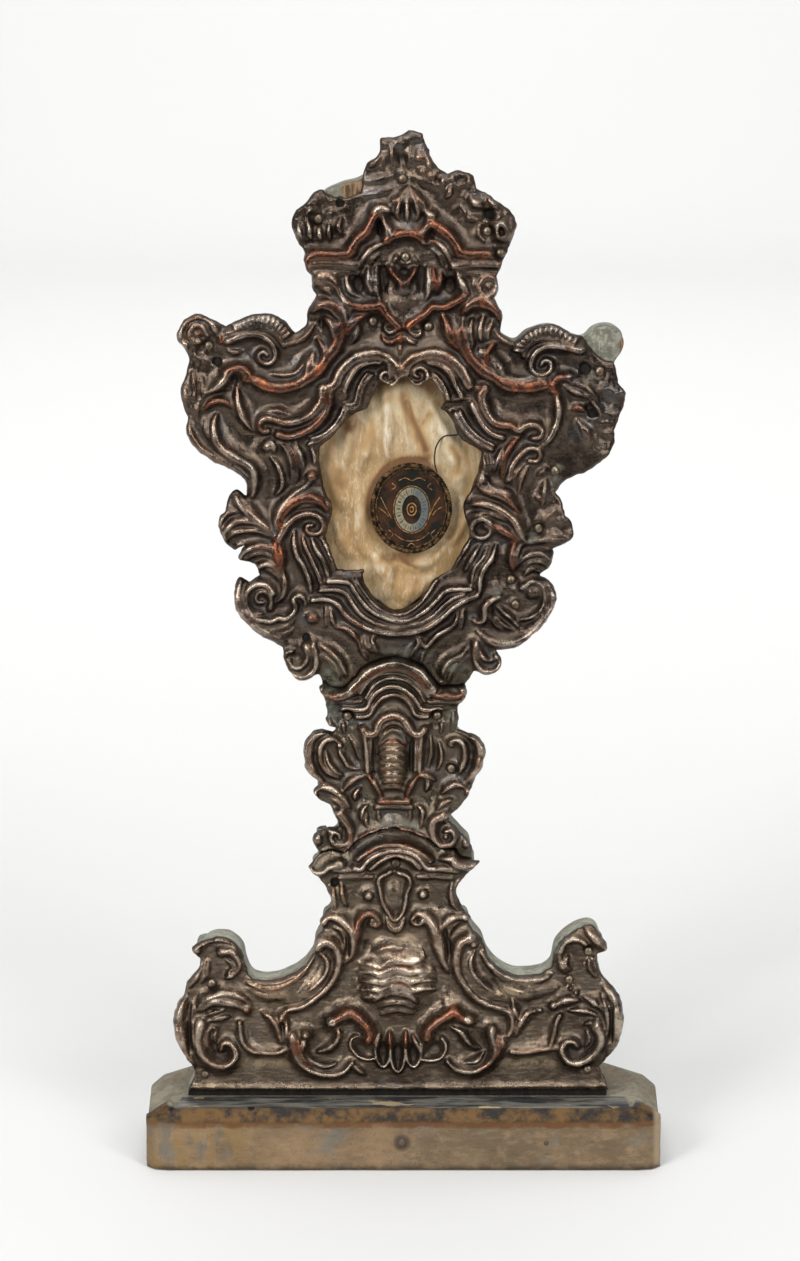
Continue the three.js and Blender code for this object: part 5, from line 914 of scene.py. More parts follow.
# ribbed shells on the crests of the wings: half width, count of ribs, height, points
head_ribs = [
    (2.7, 13, 3, [(-64, 328.6), (-58, 330.6), (-52, 330.8), (-48, 329.5), (-45, 327.3), (-43, 324.6)]),
    (2.7, 14, 3, [(43, 318.4), (43.5, 321.5), (45.5, 324.3), (49, 326.3), (53, 327.2), (57, 326.8),
        (61, 325.3), (65, 322.8)]),
]
stem_strokes = [
    # upper cornice: bent crest and its mouldings
    ("rail", 2, 4, 0.1, [(-22, 188.6), (-19.6, 190.2), (-16, 192.6), (-12, 196), (-8, 198), (-4, 198.6),
        (1, 198), (5, 196), (8, 193), (10.4, 189.4)]),
    ("rail", 0.7, 3.2, 0.05, [(-16.4, 187.6), (-14.3, 191.3), (-11, 194.3), (-6, 195.6), (-2, 195.6),
        (3, 193.6), (7, 189.7), (9.4, 186.2)]),
    ("rail", 0.7, 2.8, 0.05, [(-14.6, 185.6), (-11, 190.8), (-6, 193.4), (-2, 193.4), (3, 191.4), (6, 188.2),
        (8, 184.4)]),
    ("rail", 1, 2.6, 0.2, [(-23, 181.2), (-15.4, 181.2), (-13.9, 182), (-12.6, 185), (-10.4, 187.8),
        (-7, 189.7), (-3.5, 190), (0, 189), (3, 186.7), (5.3, 183.8), (7, 181.3), (14, 181)]),
    ("rail", 0.8, 2.2, 0.1, [(-22.6, 178.4), (-13.6, 178.6), (-10.8, 182.6), (-8, 185.6), (-3.6, 186.8),
        (0, 185.6), (3, 182.2), (5, 178.6), (14, 178.6)]),
    ("roll", 1.4, 3.4, 0.7, [(-31.8, 189.4), (-30.6, 187), (-27.6, 186), (-24, 186.2), (-20, 187.4),
        (-16, 189.8)]),
    ("tail", 1.2, 2.8, 0.4, [(-32, 189.6), (-32.3, 187), (-30.8, 184.6), (-28.6, 184.2)]),
    ("roll", 1.4, 3.4, 0.8, [(9.4, 188.6), (12, 186.6), (16, 186.3), (20, 186), (22.4, 187), (23.4, 189)]),
    ("tail", 1.2, 2.8, 0.4, [(22.4, 189.2), (23.6, 187.4), (23.2, 184.8), (21, 182.8)]),
    ("rail", 0.8, 1.8, 0.1, [(-27, 184), (-20, 183.9), (-16.4, 184.2)]),
    ("rail", 0.8, 1.8, 0.1, [(10, 183.8), (16, 183.9), (20.6, 183.4)]),
    ("roll", 0.7, 1.4, 0.3, [(-22.8, 177), (-23, 174), (-22.6, 171)]),
    ("roll", 0.7, 1.4, 0.3, [(14.4, 177), (14.6, 174), (14.2, 171)]),
    ("roll", 0.8, 1.6, 0, [(-28.6, 178), (-28, 174.8), (-25, 172)]),
    ("roll", 0.8, 1.6, 0, [(19, 180), (19.2, 176.4), (18.4, 172)]),
    # tall cartouche with its wavy inner boss
    ("rail", 1.3, 3.2, 0.5, [(-15.6, 173), (-14, 171.4), (-11.2, 171.4), (-10, 173), (-9.3, 175.5),
        (-7.5, 177.6), (-4.5, 178.6), (-2, 178.4), (0.3, 176.8), (2, 174.1), (3, 172.2), (4.5, 171.2),
        (6.5, 171.4), (7.9, 173)]),
    ("rail", 0.6, 2, 0, [(-9, 170.6), (-8, 173.2), (-6, 175.2), (-3.5, 175.6), (-1, 174.6), (1, 172)]),
    ("rail", 0.9, 2.6, 0.2, [(-15.2, 172), (-14.5, 168), (-14, 162), (-13.8, 156.4)]),
    ("rail", 0.6, 2.2, 0.1, [(-12.4, 171), (-12.2, 164), (-11.8, 157)]),
    ("rail", 0.9, 2.6, 0.2, [(7.2, 172), (6.4, 166), (6.1, 156.6)]),
    ("rail", 0.6, 2.2, 0.1, [(4.8, 170.4), (4.6, 164), (4.4, 157)]),
    ("roll", 1, 2.6, 0.7, [(-14.6, 156), (-12.6, 153.6), (-10.5, 151), (-9, 147.4), (-8, 144.4)]),
    ("roll", 1, 2.6, 0.7, [(6.6, 155.6), (4.8, 153.6), (3, 151), (1.5, 147.4), (0.6, 144.6)]),
    ("rail", 1, 2.6, 0.8, [(-9.4, 144.4), (-4, 144.6), (2, 144.4)]),
    ("rail", 0.8, 1.8, 0, [(-10.4, 142), (-4, 142.2), (3, 142)]),
    # side scrolls
    ("roll", 1.8, 3.2, 0.4, [(-28, 172.4), (-32.6, 171.6), (-35.8, 169.4), (-37, 165), (-36.5, 160),
        (-34.3, 155.4), (-30.4, 151.6)]),
    ("roll", 1, 2.6, 0.1, [(-24, 167.2), (-26.5, 169.2), (-29.5, 169), (-31.5, 166.8), (-32, 163),
        (-31, 159), (-28.5, 156), (-24.6, 153.6)]),
    ("roll", 0.8, 2.6, 0, [(-29.8, 164.4), (-28.8, 160.4), (-26.5, 157), (-23, 154.6)]),
    ("roll", 0.9, 2, 0.1, [(-25, 165.4), (-23.2, 161.4), (-20.6, 158.2), (-17, 156.8)]),
    ("roll", 0.8, 1.8, 0, [(-20.6, 170), (-18.4, 166), (-17, 161)]),
    ("roll", 1.8, 3, 0.15, [(20.6, 173), (26, 171.3), (29, 168.3), (29.9, 164), (28.9, 159), (26.4, 154.8),
        (23.4, 151.6)]),
    ("roll", 1, 2.6, 0.1, [(17, 166.4), (18, 168.3), (20.5, 168.8), (22.8, 167.3), (23.6, 164), (23, 160),
        (21, 156.4), (18.6, 154.6)]),
    ("rail", 0.7, 2.2, 0, [(18.6, 158.8), (17.2, 157.4), (18.2, 155.8), (19.8, 156.4), (19.6, 158.4),
        (18.6, 158.8)]),
    ("roll", 0.8, 2, 0, [(10.4, 170), (10.6, 164), (9.4, 157.6)]),
    ("roll", 0.8, 2, 0.1, [(13.6, 168), (14.4, 162), (13, 156.6)]),
    # leaves below the scrolls
    ("roll", 1.2, 2.8, 0.1, [(-34.4, 148.2), (-31.5, 150.1), (-28, 149.8), (-24.5, 147.3), (-22.4, 145),
        (-20.8, 141.4)]),
    ("roll", 0.9, 2.4, 0.1, [(-29, 146.2), (-25.5, 144.8), (-23.4, 142.4), (-22.2, 139.6)]),
    ("roll", 1.2, 2.8, 0.6, [(-23.4, 148.4), (-21, 151.8), (-18, 153.8), (-14.4, 154.8)]),
    ("roll", 0.9, 2.4, 0.1, [(-18.9, 144.4), (-18.4, 147.8), (-16.6, 149.8)]),
    ("roll", 0.9, 2.4, 0.4, [(-13.6, 142.8), (-15.4, 141.4), (-16.4, 136.4)]),
    ("roll", 1.2, 2.8, 0.6, [(4.6, 154.2), (7, 155), (9.5, 154.6), (12.2, 152.6)]),
    ("roll", 0.9, 2.4, 0.1, [(8.6, 148.4), (9.3, 151.8), (8.3, 154.4)]),
    ("roll", 1.2, 2.8, 0.1, [(14.6, 147.4), (17, 149.9), (20, 151.3), (22.6, 150.7), (24.6, 148.8)]),
    ("roll", 1, 2.4, 0.1, [(12.6, 140.6), (15, 143.7), (18.6, 145.2)]),
    ("roll", 0.9, 2.4, 0.4, [(5.2, 142.8), (7, 141.3), (7.6, 136.6)]),
    # volutes over the lower cornice
    ("tail", 1.5, 3, 0.5, [(-24.4, 139.6), (-22, 136.4), (-20.3, 132), (-21, 128.9), (-23.5, 127.4),
        (-26.5, 127.7), (-28, 130), (-26.7, 132.2), (-24.8, 131.2)]),
    ("tail", 1.5, 3, 0.5, [(15, 138.6), (11.6, 137), (11, 133), (12.5, 129), (15, 127), (18.5, 127.5),
        (19.8, 130), (18.4, 132.8), (16.2, 132.4)]),
    ("roll", 0.8, 1.8, 0.1, [(-14, 140), (-14.4, 136), (-12.4, 132.6)]),
    ("roll", 0.8, 1.8, 0.1, [(6.4, 140), (7, 136), (5.2, 132.6)]),
    ("roll", 0.8, 1.6, 0, [(-9.6, 141.6), (-9.4, 137.6), (-7.6, 134.4)]),
    ("roll", 0.8, 1.6, 0, [(2.4, 141.6), (2.4, 137.6), (0.8, 134.4)]),
    ("rail", 2, 4, 1, [(-22, 121.6), (-20.5, 123.4), (-17, 126.8), (-12, 129.8), (-7, 131.3), (-3.2, 131.6),
        (2, 130.8), (7, 128.3), (11, 124.8), (13.4, 122.4)]),
    ("rail", 0.6, 2.6, 0.05, [(-18.6, 124.8), (-13.6, 127.6), (-8, 129), (-3, 129.2), (3, 128.4), (8, 125.6),
        (10.6, 123)]),
    ("roll", 1.3, 3.2, 0.3, [(-36, 118.6), (-33.5, 119.8), (-30.4, 122.2), (-27, 122.9), (-22, 122.4)]),
]
# ribs up the boss of the tall cartouche, and the arch over them
boss_rib_levels = (148.4, 151, 153.8, 157, 160.2, 163.4, 166.4)
stem_strokes += [("roll", 0.8, 0.9, 0.1, [(-9.6, z), (-6.4, z + 1.8), (-2.4, z + 1.8), (1.2, z - 0.2)])
                 for z in boss_rib_levels]
stem_strokes.append(("roll", 0.7, 1.5, 0, [(-10, 166.6), (-7.6, 171), (-4, 173), (-0.6, 171.2), (1.4, 167)]))
stem_domes = [
    (-4.3, 160, 6.4, 13.8, 3.6), (-34.4, 147.2, 1.8, 1.8, 2.6), (-33, 129.2, 2, 3, 2.4),
    (-28.2, 133.4, 1.8, 2.2, 2.2, 0.3), (24, 127.8, 1.6, 2.4, 2.2), (-24.6, 130, 1.2, 1.2, 2.2),
    (16.3, 130.2, 1.2, 1.2, 2.2), (18.4, 167, 1.3, 1.3, 2.4), (24.8, 148.2, 1.6, 1.6, 2.4),
    (-24.4, 166.6, 1.4, 1.4, 2.2), (-4, 136.4, 4, 3.4, 1.2),
]
stem_pits = [
    (-11.6, 161, 0.9, 9, 1.7), (3.1, 162, 0.9, 8, 1.7), (-19.4, 163, 3.4, 6, 0.8), (11.6, 163, 3.4, 6, 0.8),
    (-19, 191.4, 1.6, 2, 0.6), (-24, 160.6, 1.4, 2.6, 0.6, 0.6), (-33, 153.6, 1.6, 1.6, 0.6),
    (12, 174.6, 2.4, 1.6, 0.6), (-18.8, 174.6, 2.4, 1.6, 0.6), (-16.4, 145.6, 1.2, 2, 0.7),
    (12, 146.6, 1.6, 2.4, 0.7), (-22.6, 133.6, 1.2, 2, 0.7),
]
stem_crumples = [
    (-30, 180, 6, 8, 0.8), (-34, 160, 5, 10, 0.6), (27, 160, 6, 10, 0.6), (20, 178, 5, 8, 0.6),
    (-28, 140, 6, 8, 0.8), (18, 140, 5, 8, 0.6),
]
foot_strokes = [
    # lower cornice under its crest
    ("rail", 0.8, 3, 0.1, [(-19, 118), (-16.4, 117.6), (-14.5, 120.4), (-11, 123.1), (-7, 124.7),
        (-3, 125.2), (2, 124.5), (6, 122.2), (9, 118.2), (12, 117.9)]),
    ("rail", 0.7, 2.6, 0.1, [(-12.6, 117.6), (-9, 120.8), (-5, 122.7), (-1, 122.7), (3, 121.2),
        (6.2, 117.8)]),
    ("rail", 0.8, 2.8, 0.4, [(-17.6, 121.6), (-14, 124.4), (-9, 127), (-3, 127.6), (3, 126.4), (8, 123.6),
        (10.4, 121)]),
    ("tail", 1.3, 2.8, 0.3, [(-24, 119.6), (-28.4, 118.4), (-31, 116.2), (-34.2, 115.8), (-36, 117.4)]),
    ("rail", 0.9, 2.2, 0.1, [(-26.6, 117.2), (-22, 117), (-17, 117.4)]),
    ("rail", 0.9, 2.2, 0.1, [(9.6, 117.6), (14, 117.6), (20, 116.8)]),
    ("roll", 1.3, 3, 0.5, [(14, 121.4), (18.6, 121.6), (20.6, 119.4), (23, 118.4), (25.6, 118.2),
        (28.2, 119.6)]),
    ("rail", 0.7, 1.8, 0.1, [(-24.6, 114), (-17.6, 114.4), (-12, 114.4)]),
    ("rail", 0.7, 1.8, 0.1, [(5.6, 114.4), (12, 114.4), (18.6, 113.8)]),
    # pendant and its flowers
    ("rail", 0.6, 2.4, 0.05, [(-3.5, 117.6), (-6, 115.8), (-9, 114.2), (-9.7, 112.8), (-9, 109), (-8.3, 105),
        (-6, 100.3), (-3.5, 96.8), (-1, 98.8), (0.5, 103), (1.3, 108), (2.5, 111.3), (2.3, 113.8),
        (0.5, 115.3), (-1.5, 115.9), (-3.5, 117.6)]),
    ("roll", 1.1, 2.6, 0.2, [(-6.8, 98.4), (-5.5, 94.8), (-3.2, 93.2), (-1, 94.2), (0.4, 98)]),
    ("roll", 0.9, 2, 0, [(-27.4, 111), (-27, 106), (-26.4, 100.6)]),
    ("roll", 0.8, 1.8, 0, [(-24, 111.6), (-23.4, 106.4), (-22, 102)]),
    ("roll", 0.9, 2, 0, [(19, 112.6), (18.4, 107), (19.4, 103), (21.8, 100)]),
    ("roll", 0.8, 1.6, 0, [(21.4, 113), (21, 108), (22.4, 103)]),
    # left wing of the foot
    ("tail", 1.2, 2.6, 0.1, [(-81.6, 85.4), (-78, 88.4), (-73, 89.6), (-68, 88.9), (-64, 86.4),
        (-61.5, 82.6), (-60.3, 78)]),
    ("tail", 1.2, 2.8, 0.2, [(-70.4, 84.2), (-66.5, 84), (-64.3, 81), (-63.8, 78), (-65.2, 75.3),
        (-68.2, 73.6)]),
    ("roll", 0.8, 2, 0, [(-69, 80.6), (-66, 78), (-68.4, 74.6)]),
    ("roll", 1, 2, 0, [(-79.2, 80), (-80.6, 74.4), (-83.2, 69)]),
    ("roll", 0.7, 1.4, 0, [(-75.6, 80), (-76.4, 75), (-78.6, 71)]),
    ("roll", 1.4, 3, 0.3, [(-79, 59.8), (-76.5, 62.1), (-74, 63.9), (-71, 64.3), (-67, 63.3), (-64, 62.1),
        (-61, 60.2)]),
    ("roll", 0.9, 2.2, 0, [(-78.4, 57.6), (-74, 59.3), (-69.6, 60.5)]),
    ("roll", 0.9, 2.2, 0, [(-76.4, 55.8), (-72, 56.9), (-67.6, 57.5)]),
    ("roll", 1.2, 2.4, 0, [(-80.8, 59.4), (-77, 64.8), (-72, 66.9), (-66, 67), (-62, 65.1), (-59.2, 61.6)]),
    ("roll", 1.9, 2.8, 0.1, [(-86.2, 65), (-87.4, 57), (-87, 50), (-85, 44), (-82, 37.6)]),
    ("roll", 1, 2.2, 0.1, [(-81.8, 62), (-82.8, 56), (-81.6, 48), (-79, 41)]),
    ("tail", 1.6, 3.2, 0.2, [(-79, 54.6), (-79.8, 48), (-78.4, 43), (-75.5, 39.5), (-71.5, 37.6),
        (-67.6, 38.5), (-65.6, 41), (-65.8, 44.4), (-68, 46.7), (-70.5, 46.3), (-71.2, 44)]),
    ("roll", 0.9, 2.6, 0, [(-74.2, 54), (-76.6, 50), (-76.2, 46), (-74, 42.6)]),
    ("roll", 0.7, 2, 0, [(-72.4, 52.6), (-73.6, 49), (-72.8, 46)]),
    ("rail", 0.8, 1.8, 0, [(-63.8, 55), (-63.2, 49), (-61.5, 45.4), (-58.5, 43.2), (-54, 42.6), (-49, 42.7),
        (-46.2, 44)]),
    ("roll", 0.9, 2, 0.4, [(-61, 71.2), (-56, 69.6), (-50, 69.1), (-45, 70.8), (-41, 73.8), (-37.5, 77.8),
        (-34.8, 81.6)]),
    ("roll", 0.8, 1.8, 0.1, [(-60.4, 73.2), (-55, 71.8), (-49, 71.8), (-44, 73.8), (-39.4, 77.4)]),
    ("tail", 1.5, 3.2, 0.4, [(-33.6, 86), (-31.6, 88.2), (-28.8, 88.1), (-26, 85.7), (-25, 81.8),
        (-25.5, 77.3), (-27.5, 72.7), (-30.5, 68.7), (-34.5, 65.2), (-39, 62), (-45, 60.4)]),
    ("roll", 2.6, 1.9, 0, [(-47, 64), (-41.4, 66), (-36, 69.6), (-32, 74), (-29.8, 79), (-30.6, 83.4)]),
    ("roll", 0.7, 2.6, 0.1, [(-33.6, 83.6), (-31, 82.6), (-29.4, 79.6), (-30.6, 75), (-34.4, 70.6),
        (-39.6, 67)]),
    ("roll", 1.8, 1.6, 0, [(-60, 68.6), (-54, 66.6), (-47.6, 66.8), (-42, 69.6), (-37.6, 74)]),
    ("roll", 1.4, 2.8, 0.2, [(-31.6, 95.4), (-29, 97.9), (-25.5, 97.6), (-22, 95), (-19.8, 91),
        (-19.5, 86.6), (-20.5, 82.6), (-22.4, 79.6)]),
    ("roll", 0.7, 2, 0, [(-27.4, 94), (-24, 92.6), (-22.6, 88.6), (-23.4, 84)]),
    ("tail", 1.4, 3, 0.8, [(-18.6, 90), (-18, 93), (-17.2, 96.8), (-15, 99.2), (-12.3, 99.4), (-10, 97.6),
        (-9.3, 95.8), (-11, 94.6), (-12.8, 95.4)]),
    ("roll", 1, 2.8, 0.2, [(-55, 59), (-51.5, 57.3), (-49.5, 53.8), (-48.3, 50), (-47.2, 46.4)]),
    ("roll", 1, 2.8, 0.2, [(-45, 61), (-46.6, 58.8), (-48, 56), (-49.2, 53.4)]),
    ("roll", 0.8, 2.4, 0.1, [(-46.2, 57.4), (-45.4, 53), (-46.6, 47.4)]),
    ("roll", 0.9, 2.6, 0, [(-38, 50.2), (-38.7, 47), (-39.6, 42.6)]),
    ("tail", 1.3, 3, 0.5, [(-43.2, 50), (-42.8, 45), (-41, 40), (-38, 36.7), (-33, 34.4), (-28, 33.7),
        (-23.5, 34.9), (-20, 38.6)]),
    ("roll", 0.9, 2.8, 0.9, [(-41, 51.4), (-40.6, 46), (-38.8, 41), (-35.4, 37.4)]),
    ("roll", 0.8, 2.2, 0, [(-38.6, 43), (-35, 39.2), (-30.4, 37.4), (-26, 38.2)]),
    ("roll", 1, 2.4, 0, [(-34, 42.4), (-29.5, 44.2), (-26.3, 47.3), (-25.2, 51), (-26.8, 53.6)]),
    ("rail", 1.5, 3.6, 1, [(-27.4, 56), (-24.4, 58), (-22, 59.2), (-19.6, 59.2), (-17, 57.2), (-14.2, 54),
        (-13, 51), (-13.8, 48.8)]),
    ("roll", 0.7, 2.4, 0, [(-23.6, 62), (-22.6, 60.2), (-21, 58.6)]),
    # right wing of the foot
    ("roll", 1.3, 2.6, 0.1, [(70.6, 93), (74, 89.6), (76.5, 87), (78.6, 84.6)]),
    ("tail", 1.2, 2.6, 0.2, [(60.6, 84.6), (61.8, 87.6), (64.5, 89.1), (68, 88.9), (70.5, 87.1),
        (70.6, 84.6)]),
    ("roll", 1, 2.4, 0.1, [(60.2, 84.6), (61, 79), (63.4, 74.8)]),
    ("roll", 0.8, 2, 0, [(63.6, 82.4), (63, 79), (64.8, 76)]),
    ("roll", 0.7, 1.6, 0, [(72, 81), (72.4, 77), (75, 73.4)]),
    ("roll", 1, 2, 0.2, [(30.2, 83.6), (33, 79.4), (37, 75.9), (42, 73.2), (47, 72.2), (52, 72.4),
        (57.4, 74.2)]),
    ("roll", 0.8, 1.8, 0, [(31.6, 80), (36, 75.4), (41, 71.4), (47, 70), (53, 70.2)]),
    ("tail", 1.5, 3.2, 0.4, [(25.6, 89.8), (22.8, 88.7), (21, 85.2), (20.5, 80.8), (21.3, 75.8),
        (23.5, 71.3), (27, 66.8), (31, 63.8), (36, 61.6), (40.5, 60.1), (42.3, 57), (42.2, 53), (40.8, 50)]),
    ("roll", 2.6, 1.9, 0, [(25.6, 85), (24.6, 80.4), (25.8, 75.6), (29.4, 70.6), (34, 66.8), (40, 64.4)]),
    ("roll", 0.7, 2.6, 0, [(27.6, 84.4), (26, 80.6), (27, 76), (31, 71), (36, 67.6)]),
    ("roll", 1.8, 1.6, 0, [(34.6, 75), (39.4, 70.6), (45.6, 67.6), (53, 67.6), (60, 69.4)]),
    ("roll", 1.3, 2.8, 0.2, [(13.8, 91), (15.5, 94.6), (18, 97.4), (21, 98.1), (24.4, 97.6)]),
    ("roll", 0.8, 2.2, 0, [(17.4, 89), (18, 93.6), (21.4, 95.8)]),
    ("roll", 1.6, 3, 0.1, [(3.6, 98.4), (6, 99.6), (8.5, 98.6), (11, 95.6), (12.8, 91.6), (13.8, 86.6),
        (15, 81.6), (17.6, 75.8)]),
    ("roll", 0.7, 2.2, 0, [(14.4, 91.6), (15.6, 87.4), (17, 82.6)]),
    ("tail", 0.9, 2.6, 0.5, [(7.4, 97), (6, 95.4), (4, 95.4), (3.2, 97), (4.6, 98.4)]),
    ("roll", 1, 2.8, 0.1, [(42.2, 65.6), (42.8, 62), (44, 58.8), (45.3, 56)]),
    ("roll", 1, 2.8, 0.2, [(51.4, 60), (48, 58.9), (46, 56.4), (44.8, 53.4), (43.6, 49.4)]),
    ("rail", 0.8, 1.8, 0, [(60.8, 58), (59.4, 55), (58.5, 50), (57.4, 45.6)]),
    ("rail", 0.8, 1.8, 0, [(42.2, 43.2), (46, 42.9), (50, 43.3), (55, 44.3), (59.4, 44.7)]),
    ("tail", 1.3, 3, 0.5, [(34.5, 52.4), (34.4, 49.5), (35.2, 46.4), (35.6, 43), (34, 39.4), (31, 36.9),
        (27, 35.2), (23, 35.2), (19.5, 36.7), (17.2, 39.2)]),
    ("roll", 0.9, 2.8, 0.9, [(36.6, 51.6), (37.4, 47), (36.8, 42.4), (34.4, 38)]),
    ("roll", 1.1, 2.6, 0, [(36.4, 51), (38.7, 47.4), (38.4, 43.4)]),
    ("roll", 0.7, 2.2, 0, [(37.4, 50), (40.4, 49.8)]),
    ("roll", 0.8, 2.2, 0, [(31.6, 43.4), (28.8, 39.6), (24, 38.4)]),
    ("roll", 1, 2.4, 0, [(18.6, 53.2), (22.5, 51.3), (24.6, 48), (27, 45.3), (30.6, 44)]),
    ("rail", 1.5, 3.6, 1, [(9.2, 49.4), (9.6, 52.2), (12, 55), (15, 57.2), (18, 59.4), (20, 60.2),
        (22.4, 57.8)]),
    ("roll", 0.8, 2.4, 0, [(19.6, 60.8), (22, 58.4), (24.8, 57)]),
    ("tail", 1.6, 3.2, 0.2, [(75.4, 54.4), (76.8, 50), (75.7, 45), (72.5, 41), (68.5, 38.9), (65, 39.1),
        (62.4, 41.5), (61.8, 44.8), (63.6, 47.2), (66.2, 47.1), (67.8, 45.4)]),
    ("roll", 0.9, 2.2, 0, [(70.4, 54), (73, 55.3), (75.8, 52.4), (77.6, 48), (76.8, 42.6)]),
    ("roll", 0.8, 2.2, 0, [(71.4, 51.6), (72.4, 48), (70.8, 44.6)]),
    ("roll", 1.3, 3, 0.1, [(57.8, 61.4), (61, 63.8), (64.5, 64.8), (68.4, 64.3)]),
    ("roll", 0.9, 2.4, 0.1, [(64.2, 59.8), (68, 60.1), (72, 59.8), (76.4, 57.6)]),
    ("roll", 1, 2.4, 0, [(69.6, 66), (73, 64.1), (76.5, 61.8), (77.8, 59.8)]),
    ("roll", 1.9, 2.8, 0.1, [(78, 69.6), (81, 66), (82.9, 60.6), (83.4, 55), (82.4, 48.6), (79.4, 42)]),
    ("roll", 1, 2.2, 0, [(77, 67), (79, 60), (79.6, 54), (78.6, 47.6)]),
    # ribs, arches and shell over the big boss
    ("roll", 1, 1.5, 0, [(-18, 79.6), (-13, 79.6), (-9, 78.8), (-5, 80.8), (-1, 81), (3, 80.6), (7, 81.6),
        (11, 80)]),
    ("roll", 1, 1.7, 0, [(-18, 75.8), (-13, 76.4), (-9, 75.6), (-5, 77.4), (-1, 77.8), (3, 76.6), (7, 77),
        (13, 75.6)]),
    ("roll", 0.9, 1.7, 0, [(-17.6, 72), (-12, 73), (-8, 72.6), (-4, 74.2), (-1, 74.4), (3, 73), (7, 73.4),
        (13, 72)]),
    ("roll", 0.9, 1.7, 0, [(-17.6, 68.6), (-12, 69.4), (-8, 69.4), (-5, 70.8), (-2, 71.2), (1, 70.8),
        (4, 69.4), (8, 69.8), (13, 68.6)]),
    ("roll", 0.9, 1.7, 0, [(-16.4, 65.4), (-12.4, 66.4), (-9, 66.2)]),
    ("roll", 0.9, 2, 0.2, [(-12, 64), (-9.4, 66.8), (-6, 68.6), (-2.6, 69), (0.8, 68.2), (3.6, 66),
        (5.4, 63.4)]),
    ("roll", 0.8, 1.2, 0, [(-9.6, 61.4), (-6.4, 63.6), (-2.6, 64.4), (1.4, 63.4), (4.4, 61)]),
    ("roll", 0.7, 0.9, 0, [(-9, 58.2), (-3, 60.8), (3.6, 59)]),
    ("roll", 0.6, 0.8, 0, [(-12, 84), (-6, 86.6), (0, 86)]),
    ("roll", 0.6, 1, 0, [(6.4, 86.6), (8.6, 81.4), (12.4, 76)]),
    ("roll", 0.6, 1, 0, [(9, 87), (10.8, 82.4), (13.8, 77.6)]),
    ("rail", 0.4, 2.2, 0, [(-5.2, 48), (-4.9, 42), (-4, 37), (-2.2, 34.9), (-0.4, 37), (0.5, 42),
        (0.8, 48)]),
    ("rail", 0.4, 2.2, 0, [(-11, 48.6), (-10.9, 43), (-9.8, 38.8), (-7.9, 37), (-6, 39.2), (-5.2, 44)]),
    ("rail", 0.6, 0.9, 0, [(-84, 28.2), (-40, 28), (0, 28.1), (40, 28.6), (80, 28.8)]),
    ("rail", 0.4, 2.2, 0, [(7.4, 48.6), (7.1, 43), (5.9, 38.8), (3.9, 37), (1.8, 39.2), (0.9, 44)]),
    ("roll", 0.8, 2.8, 0.6, [(-9.2, 50.4), (-10.4, 47), (-11, 42.6)]),
    ("roll", 0.8, 2.8, 1, [(-5.4, 51.4), (-5.2, 47), (-5, 43)]),
    ("roll", 0.8, 2.8, 1, [(0.9, 51.4), (0.8, 47), (0.6, 43)]),
    ("roll", 0.8, 2.8, 0.6, [(3.4, 50.4), (5.4, 46), (7, 41.6)]),
    ("rail", 0.4, 2.2, 0, [(7.4, 40), (10, 39.6), (12.4, 39.8), (14.8, 41), (16.4, 43.8), (16.4, 46.6),
        (14.8, 49)]),
    ("rail", 0.4, 2.2, 0, [(-11.4, 40.4), (-14.2, 40), (-17, 41), (-19.4, 43.2), (-20.8, 46.2), (-20, 48.6),
        (-17.8, 49.6)]),
    ("roll", 0.8, 2, 0, [(-20.4, 38.6), (-18, 36), (-15, 33.6)]),
    ("roll", 0.8, 2, 0, [(16.6, 39.2), (22, 35.8), (30.4, 34.8)]),
]
foot_domes = [
    (-2.4, 72.6, 15.6, 19.6, 4.4), (-80, 84.4, 1.9, 1.9, 2.6), (-61, 60.2, 2, 2, 3, 0.9),
    (-77.6, 52.5, 1.3, 1.3, 2.4), (-73.6, 52.6, 1.1, 1.1, 2.2), (-32.7, 86.6, 2.1, 2.1, 3.2),
    (-30.8, 96, 1.9, 1.9, 2.8), (-12.2, 96.4, 1.3, 1.3, 2.6), (-38.2, 50.6, 1.9, 1.9, 4.6),
    (-27.9, 56, 2.5, 2.3, 5.2), (-13.8, 49, 2.2, 2, 5, 1), (27.2, 87.2, 1.9, 1.9, 3), (24.2, 98, 2, 2, 2.8),
    (51, 60, 1.3, 1.3, 2.8), (53.2, 60.2, 1.1, 1.1, 2.4), (9.4, 49.4, 2.2, 2, 5, 1),
    (25.2, 56.8, 2.4, 2.1, 5.2), (58.4, 62.2, 2.1, 2.1, 3, 0.1), (67, 67.4, 1.2, 1.2, 2.4),
    (65, 69, 1, 1, 2.2), (-13.5, 106.5, 2.2, 2.2, 2.8), (7.6, 107.2, 2.2, 2.2, 2.8), (-4, 107, 3.4, 7, 1.6),
    (-3, 84.6, 9, 5, 1.6), (-20, 69.8, 3, 5, 1), (17, 65.6, 3, 5, 1), (-55.6, 51, 6, 7, 0.6),
    (51, 52, 6, 7, 0.6), (40, 67, 9, 4, 0.8, 0, -0.3), (-52, 66, 9, 3, 0.8),
]
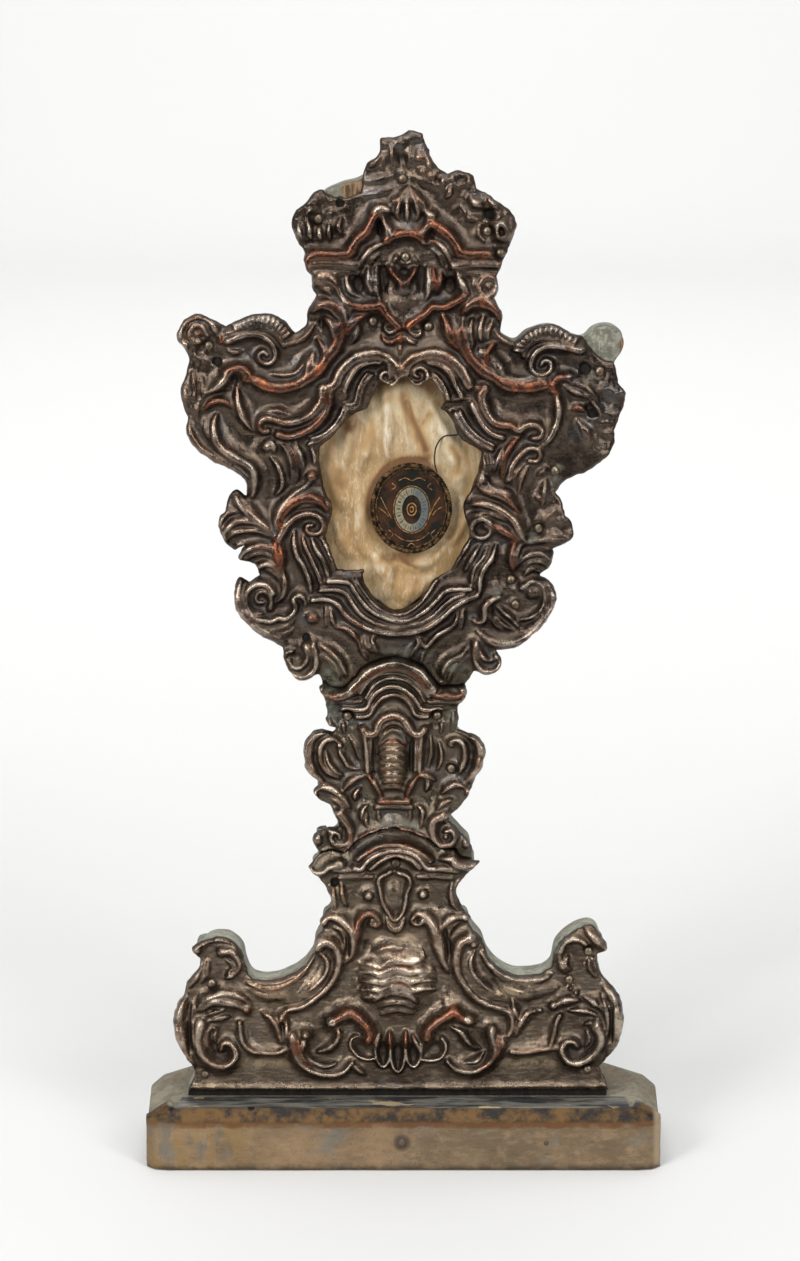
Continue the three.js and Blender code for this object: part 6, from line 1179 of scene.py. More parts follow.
foot_pits = [
    (-2.2, 41, 2.3, 5.6, 1.6), (-8, 42.6, 2.3, 5, 1.5, 0.1), (4, 42.6, 2.3, 5, 1.5, -0.1),
    (-16, 45, 3.4, 3.8, 1.4), (12, 44.4, 3.4, 3.8, 1.4), (-71.6, 46, 8, 8, 1.3), (69.4, 46.6, 8, 8, 1.3),
    (-31, 44.6, 8, 8, 1.4), (28, 45, 8, 8, 1.4), (-54.6, 51, 6.4, 6.4, 0.9), (51.4, 51.4, 5.8, 5.6, 0.9),
    (-66, 78.6, 3, 6, 1, 0.4), (-83.2, 53, 0.9, 13, 1.6), (81, 56, 0.8, 11, 1.2), (-21.4, 87, 1.2, 6, 1.4),
    (17, 88, 1.4, 7, 1.2, 0.2), (-47.4, 54, 1, 3, 1, 0.4), (-69.4, 42.4, 1.4, 1.4, 0.6),
    (64.8, 43.2, 1.4, 1.4, 0.6), (-83.6, 50.6, 0.8, 9, 0.8), (80.8, 54, 0.8, 8, 0.8),
    (-13.6, 85.6, 2, 3, 0.5), (-29.6, 64.6, 2, 2, 0.5), (-74.6, 70.8, 2.4, 2.4, 0.7),
    (64.6, 72.4, 2.4, 2.4, 0.7), (71.6, 84, 2.4, 2.4, 0.7), (-77.8, 33.6, 2.4, 2.4, 0.7),
    (72, 35.6, 2.4, 2.4, 0.7),
]
foot_crumples = [
    (-78, 76, 7, 9, 0.8), (66, 80, 9, 8, 0.8), (80, 60, 6, 12, 0.6), (-86, 50, 5, 14, 0.6),
    (-25, 104, 6, 8, 0.7), (20, 106, 6, 9, 0.7), (80, 32, 6, 6, 0.8), (-80, 32, 6, 6, 0.5),
]


def value_noise(x, z, size, seed):
    """Smooth noise from -1 to 1 over arrays of x and z, with lumps about size across."""
    cells = 97
    lattice = np.random.RandomState(seed).uniform(-1, 1, (cells, cells))
    u, v = x / size + 40, z / size + 40
    i, j = np.floor(u).astype(int), np.floor(v).astype(int)
    s, t = u - i, v - j
    s, t = s * s * (3 - 2 * s), t * t * (3 - 2 * t)
    i, j, i_next, j_next = i % cells, j % cells, (i + 1) % cells, (j + 1) % cells
    low = lattice[i, j] * (1 - s) + lattice[i_next, j] * s
    high = lattice[i, j_next] * (1 - s) + lattice[i_next, j_next] * s
    return low * (1 - t) + high * t


def soften(field, passes):
    for _ in range(passes):
        padded = np.pad(field, 1, mode="edge")
        field = 0.25 * padded[:-2, 1:-1] + 0.5 * field + 0.25 * padded[2:, 1:-1]
        padded = np.pad(field, 1, mode="edge")
        field = 0.25 * padded[1:-1, :-2] + 0.5 * padded[1:-1, 1:-1] + 0.25 * padded[1:-1, 2:]
    return field


def inside(loop, x, z):
    """True where the points of two equal arrays lie inside a closed loop."""
    result = np.zeros(x.shape, bool)
    for (x0, z0), (x1, z1) in zip(loop, np.roll(loop, -1, axis=0)):
        if z0 == z1:
            continue
        rows = (z >= min(z0, z1)) & (z < max(z0, z1))
        result[rows] ^= x[rows] < x0 + (z[rows] - z0) * (x1 - x0) / (z1 - z0)
    return result


def fall(distance, power=1):
    """1 in the middle of a form, 0 from its edge outwards."""
    return np.clip(1 - distance * distance, 0, 1) ** power


class Relief:
    """A height field over a sheet, on a square grid: its rows run up and its columns to the right."""

    body_share, skirt_share = 0.58, 0.42  # of a form's height
    skirt_reach, form_reach = 2.4, 2.6  # half widths
    spread, unevenness = 1.42, 0.14  # of a tool mark's half width
    stroke_groove, dome_groove = 0.16, 0.2  # beside the form
    groove_middle, groove_half = 1.5, 0.6  # half widths
    copper_reach = 1.3  # half widths
    end_width, end_height = 0.35, 0.45  # of a rolled mark
    broad_form = 4.5  # a dome past this size carries the smaller forms
    stroke_spacing, rib_spacing = 0.3, 0.25
    body_width, body_lift = 2.4, 0.75  # all forms together lift the sheet round them

    def __init__(self, outline, cell, seed, ground=sheet_thickness):
        self.cell = cell
        self.ground = ground
        self.seed = seed
        self.low = outline.min(axis=0) - 2 * cell
        count = np.ceil((outline.max(axis=0) + 2 * cell - self.low) / cell).astype(int) + 1
        self.x, self.z = np.meshgrid(*(low + cell * np.arange(n) for low, n in zip(self.low, count)))
        self.swell = 0.3 * value_noise(self.x, self.z, 9, seed)
        self.swell += 0.14 * value_noise(self.x, self.z, 3.1, seed + 1)
        self.height = ground + self.swell
        self.copper = np.zeros(self.x.shape)
        self.green = np.zeros(self.x.shape)
        self.rubbed_and_highlit = np.zeros(self.x.shape)

    def window(self, points, reach):
        first = np.maximum(((points.min(axis=0) - reach - self.low) / self.cell).astype(int), 0)
        last = ((points.max(axis=0) + reach - self.low) / self.cell).astype(int) + 2
        return np.s_[first[1]:max(last[1], first[1]), first[0]:max(last[0], first[0])]

    def around(self, x, z, half_width, half_height, turn=0, reach=1.0):
        """The part of the grid round a spot, and how far off its points are: 1 at the spot's edge."""
        part = self.window(np.array([[x, z]]), reach * max(half_width, half_height))
        dx, dz = self.x[part] - x, self.z[part] - z
        across = dx * math.cos(turn) + dz * math.sin(turn)
        up = dz * math.cos(turn) - dx * math.sin(turn)
        return part, np.hypot(across / half_width, up / half_height)

    def off_path(self, path, part):
        """How far the grid's points are from a path, and how far along it, from 0 to 1."""
        away = np.hypot(self.x[part][..., None] - path[:, 0], self.z[part][..., None] - path[:, 1])
        return away.min(axis=-1), away.argmin(axis=-1) / (len(path) - 1)

    def raise_form(self, part, off, height, bare, power, groove):
        """off is 0 on the crest of the form and 1 at its edge."""
        ring = np.clip(1 - np.abs(off - self.groove_middle) / self.groove_half, 0, 1)
        self.height[part] -= groove * ring * ring * (3 - 2 * ring)
        skirt = np.clip(1 - (off / self.skirt_reach) ** 2, 0, 1) ** 2
        form = self.body_share * fall(off, power) + self.skirt_share * skirt
        level = self.ground + self.swell[part] + height * form
        won = (off < self.form_reach) & (level > self.height[part])
        self.height[part] = np.where(won, level, self.height[part])
        shown = won & (off < self.copper_reach)
        self.copper[part] = np.where(shown, bare * np.clip(1.5 - off, 0, 1), self.copper[part])

    def stroke(self, kind, half_width, height, bare, points):
        path = spline([(x, z + lean * (0.5 + height)) for x, z in points], self.stroke_spacing)
        part = self.window(path, 3 * half_width + 1)
        if not self.x[part].size:
            return
        distance, along = self.off_path(path, part)
        length = self.stroke_spacing * (len(path) - 1)
        to_end = np.minimum(along, 1 - along) * length
        if kind == "roll":
            full = np.clip(to_end / min(5 * half_width, 0.5 * length), 0, 1) ** 0.6
            width = self.end_width + (1 - self.end_width) * full
            tall = self.end_height + (1 - self.end_height) * full
        elif kind == "tail":
            full = 1 - 0.5 * along
            width, tall = full, 0.5 + 0.5 * full
        else:
            width, tall = 1.0, 1.0
        beaten = value_noise(self.x[part], self.z[part], 2.3, self.seed + 2)
        beaten = self.spread * (1 + self.unevenness * beaten)
        off = distance / (half_width * width * beaten)
        self.raise_form(part, off, height * tall, bare, 1.1, self.stroke_groove)

    def dome(self, x, z, half_width, half_height, height, bare=0, turn=0):
        z += lean * (0.5 + height)
        part, off = self.around(x, z, half_width, half_height, turn, 2.3)
        if max(half_width, half_height) > self.broad_form:
            lift = height * fall(off, 1.1)
            self.swell[part] += lift
            self.height[part] += lift
        else:
            self.raise_form(part, off, height, bare, 0.8, self.dome_groove)

    def pit(self, x, z, half_width, half_height, depth, turn=0):
        part, off = self.around(x, z, half_width, half_height, turn, 1.2)
        self.height[part] -= depth * fall(off, 0.8)

    def ribs(self, half_width, count, height, points):
        path = spline([(x, z + lean * (0.5 + height)) for x, z in points], self.rib_spacing)
        part = self.window(path, half_width + 1)
        distance, along = self.off_path(path, part)
        off = distance / half_width
        comb = np.abs(np.sin(math.pi * count * along)) ** 0.7
        form = height * np.clip(1 - off ** 4, 0, 1) ** 0.7 * (0.1 + 0.9 * comb)
        level = self.ground + self.swell[part] + form
        inside_band = (off < 1) & (along > 0.004) & (along < 0.996)
        self.height[part] = np.where(inside_band, np.maximum(level, self.height[part]), self.height[part])

    def tint(self, field, half_width, strength, points):
        """Colour a band of the sheet whatever its height."""
        path = spline(points, 0.4)
        part = self.window(path, 1.3 * half_width)
        distance, _ = self.off_path(path, part)
        field[part] = np.maximum(field[part], strength * np.clip(1.3 - distance / half_width, 0, 1))

    def stain(self, field, spots, edge, ragged_by=0.0):
        """Colour spots of x, z, half width, half height and strength, with a soft or ragged edge."""
        for x, z, half_width, half_height, strength in spots:
            off = np.hypot((self.x - x) / half_width, (self.z - z) / half_height)
            if ragged_by:
                off += ragged_by * value_noise(self.x, self.z, 2.6, self.seed + 2)
            np.maximum(field, strength * np.clip(edge - off, 0, 1), out=field)

    def crumple(self, x, z, half_width, half_height, depth):
        part, off = self.around(x, z, half_width, half_height)
        x, z = self.x[part], self.z[part]
        lumps = 0.5 * value_noise(x, z, 2.4, self.seed + 3)
        lumps += 0.9 * (0.5 - np.abs(value_noise(x, z, 4.2, self.seed + 4)))
        lumps += 0.4 * (0.4 - np.abs(value_noise(x, z, 1.9, self.seed + 5)))
        self.height[part] += depth * fall(off) * lumps

    def emboss(self, strokes, domes, pits, crumples, ribs, breadth, boldness):
        """Beat up the broad domes, then the strokes and small domes, and last the pits and crumples."""
        broad = [form for form in domes if max(form[2], form[3]) > self.broad_form]
        small = [form for form in domes if form not in broad]
        for form in broad:
            self.dome(*form)
        for kind, half_width, height, bare, points in strokes:
            self.stroke(kind, breadth * half_width, boldness * height, bare, points)
        for form in ribs:
            self.ribs(*form)
        for form in small:
            self.dome(*form)
        risen = np.maximum(self.height - self.ground - self.swell, 0)
        self.height += self.body_lift * soften(risen, round((self.body_width / self.cell) ** 2))
        for form in pits:
            self.pit(*form)
        for form in crumples:
            self.crumple(*form)


rim_spacing = 0.12  # of the points of the rim's line
rim_catch = 1.6  # cells within which a point of the edge is moved on to that line
rim_round = 0.8
rim_thickness, least_thickness = 0.5, 0.45
rim_share = 0.12  # of the height above it that is left at the rim
soft_share = 0.25  # of the greatest height, below which the crests are flattened
mean_reach = 1.6  # of the mean level that crests and hollows are measured from
crest_lift, hollow_depth = 1.1, 0.8  # above and below that level, for full marks
# high ground also takes the crests' silver and their painted highlight
high_level, high_share = 3.4, 0.16  # high ground is worn too


def cells_inside(relief, outline, holes):
    """The grid's cells that lie in the sheet."""
    x, z = relief.x[:-1, :-1] + relief.cell / 2, relief.z[:-1, :-1] + relief.cell / 2
    kept = inside(outline, x, z)
    for hole in holes:
        kept &= ~inside(hole, x, z)
    # a cell that touches the rest by a corner only, or by one side only, would leave a loose or pinched edge
    for _ in range(3):
        around = np.pad(kept, 1).astype(int)
        kept &= around[:-2, 1:-1] + around[2:, 1:-1] + around[1:-1, :-2] + around[1:-1, 2:] >= 2
        around = np.pad(kept, 1)
        a, b, c, d = around[:-1, :-1], around[:-1, 1:], around[1:, 1:], around[1:, :-1]
        for row, column in zip(*np.nonzero((a & c & ~b & ~d) | (b & d & ~a & ~c))):
            kept[max(row - 1, 0):row + 1, max(column - 1, 0):column + 1] = False
    return kept


def sheet_mesh(name, relief, outline, holes, top, back):
    """The sheet as a closed mesh: its embossed face, its rim, and a flat back."""
    rim_line = np.vstack([at_stations(closed, np.arange(0, run_of(closed)[-1], rim_spacing))
                          for closed in (np.vstack([loop, loop[:1]]) for loop in [outline, *holes])])
    tree = KDTree(len(rim_line))
    for index, (x, z) in enumerate(rim_line):
        tree.insert((x, z, 0), index)
    tree.balance()
    kept = cells_inside(relief, outline, holes)
    x, z = relief.x, relief.z
    corners = np.zeros(x.shape, int)
    for part in (np.s_[:-1, :-1], np.s_[1:, :-1], np.s_[:-1, 1:], np.s_[1:, 1:]):
        corners[part] += kept
    used = corners > 0
    edge = used & (corners < 4)
    # points of the edge are moved on to the line of the rim, and the face comes down to it in a curve
    place = np.stack([x, z], axis=-1)
    rise = np.ones(x.shape)
    for row, column in zip(*np.nonzero(used & ~(soften((corners == 4).astype(float), 5) > 0.9999))):
        target, _, away = tree.find((x[row, column], z[row, column], 0))
        if edge[row, column] and away < rim_catch * relief.cell:
            place[row, column] = target[:2]
            away = 0
        rise[row, column] = min(1, away / rim_round)
    rise = np.sqrt(1 - (1 - rise) ** 2)
    height = soften(relief.height, 1)
    soft = soft_share * top
    over = np.maximum(height - (top - soft), 0)
    height = np.maximum(height - over + soft * np.tanh(over / soft), least_thickness)
    height = rim_thickness + (height - rim_thickness) * (rim_share + (1 - rim_share) * rise)
    broad = soften(height, round((mean_reach / relief.cell) ** 2))
    lift = height - broad
    number = -np.ones(x.shape, int)
    number[used] = np.arange(used.sum())
    front = np.stack([place[used][:, 0], back - height[used], place[used][:, 1]], axis=1)
    rows, columns = np.nonzero(kept)
    quads = np.stack([number[rows, columns], number[rows, columns + 1], number[rows + 1, columns + 1],
                      number[rows + 1, columns]], axis=1)
    sides = set(map(tuple, np.vstack([quads[:, [k, (k + 1) % 4]] for k in range(4)]).tolist()))
    following = {a: b for a, b in sides if (b, a) not in sides}
    back_of = {a: len(front) + index for index, a in enumerate(following)}
    verts = front.tolist() + [(front[a][0], back, front[a][2]) for a in following]
    faces = quads.tolist() + [(b, a, back_of[a], back_of[b]) for a, b in following.items()]
    rims = []
    waiting = set(following)
    while waiting:
        a = min(waiting)
        rim = []
        while a in waiting:
            waiting.discard(a)
            rim.append(a)
            a = following[a]
        rims.append(rim)
    rims.sort(key=len, reverse=True)
    order = [a for rim in rims for a in rim]
    flat = [[Vector((front[a][0], front[a][2], 0)) for a in rim] for rim in rims]
    for corner_numbers in tessellate_polygon(flat):
        a, b, c = [order[k] for k in corner_numbers]
        turn = np.cross(front[b][[0, 2]] - front[a][[0, 2]], front[c][[0, 2]] - front[a][[0, 2]])
        if turn > 0:
            b, c = c, b
        if turn:
            faces.append((back_of[a], back_of[b], back_of[c]))
    mesh = bpy.data.meshes.new(name)
    mesh.from_pydata((np.array(verts) * mm).tolist(), [], faces)
    fields = {"crest": np.clip(lift / crest_lift + high_share * (broad - high_level), 0, 1),
              "hollow": np.clip(-lift / hollow_depth, 0, 1), "copper": soften(relief.copper, 1),
              "green": relief.green, "rubbed_and_highlit": relief.rubbed_and_highlit}
    for label, field in fields.items():
        values = np.concatenate([field[used], np.zeros(len(following))])
        mesh.attributes.new(label, "FLOAT", "POINT").data.foreach_set("value", values.astype(np.float32))
    mesh.polygons.foreach_set("use_smooth", np.arange(len(faces)) < len(quads))
    mesh.update()
    return mesh


def tarnished_silver():
    material = new_material("tarnished_copper", Specular_IOR_Level=0.5)
    metal = Finish(material.node_tree)
    crest, hollow, copper, rubbed_and_highlit, green = map(metal.field, ("crest", "hollow", "copper", "rubbed_and_highlit", "green"))
    level = metal.axis("Z")
    broad = metal.mottle(38, 5)
    medium = metal.mottle(170, 6, 0.65)
    fine = metal.mottle(700, 5, 0.7)
    cool = metal.mottle(75, 4)
    lines = metal.mottle(900, 4, 0.65, stretch=(0.22, 1, 1))
    # tarnish: olive round the stem, grey in patches, browner and brushed on the foot
    metal.colour = metal.mix(metal.step(broad, 0.35, 0.65), (0.038, 0.026, 0.02), (0.085, 0.062, 0.047))
    stem = metal.times(metal.step(level, 0.207, 0.196), metal.step(level, 0.09, 0.12))
    metal.coat((0.105, 0.088, 0.058), stem, 0.45)
    metal.coat((0.075, 0.075, 0.078), metal.step(cool, 0.5, 0.66), 0.6)
    low = metal.times(metal.step(level, 0.14, 0.09), metal.step(broad, 0.38, 0.62, 0.35, 1))
    metal.coat((0.115, 0.085, 0.057), low, 0.55)
    metal.coat((0.25, 0.19, 0.13), metal.times(low, metal.step(lines, 0.47, 0.6)), 0.65)
    metal.coat((0.12, 0.09, 0.066), metal.step(medium, 0.44, 0.62), 0.5)
    metal.coat((0.2, 0.155, 0.11), metal.step(lines, 0.5, 0.66), 0.35)
    flank = metal.times(metal.step(crest, 0.12, 0.45), metal.step(broad, 0.4, 0.6))
    metal.coat((0.15, 0.075, 0.042), flank, 0.6)
    # metal rubbed bare, brightened further as a painted highlight, and silver on the crests, partly silver
    # left there and partly a painted highlight
    bright = metal.mix(metal.step(rubbed_and_highlit, 0.75, 1), (0.3, 0.225, 0.14), (0.62, 0.53, 0.42))
    metal.coat(bright, metal.times(rubbed_and_highlit, metal.step(medium, 0.4, 0.6)))
    crest_silver_and_highlight = metal.times(metal.step(crest, 0.35, 0.95), metal.step(medium, 0.34, 0.64))
    metal.coat((0.48, 0.4, 0.32), crest_silver_and_highlight, 0.75)
    # copper where the silver is worn through
    worn = metal.calc("ADD", metal.times(copper, 1.3), metal.times(crest, 0.1))
    worn = metal.calc("ADD", worn, metal.times(metal.calc("SUBTRACT", medium, 0.505), 3.2))
    red = metal.mix(metal.step(fine, 0.4, 0.62), (0.05, 0.017, 0.009), (0.15, 0.045, 0.019))
    glowing = metal.times(metal.step(broad, 0.52, 0.62), metal.step(worn, 1.2, 1.6))
    metal.coat(metal.mix(glowing, red, (0.36, 0.095, 0.03)), metal.step(worn, 0.7, 1.15), 0.85)
    # dirt and painted shade in the hollows, dark specks, and verdigris
    metal.coat((0.014, 0.01, 0.009), metal.step(hollow, 0.2, 0.9), 0.65)
    metal.coat((0.02, 0.015, 0.012), metal.step(fine, 0.58, 0.72), 0.5)
    crust = metal.times(green, metal.step(medium, 0.4, 0.6))
    crust = metal.times(crust, metal.step(crest, 0.7, 0.25, 0.25, 0.85))
    metal.coat(metal.mix(metal.step(fine, 0.46, 0.62), (0.012, 0.019, 0.012), (0.06, 0.095, 0.058)), crust)
    rough = metal.calc("ADD", metal.step(medium, 0.3, 0.7, 0.17, 0.33), metal.times(hollow, 0.25))
    pits = metal.bump(fine, 0.4, 0.0004)
    metal.dress(Roughness=metal.calc("ADD", rough, metal.times(crust, 0.5)),
                Metallic=metal.step(crust, 0, 0.6, 0.9, 0.1), Normal=metal.bump(medium, 0.5, 0.001, pits))
    return material


coarse_play, fine_play = 0.3, 0.22


def ragged(loop):
    """The loop pushed about a little, the same way for two sheets that meet."""
    x, z = loop.T
    coarse = np.stack([value_noise(x, z, 3.1, 71), value_noise(x, z, 3.1, 72)], axis=1)
    fine = np.stack([value_noise(x, z, 1.3, 73), value_noise(x, z, 1.3, 74)], axis=1)
    return loop + coarse_play * coarse + fine_play * fine


def round_loop(x, z, radius, count=20):
    turn = np.linspace(0, 2 * math.pi, count, endpoint=False)
    return np.stack([x + radius * np.cos(turn), z + radius * np.sin(turn)], axis=1)


def within(outline, spot):
    """True if a spot, given by its x and z and maybe a size, lies inside the outline."""
    return inside(outline, np.array([spot[0]]), np.array([spot[1]]))[0]


sheet_material = tarnished_silver()
nail_places = [
    (-0.4, 383.6), (-31.8, 368.7), (0.7, 354.6), (31.2, 364.1), (36.2, 356), (-72.9, 321.2), (73.6, 311.4),
    (-11.4, 330.4), (9.3, 328.4), (57, 273.5), (51.1, 251.3), (42.5, 221.8), (40.8, 231.5), (-21.4, 178.1),
    (12.9, 178.3), (18.3, 157.2), (-3, 119.6), (-74.5, 70.9), (-77.6, 33.6), (64.5, 72.4), (71.8, 84),
    (72, 35.6),
]
# the sheet is flat under a nail's head and comes up round it
seat_radius, seat_slope, seat_height, seat_reach = 2, 1.4, 1.3, 3.6
# empty nail holes: x, z, radius
stray_holes = [
    (-23.5, 374.5, 1.3), (31.5, 370.6, 1.5), (-69.9, 315.1, 1.6), (68.2, 312.2, 2), (71, 295.5, 1.6),
    (-37.2, 208.9, 1.3), (-26.7, 111.8, 1.3),
]
verdigris = [
    # x, z, half width, half height, strength
    (-27, 193.5, 3.4, 4, 0.9), (20, 196, 3.6, 4.4, 0.8), (47.6, 248.4, 3.4, 2.4, 0.9),
    (57, 273, 3.4, 3, 0.7), (-28.6, 180, 2.4, 4.6, 0.9), (19.4, 179, 2.4, 4.4, 0.6),
    (-30.5, 187.4, 2.2, 2.6, 0.7), (36, 226, 2.6, 5, 0.5), (-32.6, 126, 2.6, 3, 0.5), (0, 203, 10, 2, 0.5),
    (-1, 135.6, 9, 1.8, 0.5), (27.6, 122.6, 3, 2, 0.5), (-1, 377, 3, 2, 0.4), (69, 311, 3.6, 3, 0.5),
    (-20, 114, 3.4, 2.4, 0.5), (-46, 205.6, 3, 3, 0.4), (40, 203, 3, 2.4, 0.4),
]
# crests worn to copper, then crests and edges rubbed bright and painted with highlights: half width,
# strength, points
copper_bands = [
    (1.3, 1, [(-19, 189.2), (-15.6, 192.8), (-11.6, 195.8), (-7.6, 197.4), (-2.8, 197.8), (1.6, 196.8),
        (5.4, 194.2), (9, 190.4)]),
    (0.9, 0.9, [(-29, 186.6), (-21.6, 187)]), (0.9, 0.8, [(12, 187), (23, 186.8)]),
    (0.8, 0.8, [(-9.2, 175.6), (-7.4, 177.8), (-4, 178.6), (-0.6, 177)]),
    (1.2, 0.9, [(-9, 166.6), (-6, 169), (-2.4, 168.8), (0.6, 166.6)]),
    (0.9, 0.8, [(-9.2, 161.8), (-5, 160.6), (-1, 161), (1.4, 158.4)]),
    (0.9, 0.8, [(-8, 156.6), (-4, 157.6), (0, 156.8)]),
    (1.2, 0.8, [(-7, 151.6), (-3.6, 152.8), (-0.6, 151.6)]),
    (1, 0.8, [(-6.6, 148.8), (-4, 149.4), (-1.8, 148.6)]),
    (0.8, 1, [(-10, 77.4), (-6, 79.4), (-3, 79.8), (1, 79.4), (4, 78.2)]),
    (0.7, 0.9, [(-9, 70.2), (-5, 72.2), (-1, 72.8), (1.6, 71.6), (3.4, 70)]),
    (0.6, 0.8, [(-9, 66), (-5, 68.2), (-1, 68.6), (3, 66.8)]),
    (1.5, 0.7, [(-48.6, 51.6), (-50.6, 56), (-53.6, 58.6)]), (1, 0.8, [(-47.6, 55.6), (-46.2, 60)]),
    (1.6, 0.8, [(-43, 48), (-41, 42), (-37.4, 38)]),
    (1.6, 0.8, [(37.6, 49), (37, 44), (34.6, 39.6), (30.6, 36.6)]),
    (1, 0.6, [(-22.4, 92), (-20.6, 86), (-22, 80.4)]),
    (0.8, 0.7, [(-26.4, 84), (-26.6, 78), (-29.6, 72.4), (-34, 67.6)]),
    (0.8, 0.7, [(21.4, 84), (21.6, 77.6), (24.6, 71.6)]), (1.4, 0.6, [(-66, 62.6), (-63, 61.4)]),
    (1, 0.6, [(60, 63.6), (64.4, 64.6), (69, 64)]), (0.8, 0.6, [(-76, 52), (-77.4, 47), (-75.4, 42.6)]),
    (1, 0.6, [(73.6, 50), (74, 45.6), (71.4, 42)]), (1, 0.6, [(66, 47), (68.6, 44.6)]),
    (1, 0.6, [(-70.4, 44.6), (-68.6, 42.6)]), (1, 0.6, [(13.6, 92), (14.4, 88)]),
    (0.9, 0.6, [(24.6, 89.4), (27.4, 86)]), (1.3, 0.9, [(5.6, 366), (9, 362.6), (11, 360.4)]),
    (1, 0.9, [(-17, 121), (-13.6, 124.6), (-9, 127), (-3, 128.6), (4, 127), (8, 124.6), (10, 122)]),
]
rubbed_and_highlight_bands = [
    (1, 1, [(-20.6, 190.2), (-17, 193.6), (-14, 195.8)]),
    (1, 1, [(8.4, 193.6), (10.8, 190.8), (12.8, 188.2)]),
    (0.8, 0.8, [(-7.8, 170.6), (-5.8, 172.4), (-3, 172.8)]),
    (0.7, 0.9, [(-10.6, 173.6), (-9, 176.6), (-6.6, 178.6)]),
    (0.9, 1.2, [(-17, 79.4), (-12, 79.4), (-9, 79)]), (1.6, 1.3, [(1.6, 81.6), (5, 81.4), (7.4, 81)]),
    (1.2, 1.2, [(-16.4, 75.8), (-12, 76.4), (-9, 75.8)]), (0.9, 1.1, [(-15, 72.4), (-9, 73), (-4, 74.2)]),
    (0.9, 1.1, [(0, 74), (4, 73.4), (10, 73)]), (1.1, 1.1, [(-16, 69), (-11, 69.6), (-8, 69.8)]),
    (1, 1.1, [(2.6, 70.4), (6, 70), (11.6, 69.2)]), (0.7, 0.8, [(-13, 66.4), (-9, 68)]),
    (0.6, 0.5, [(-8, 63), (-3, 64.6), (3, 63)]),
    (0.7, 0.8, [(-24, 61), (-20.4, 61), (-16, 58.6), (-12.2, 54.6), (-11.2, 51)]),
    (0.7, 0.8, [(7.4, 51), (9.6, 55), (14, 58.6), (18.4, 61.4)]),
    (0.6, 0.7, [(-38.6, 37), (-35, 34.8), (-31, 34)]), (0.6, 0.7, [(31, 36.4), (34.6, 38.8), (36.4, 42)]),
    (1.2, 1, [(-29.6, 55.6), (-26.6, 56.6)]), (1.2, 1, [(24, 57), (26.6, 56.4)]),
    (0.6, 0.6, [(-84, 28.4), (-40, 28.2), (0, 28.3), (40, 28.8), (80, 29)]),
]
# broad patches rubbed bare and painted with highlights: x, z, half width, half height, strength
rubbed_and_highlight_patches = [
    (-55, 38.6, 10, 2.6, 0.8), (50, 38.2, 10, 2.4, 0.6), (-48, 65, 12, 3, 0.5), (43, 69, 8, 3.4, 0.8),
    (-70, 30, 10, 2, 0.3), (-12.6, 77.4, 4.4, 4.4, 0.5), (5.2, 80.6, 4, 2.8, 1), (5.6, 73, 5, 2.4, 0.5),
    (-12.4, 68.4, 4, 2.4, 0.4), (-3, 90, 9, 2, 0.4), (7.6, 76.6, 5, 3, 0.95), (-51, 281, 8, 3, 0.3),
    (52, 291, 9, 2.4, 0.3), (-4, 160, 4, 10, 0.5), (-60, 290, 8, 3, 0.25), (0, 27.6, 90, 0.8, 0.7),
    (2, 386, 8, 3, 0.2), (-2, 317, 9, 2.6, 0.25),
]
sheet_parts = [
    # name, outline, cell of the grid, tool marks, what it replaces, greatest height, and how much broader and
    # bolder its strokes are made
    ("head", head_outline, 0.5, (head_strokes, head_domes, head_pits, head_crumples, head_ribs), "head_sheet",
     6.4, 1.06, 1.05),
    ("stem", stem_outline, 0.34, (stem_strokes, stem_domes, stem_pits, stem_crumples, ()), "stem_sheet",
     6.6, 1.12, 1.1),
    ("foot", foot_outline, 0.4, (foot_strokes, foot_domes, foot_pits, foot_crumples, ()), "foot_sheet",
     8.2, 1.3, 1.2),
]
for index, (part_name, outline, cell, marks, replaced, top, breadth, boldness) in enumerate(sheet_parts):
    outline = ragged(outline)
    relief = Relief(outline, cell, 20 * index + 3)
    relief.stain(relief.green, verdigris, 1.6)
    relief.stain(relief.rubbed_and_highlit, rubbed_and_highlight_patches, 1.5)
    relief.emboss(*marks, breadth, boldness)
    for field, bands in ((relief.copper, copper_bands), (relief.rubbed_and_highlit, rubbed_and_highlight_bands)):
        for half_width, strength, points in bands:
            relief.tint(field, half_width, strength, points)
    for x, z in nail_places:
        if within(outline, (x, z)):
            around = relief.window(np.array([[x, z]]), seat_reach)
            away = np.hypot(relief.x[around] - x, relief.z[around] - z)
            level = np.clip((away - seat_radius) / seat_slope, 0, 1)
            relief.height[around] = relief.height[around] * level + seat_height * (1 - level)
            relief.copper[around] *= level
    holes = [round_loop(*hole) for hole in stray_holes if within(outline, hole)]
    if replaced == "head_sheet":
        holes.append(ragged(window_outline))
    mesh = sheet_mesh(part_name + "_metal", relief, outline, holes, top, sheet_back)
    piece = link(part_name + "_metal", mesh, sheet_material)
    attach(piece, "root")
    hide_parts(replaced)


# Nails. Domed brass heads, tarnished, each with a thin shank that goes into the board. They hold the three
# sheets, mostly along their rims.
def speckles():
    """Fine specks of one colour on a ground of another, rougher where they are."""
    group = effect_group("speckles", {"Scale": "Float", "Detail": "Float", "Grit": "Float", "Low": "Float",
                                      "High": "Float", "Ground": "Color", "Speck": "Color", "Smooth": "Float",
                                      "Rough": "Float"},
                         {"Color": "Color", "Roughness": "Float", "Height": "Float"})
    finish = Finish(group)
    given = finish.node("NodeGroupInput").outputs
    spots = finish.mottle(given["Scale"], given["Detail"], given["Grit"])
    colour = finish.mix(finish.step(spots, given["Low"], given["High"]), given["Ground"], given["Speck"])
    rough = finish.step(spots, 0.3, 0.7, given["Smooth"], given["Rough"])
    finish.node("NodeGroupOutput", {"Color": colour, "Roughness": rough, "Height": spots})
    return group


speckles_group = speckles()


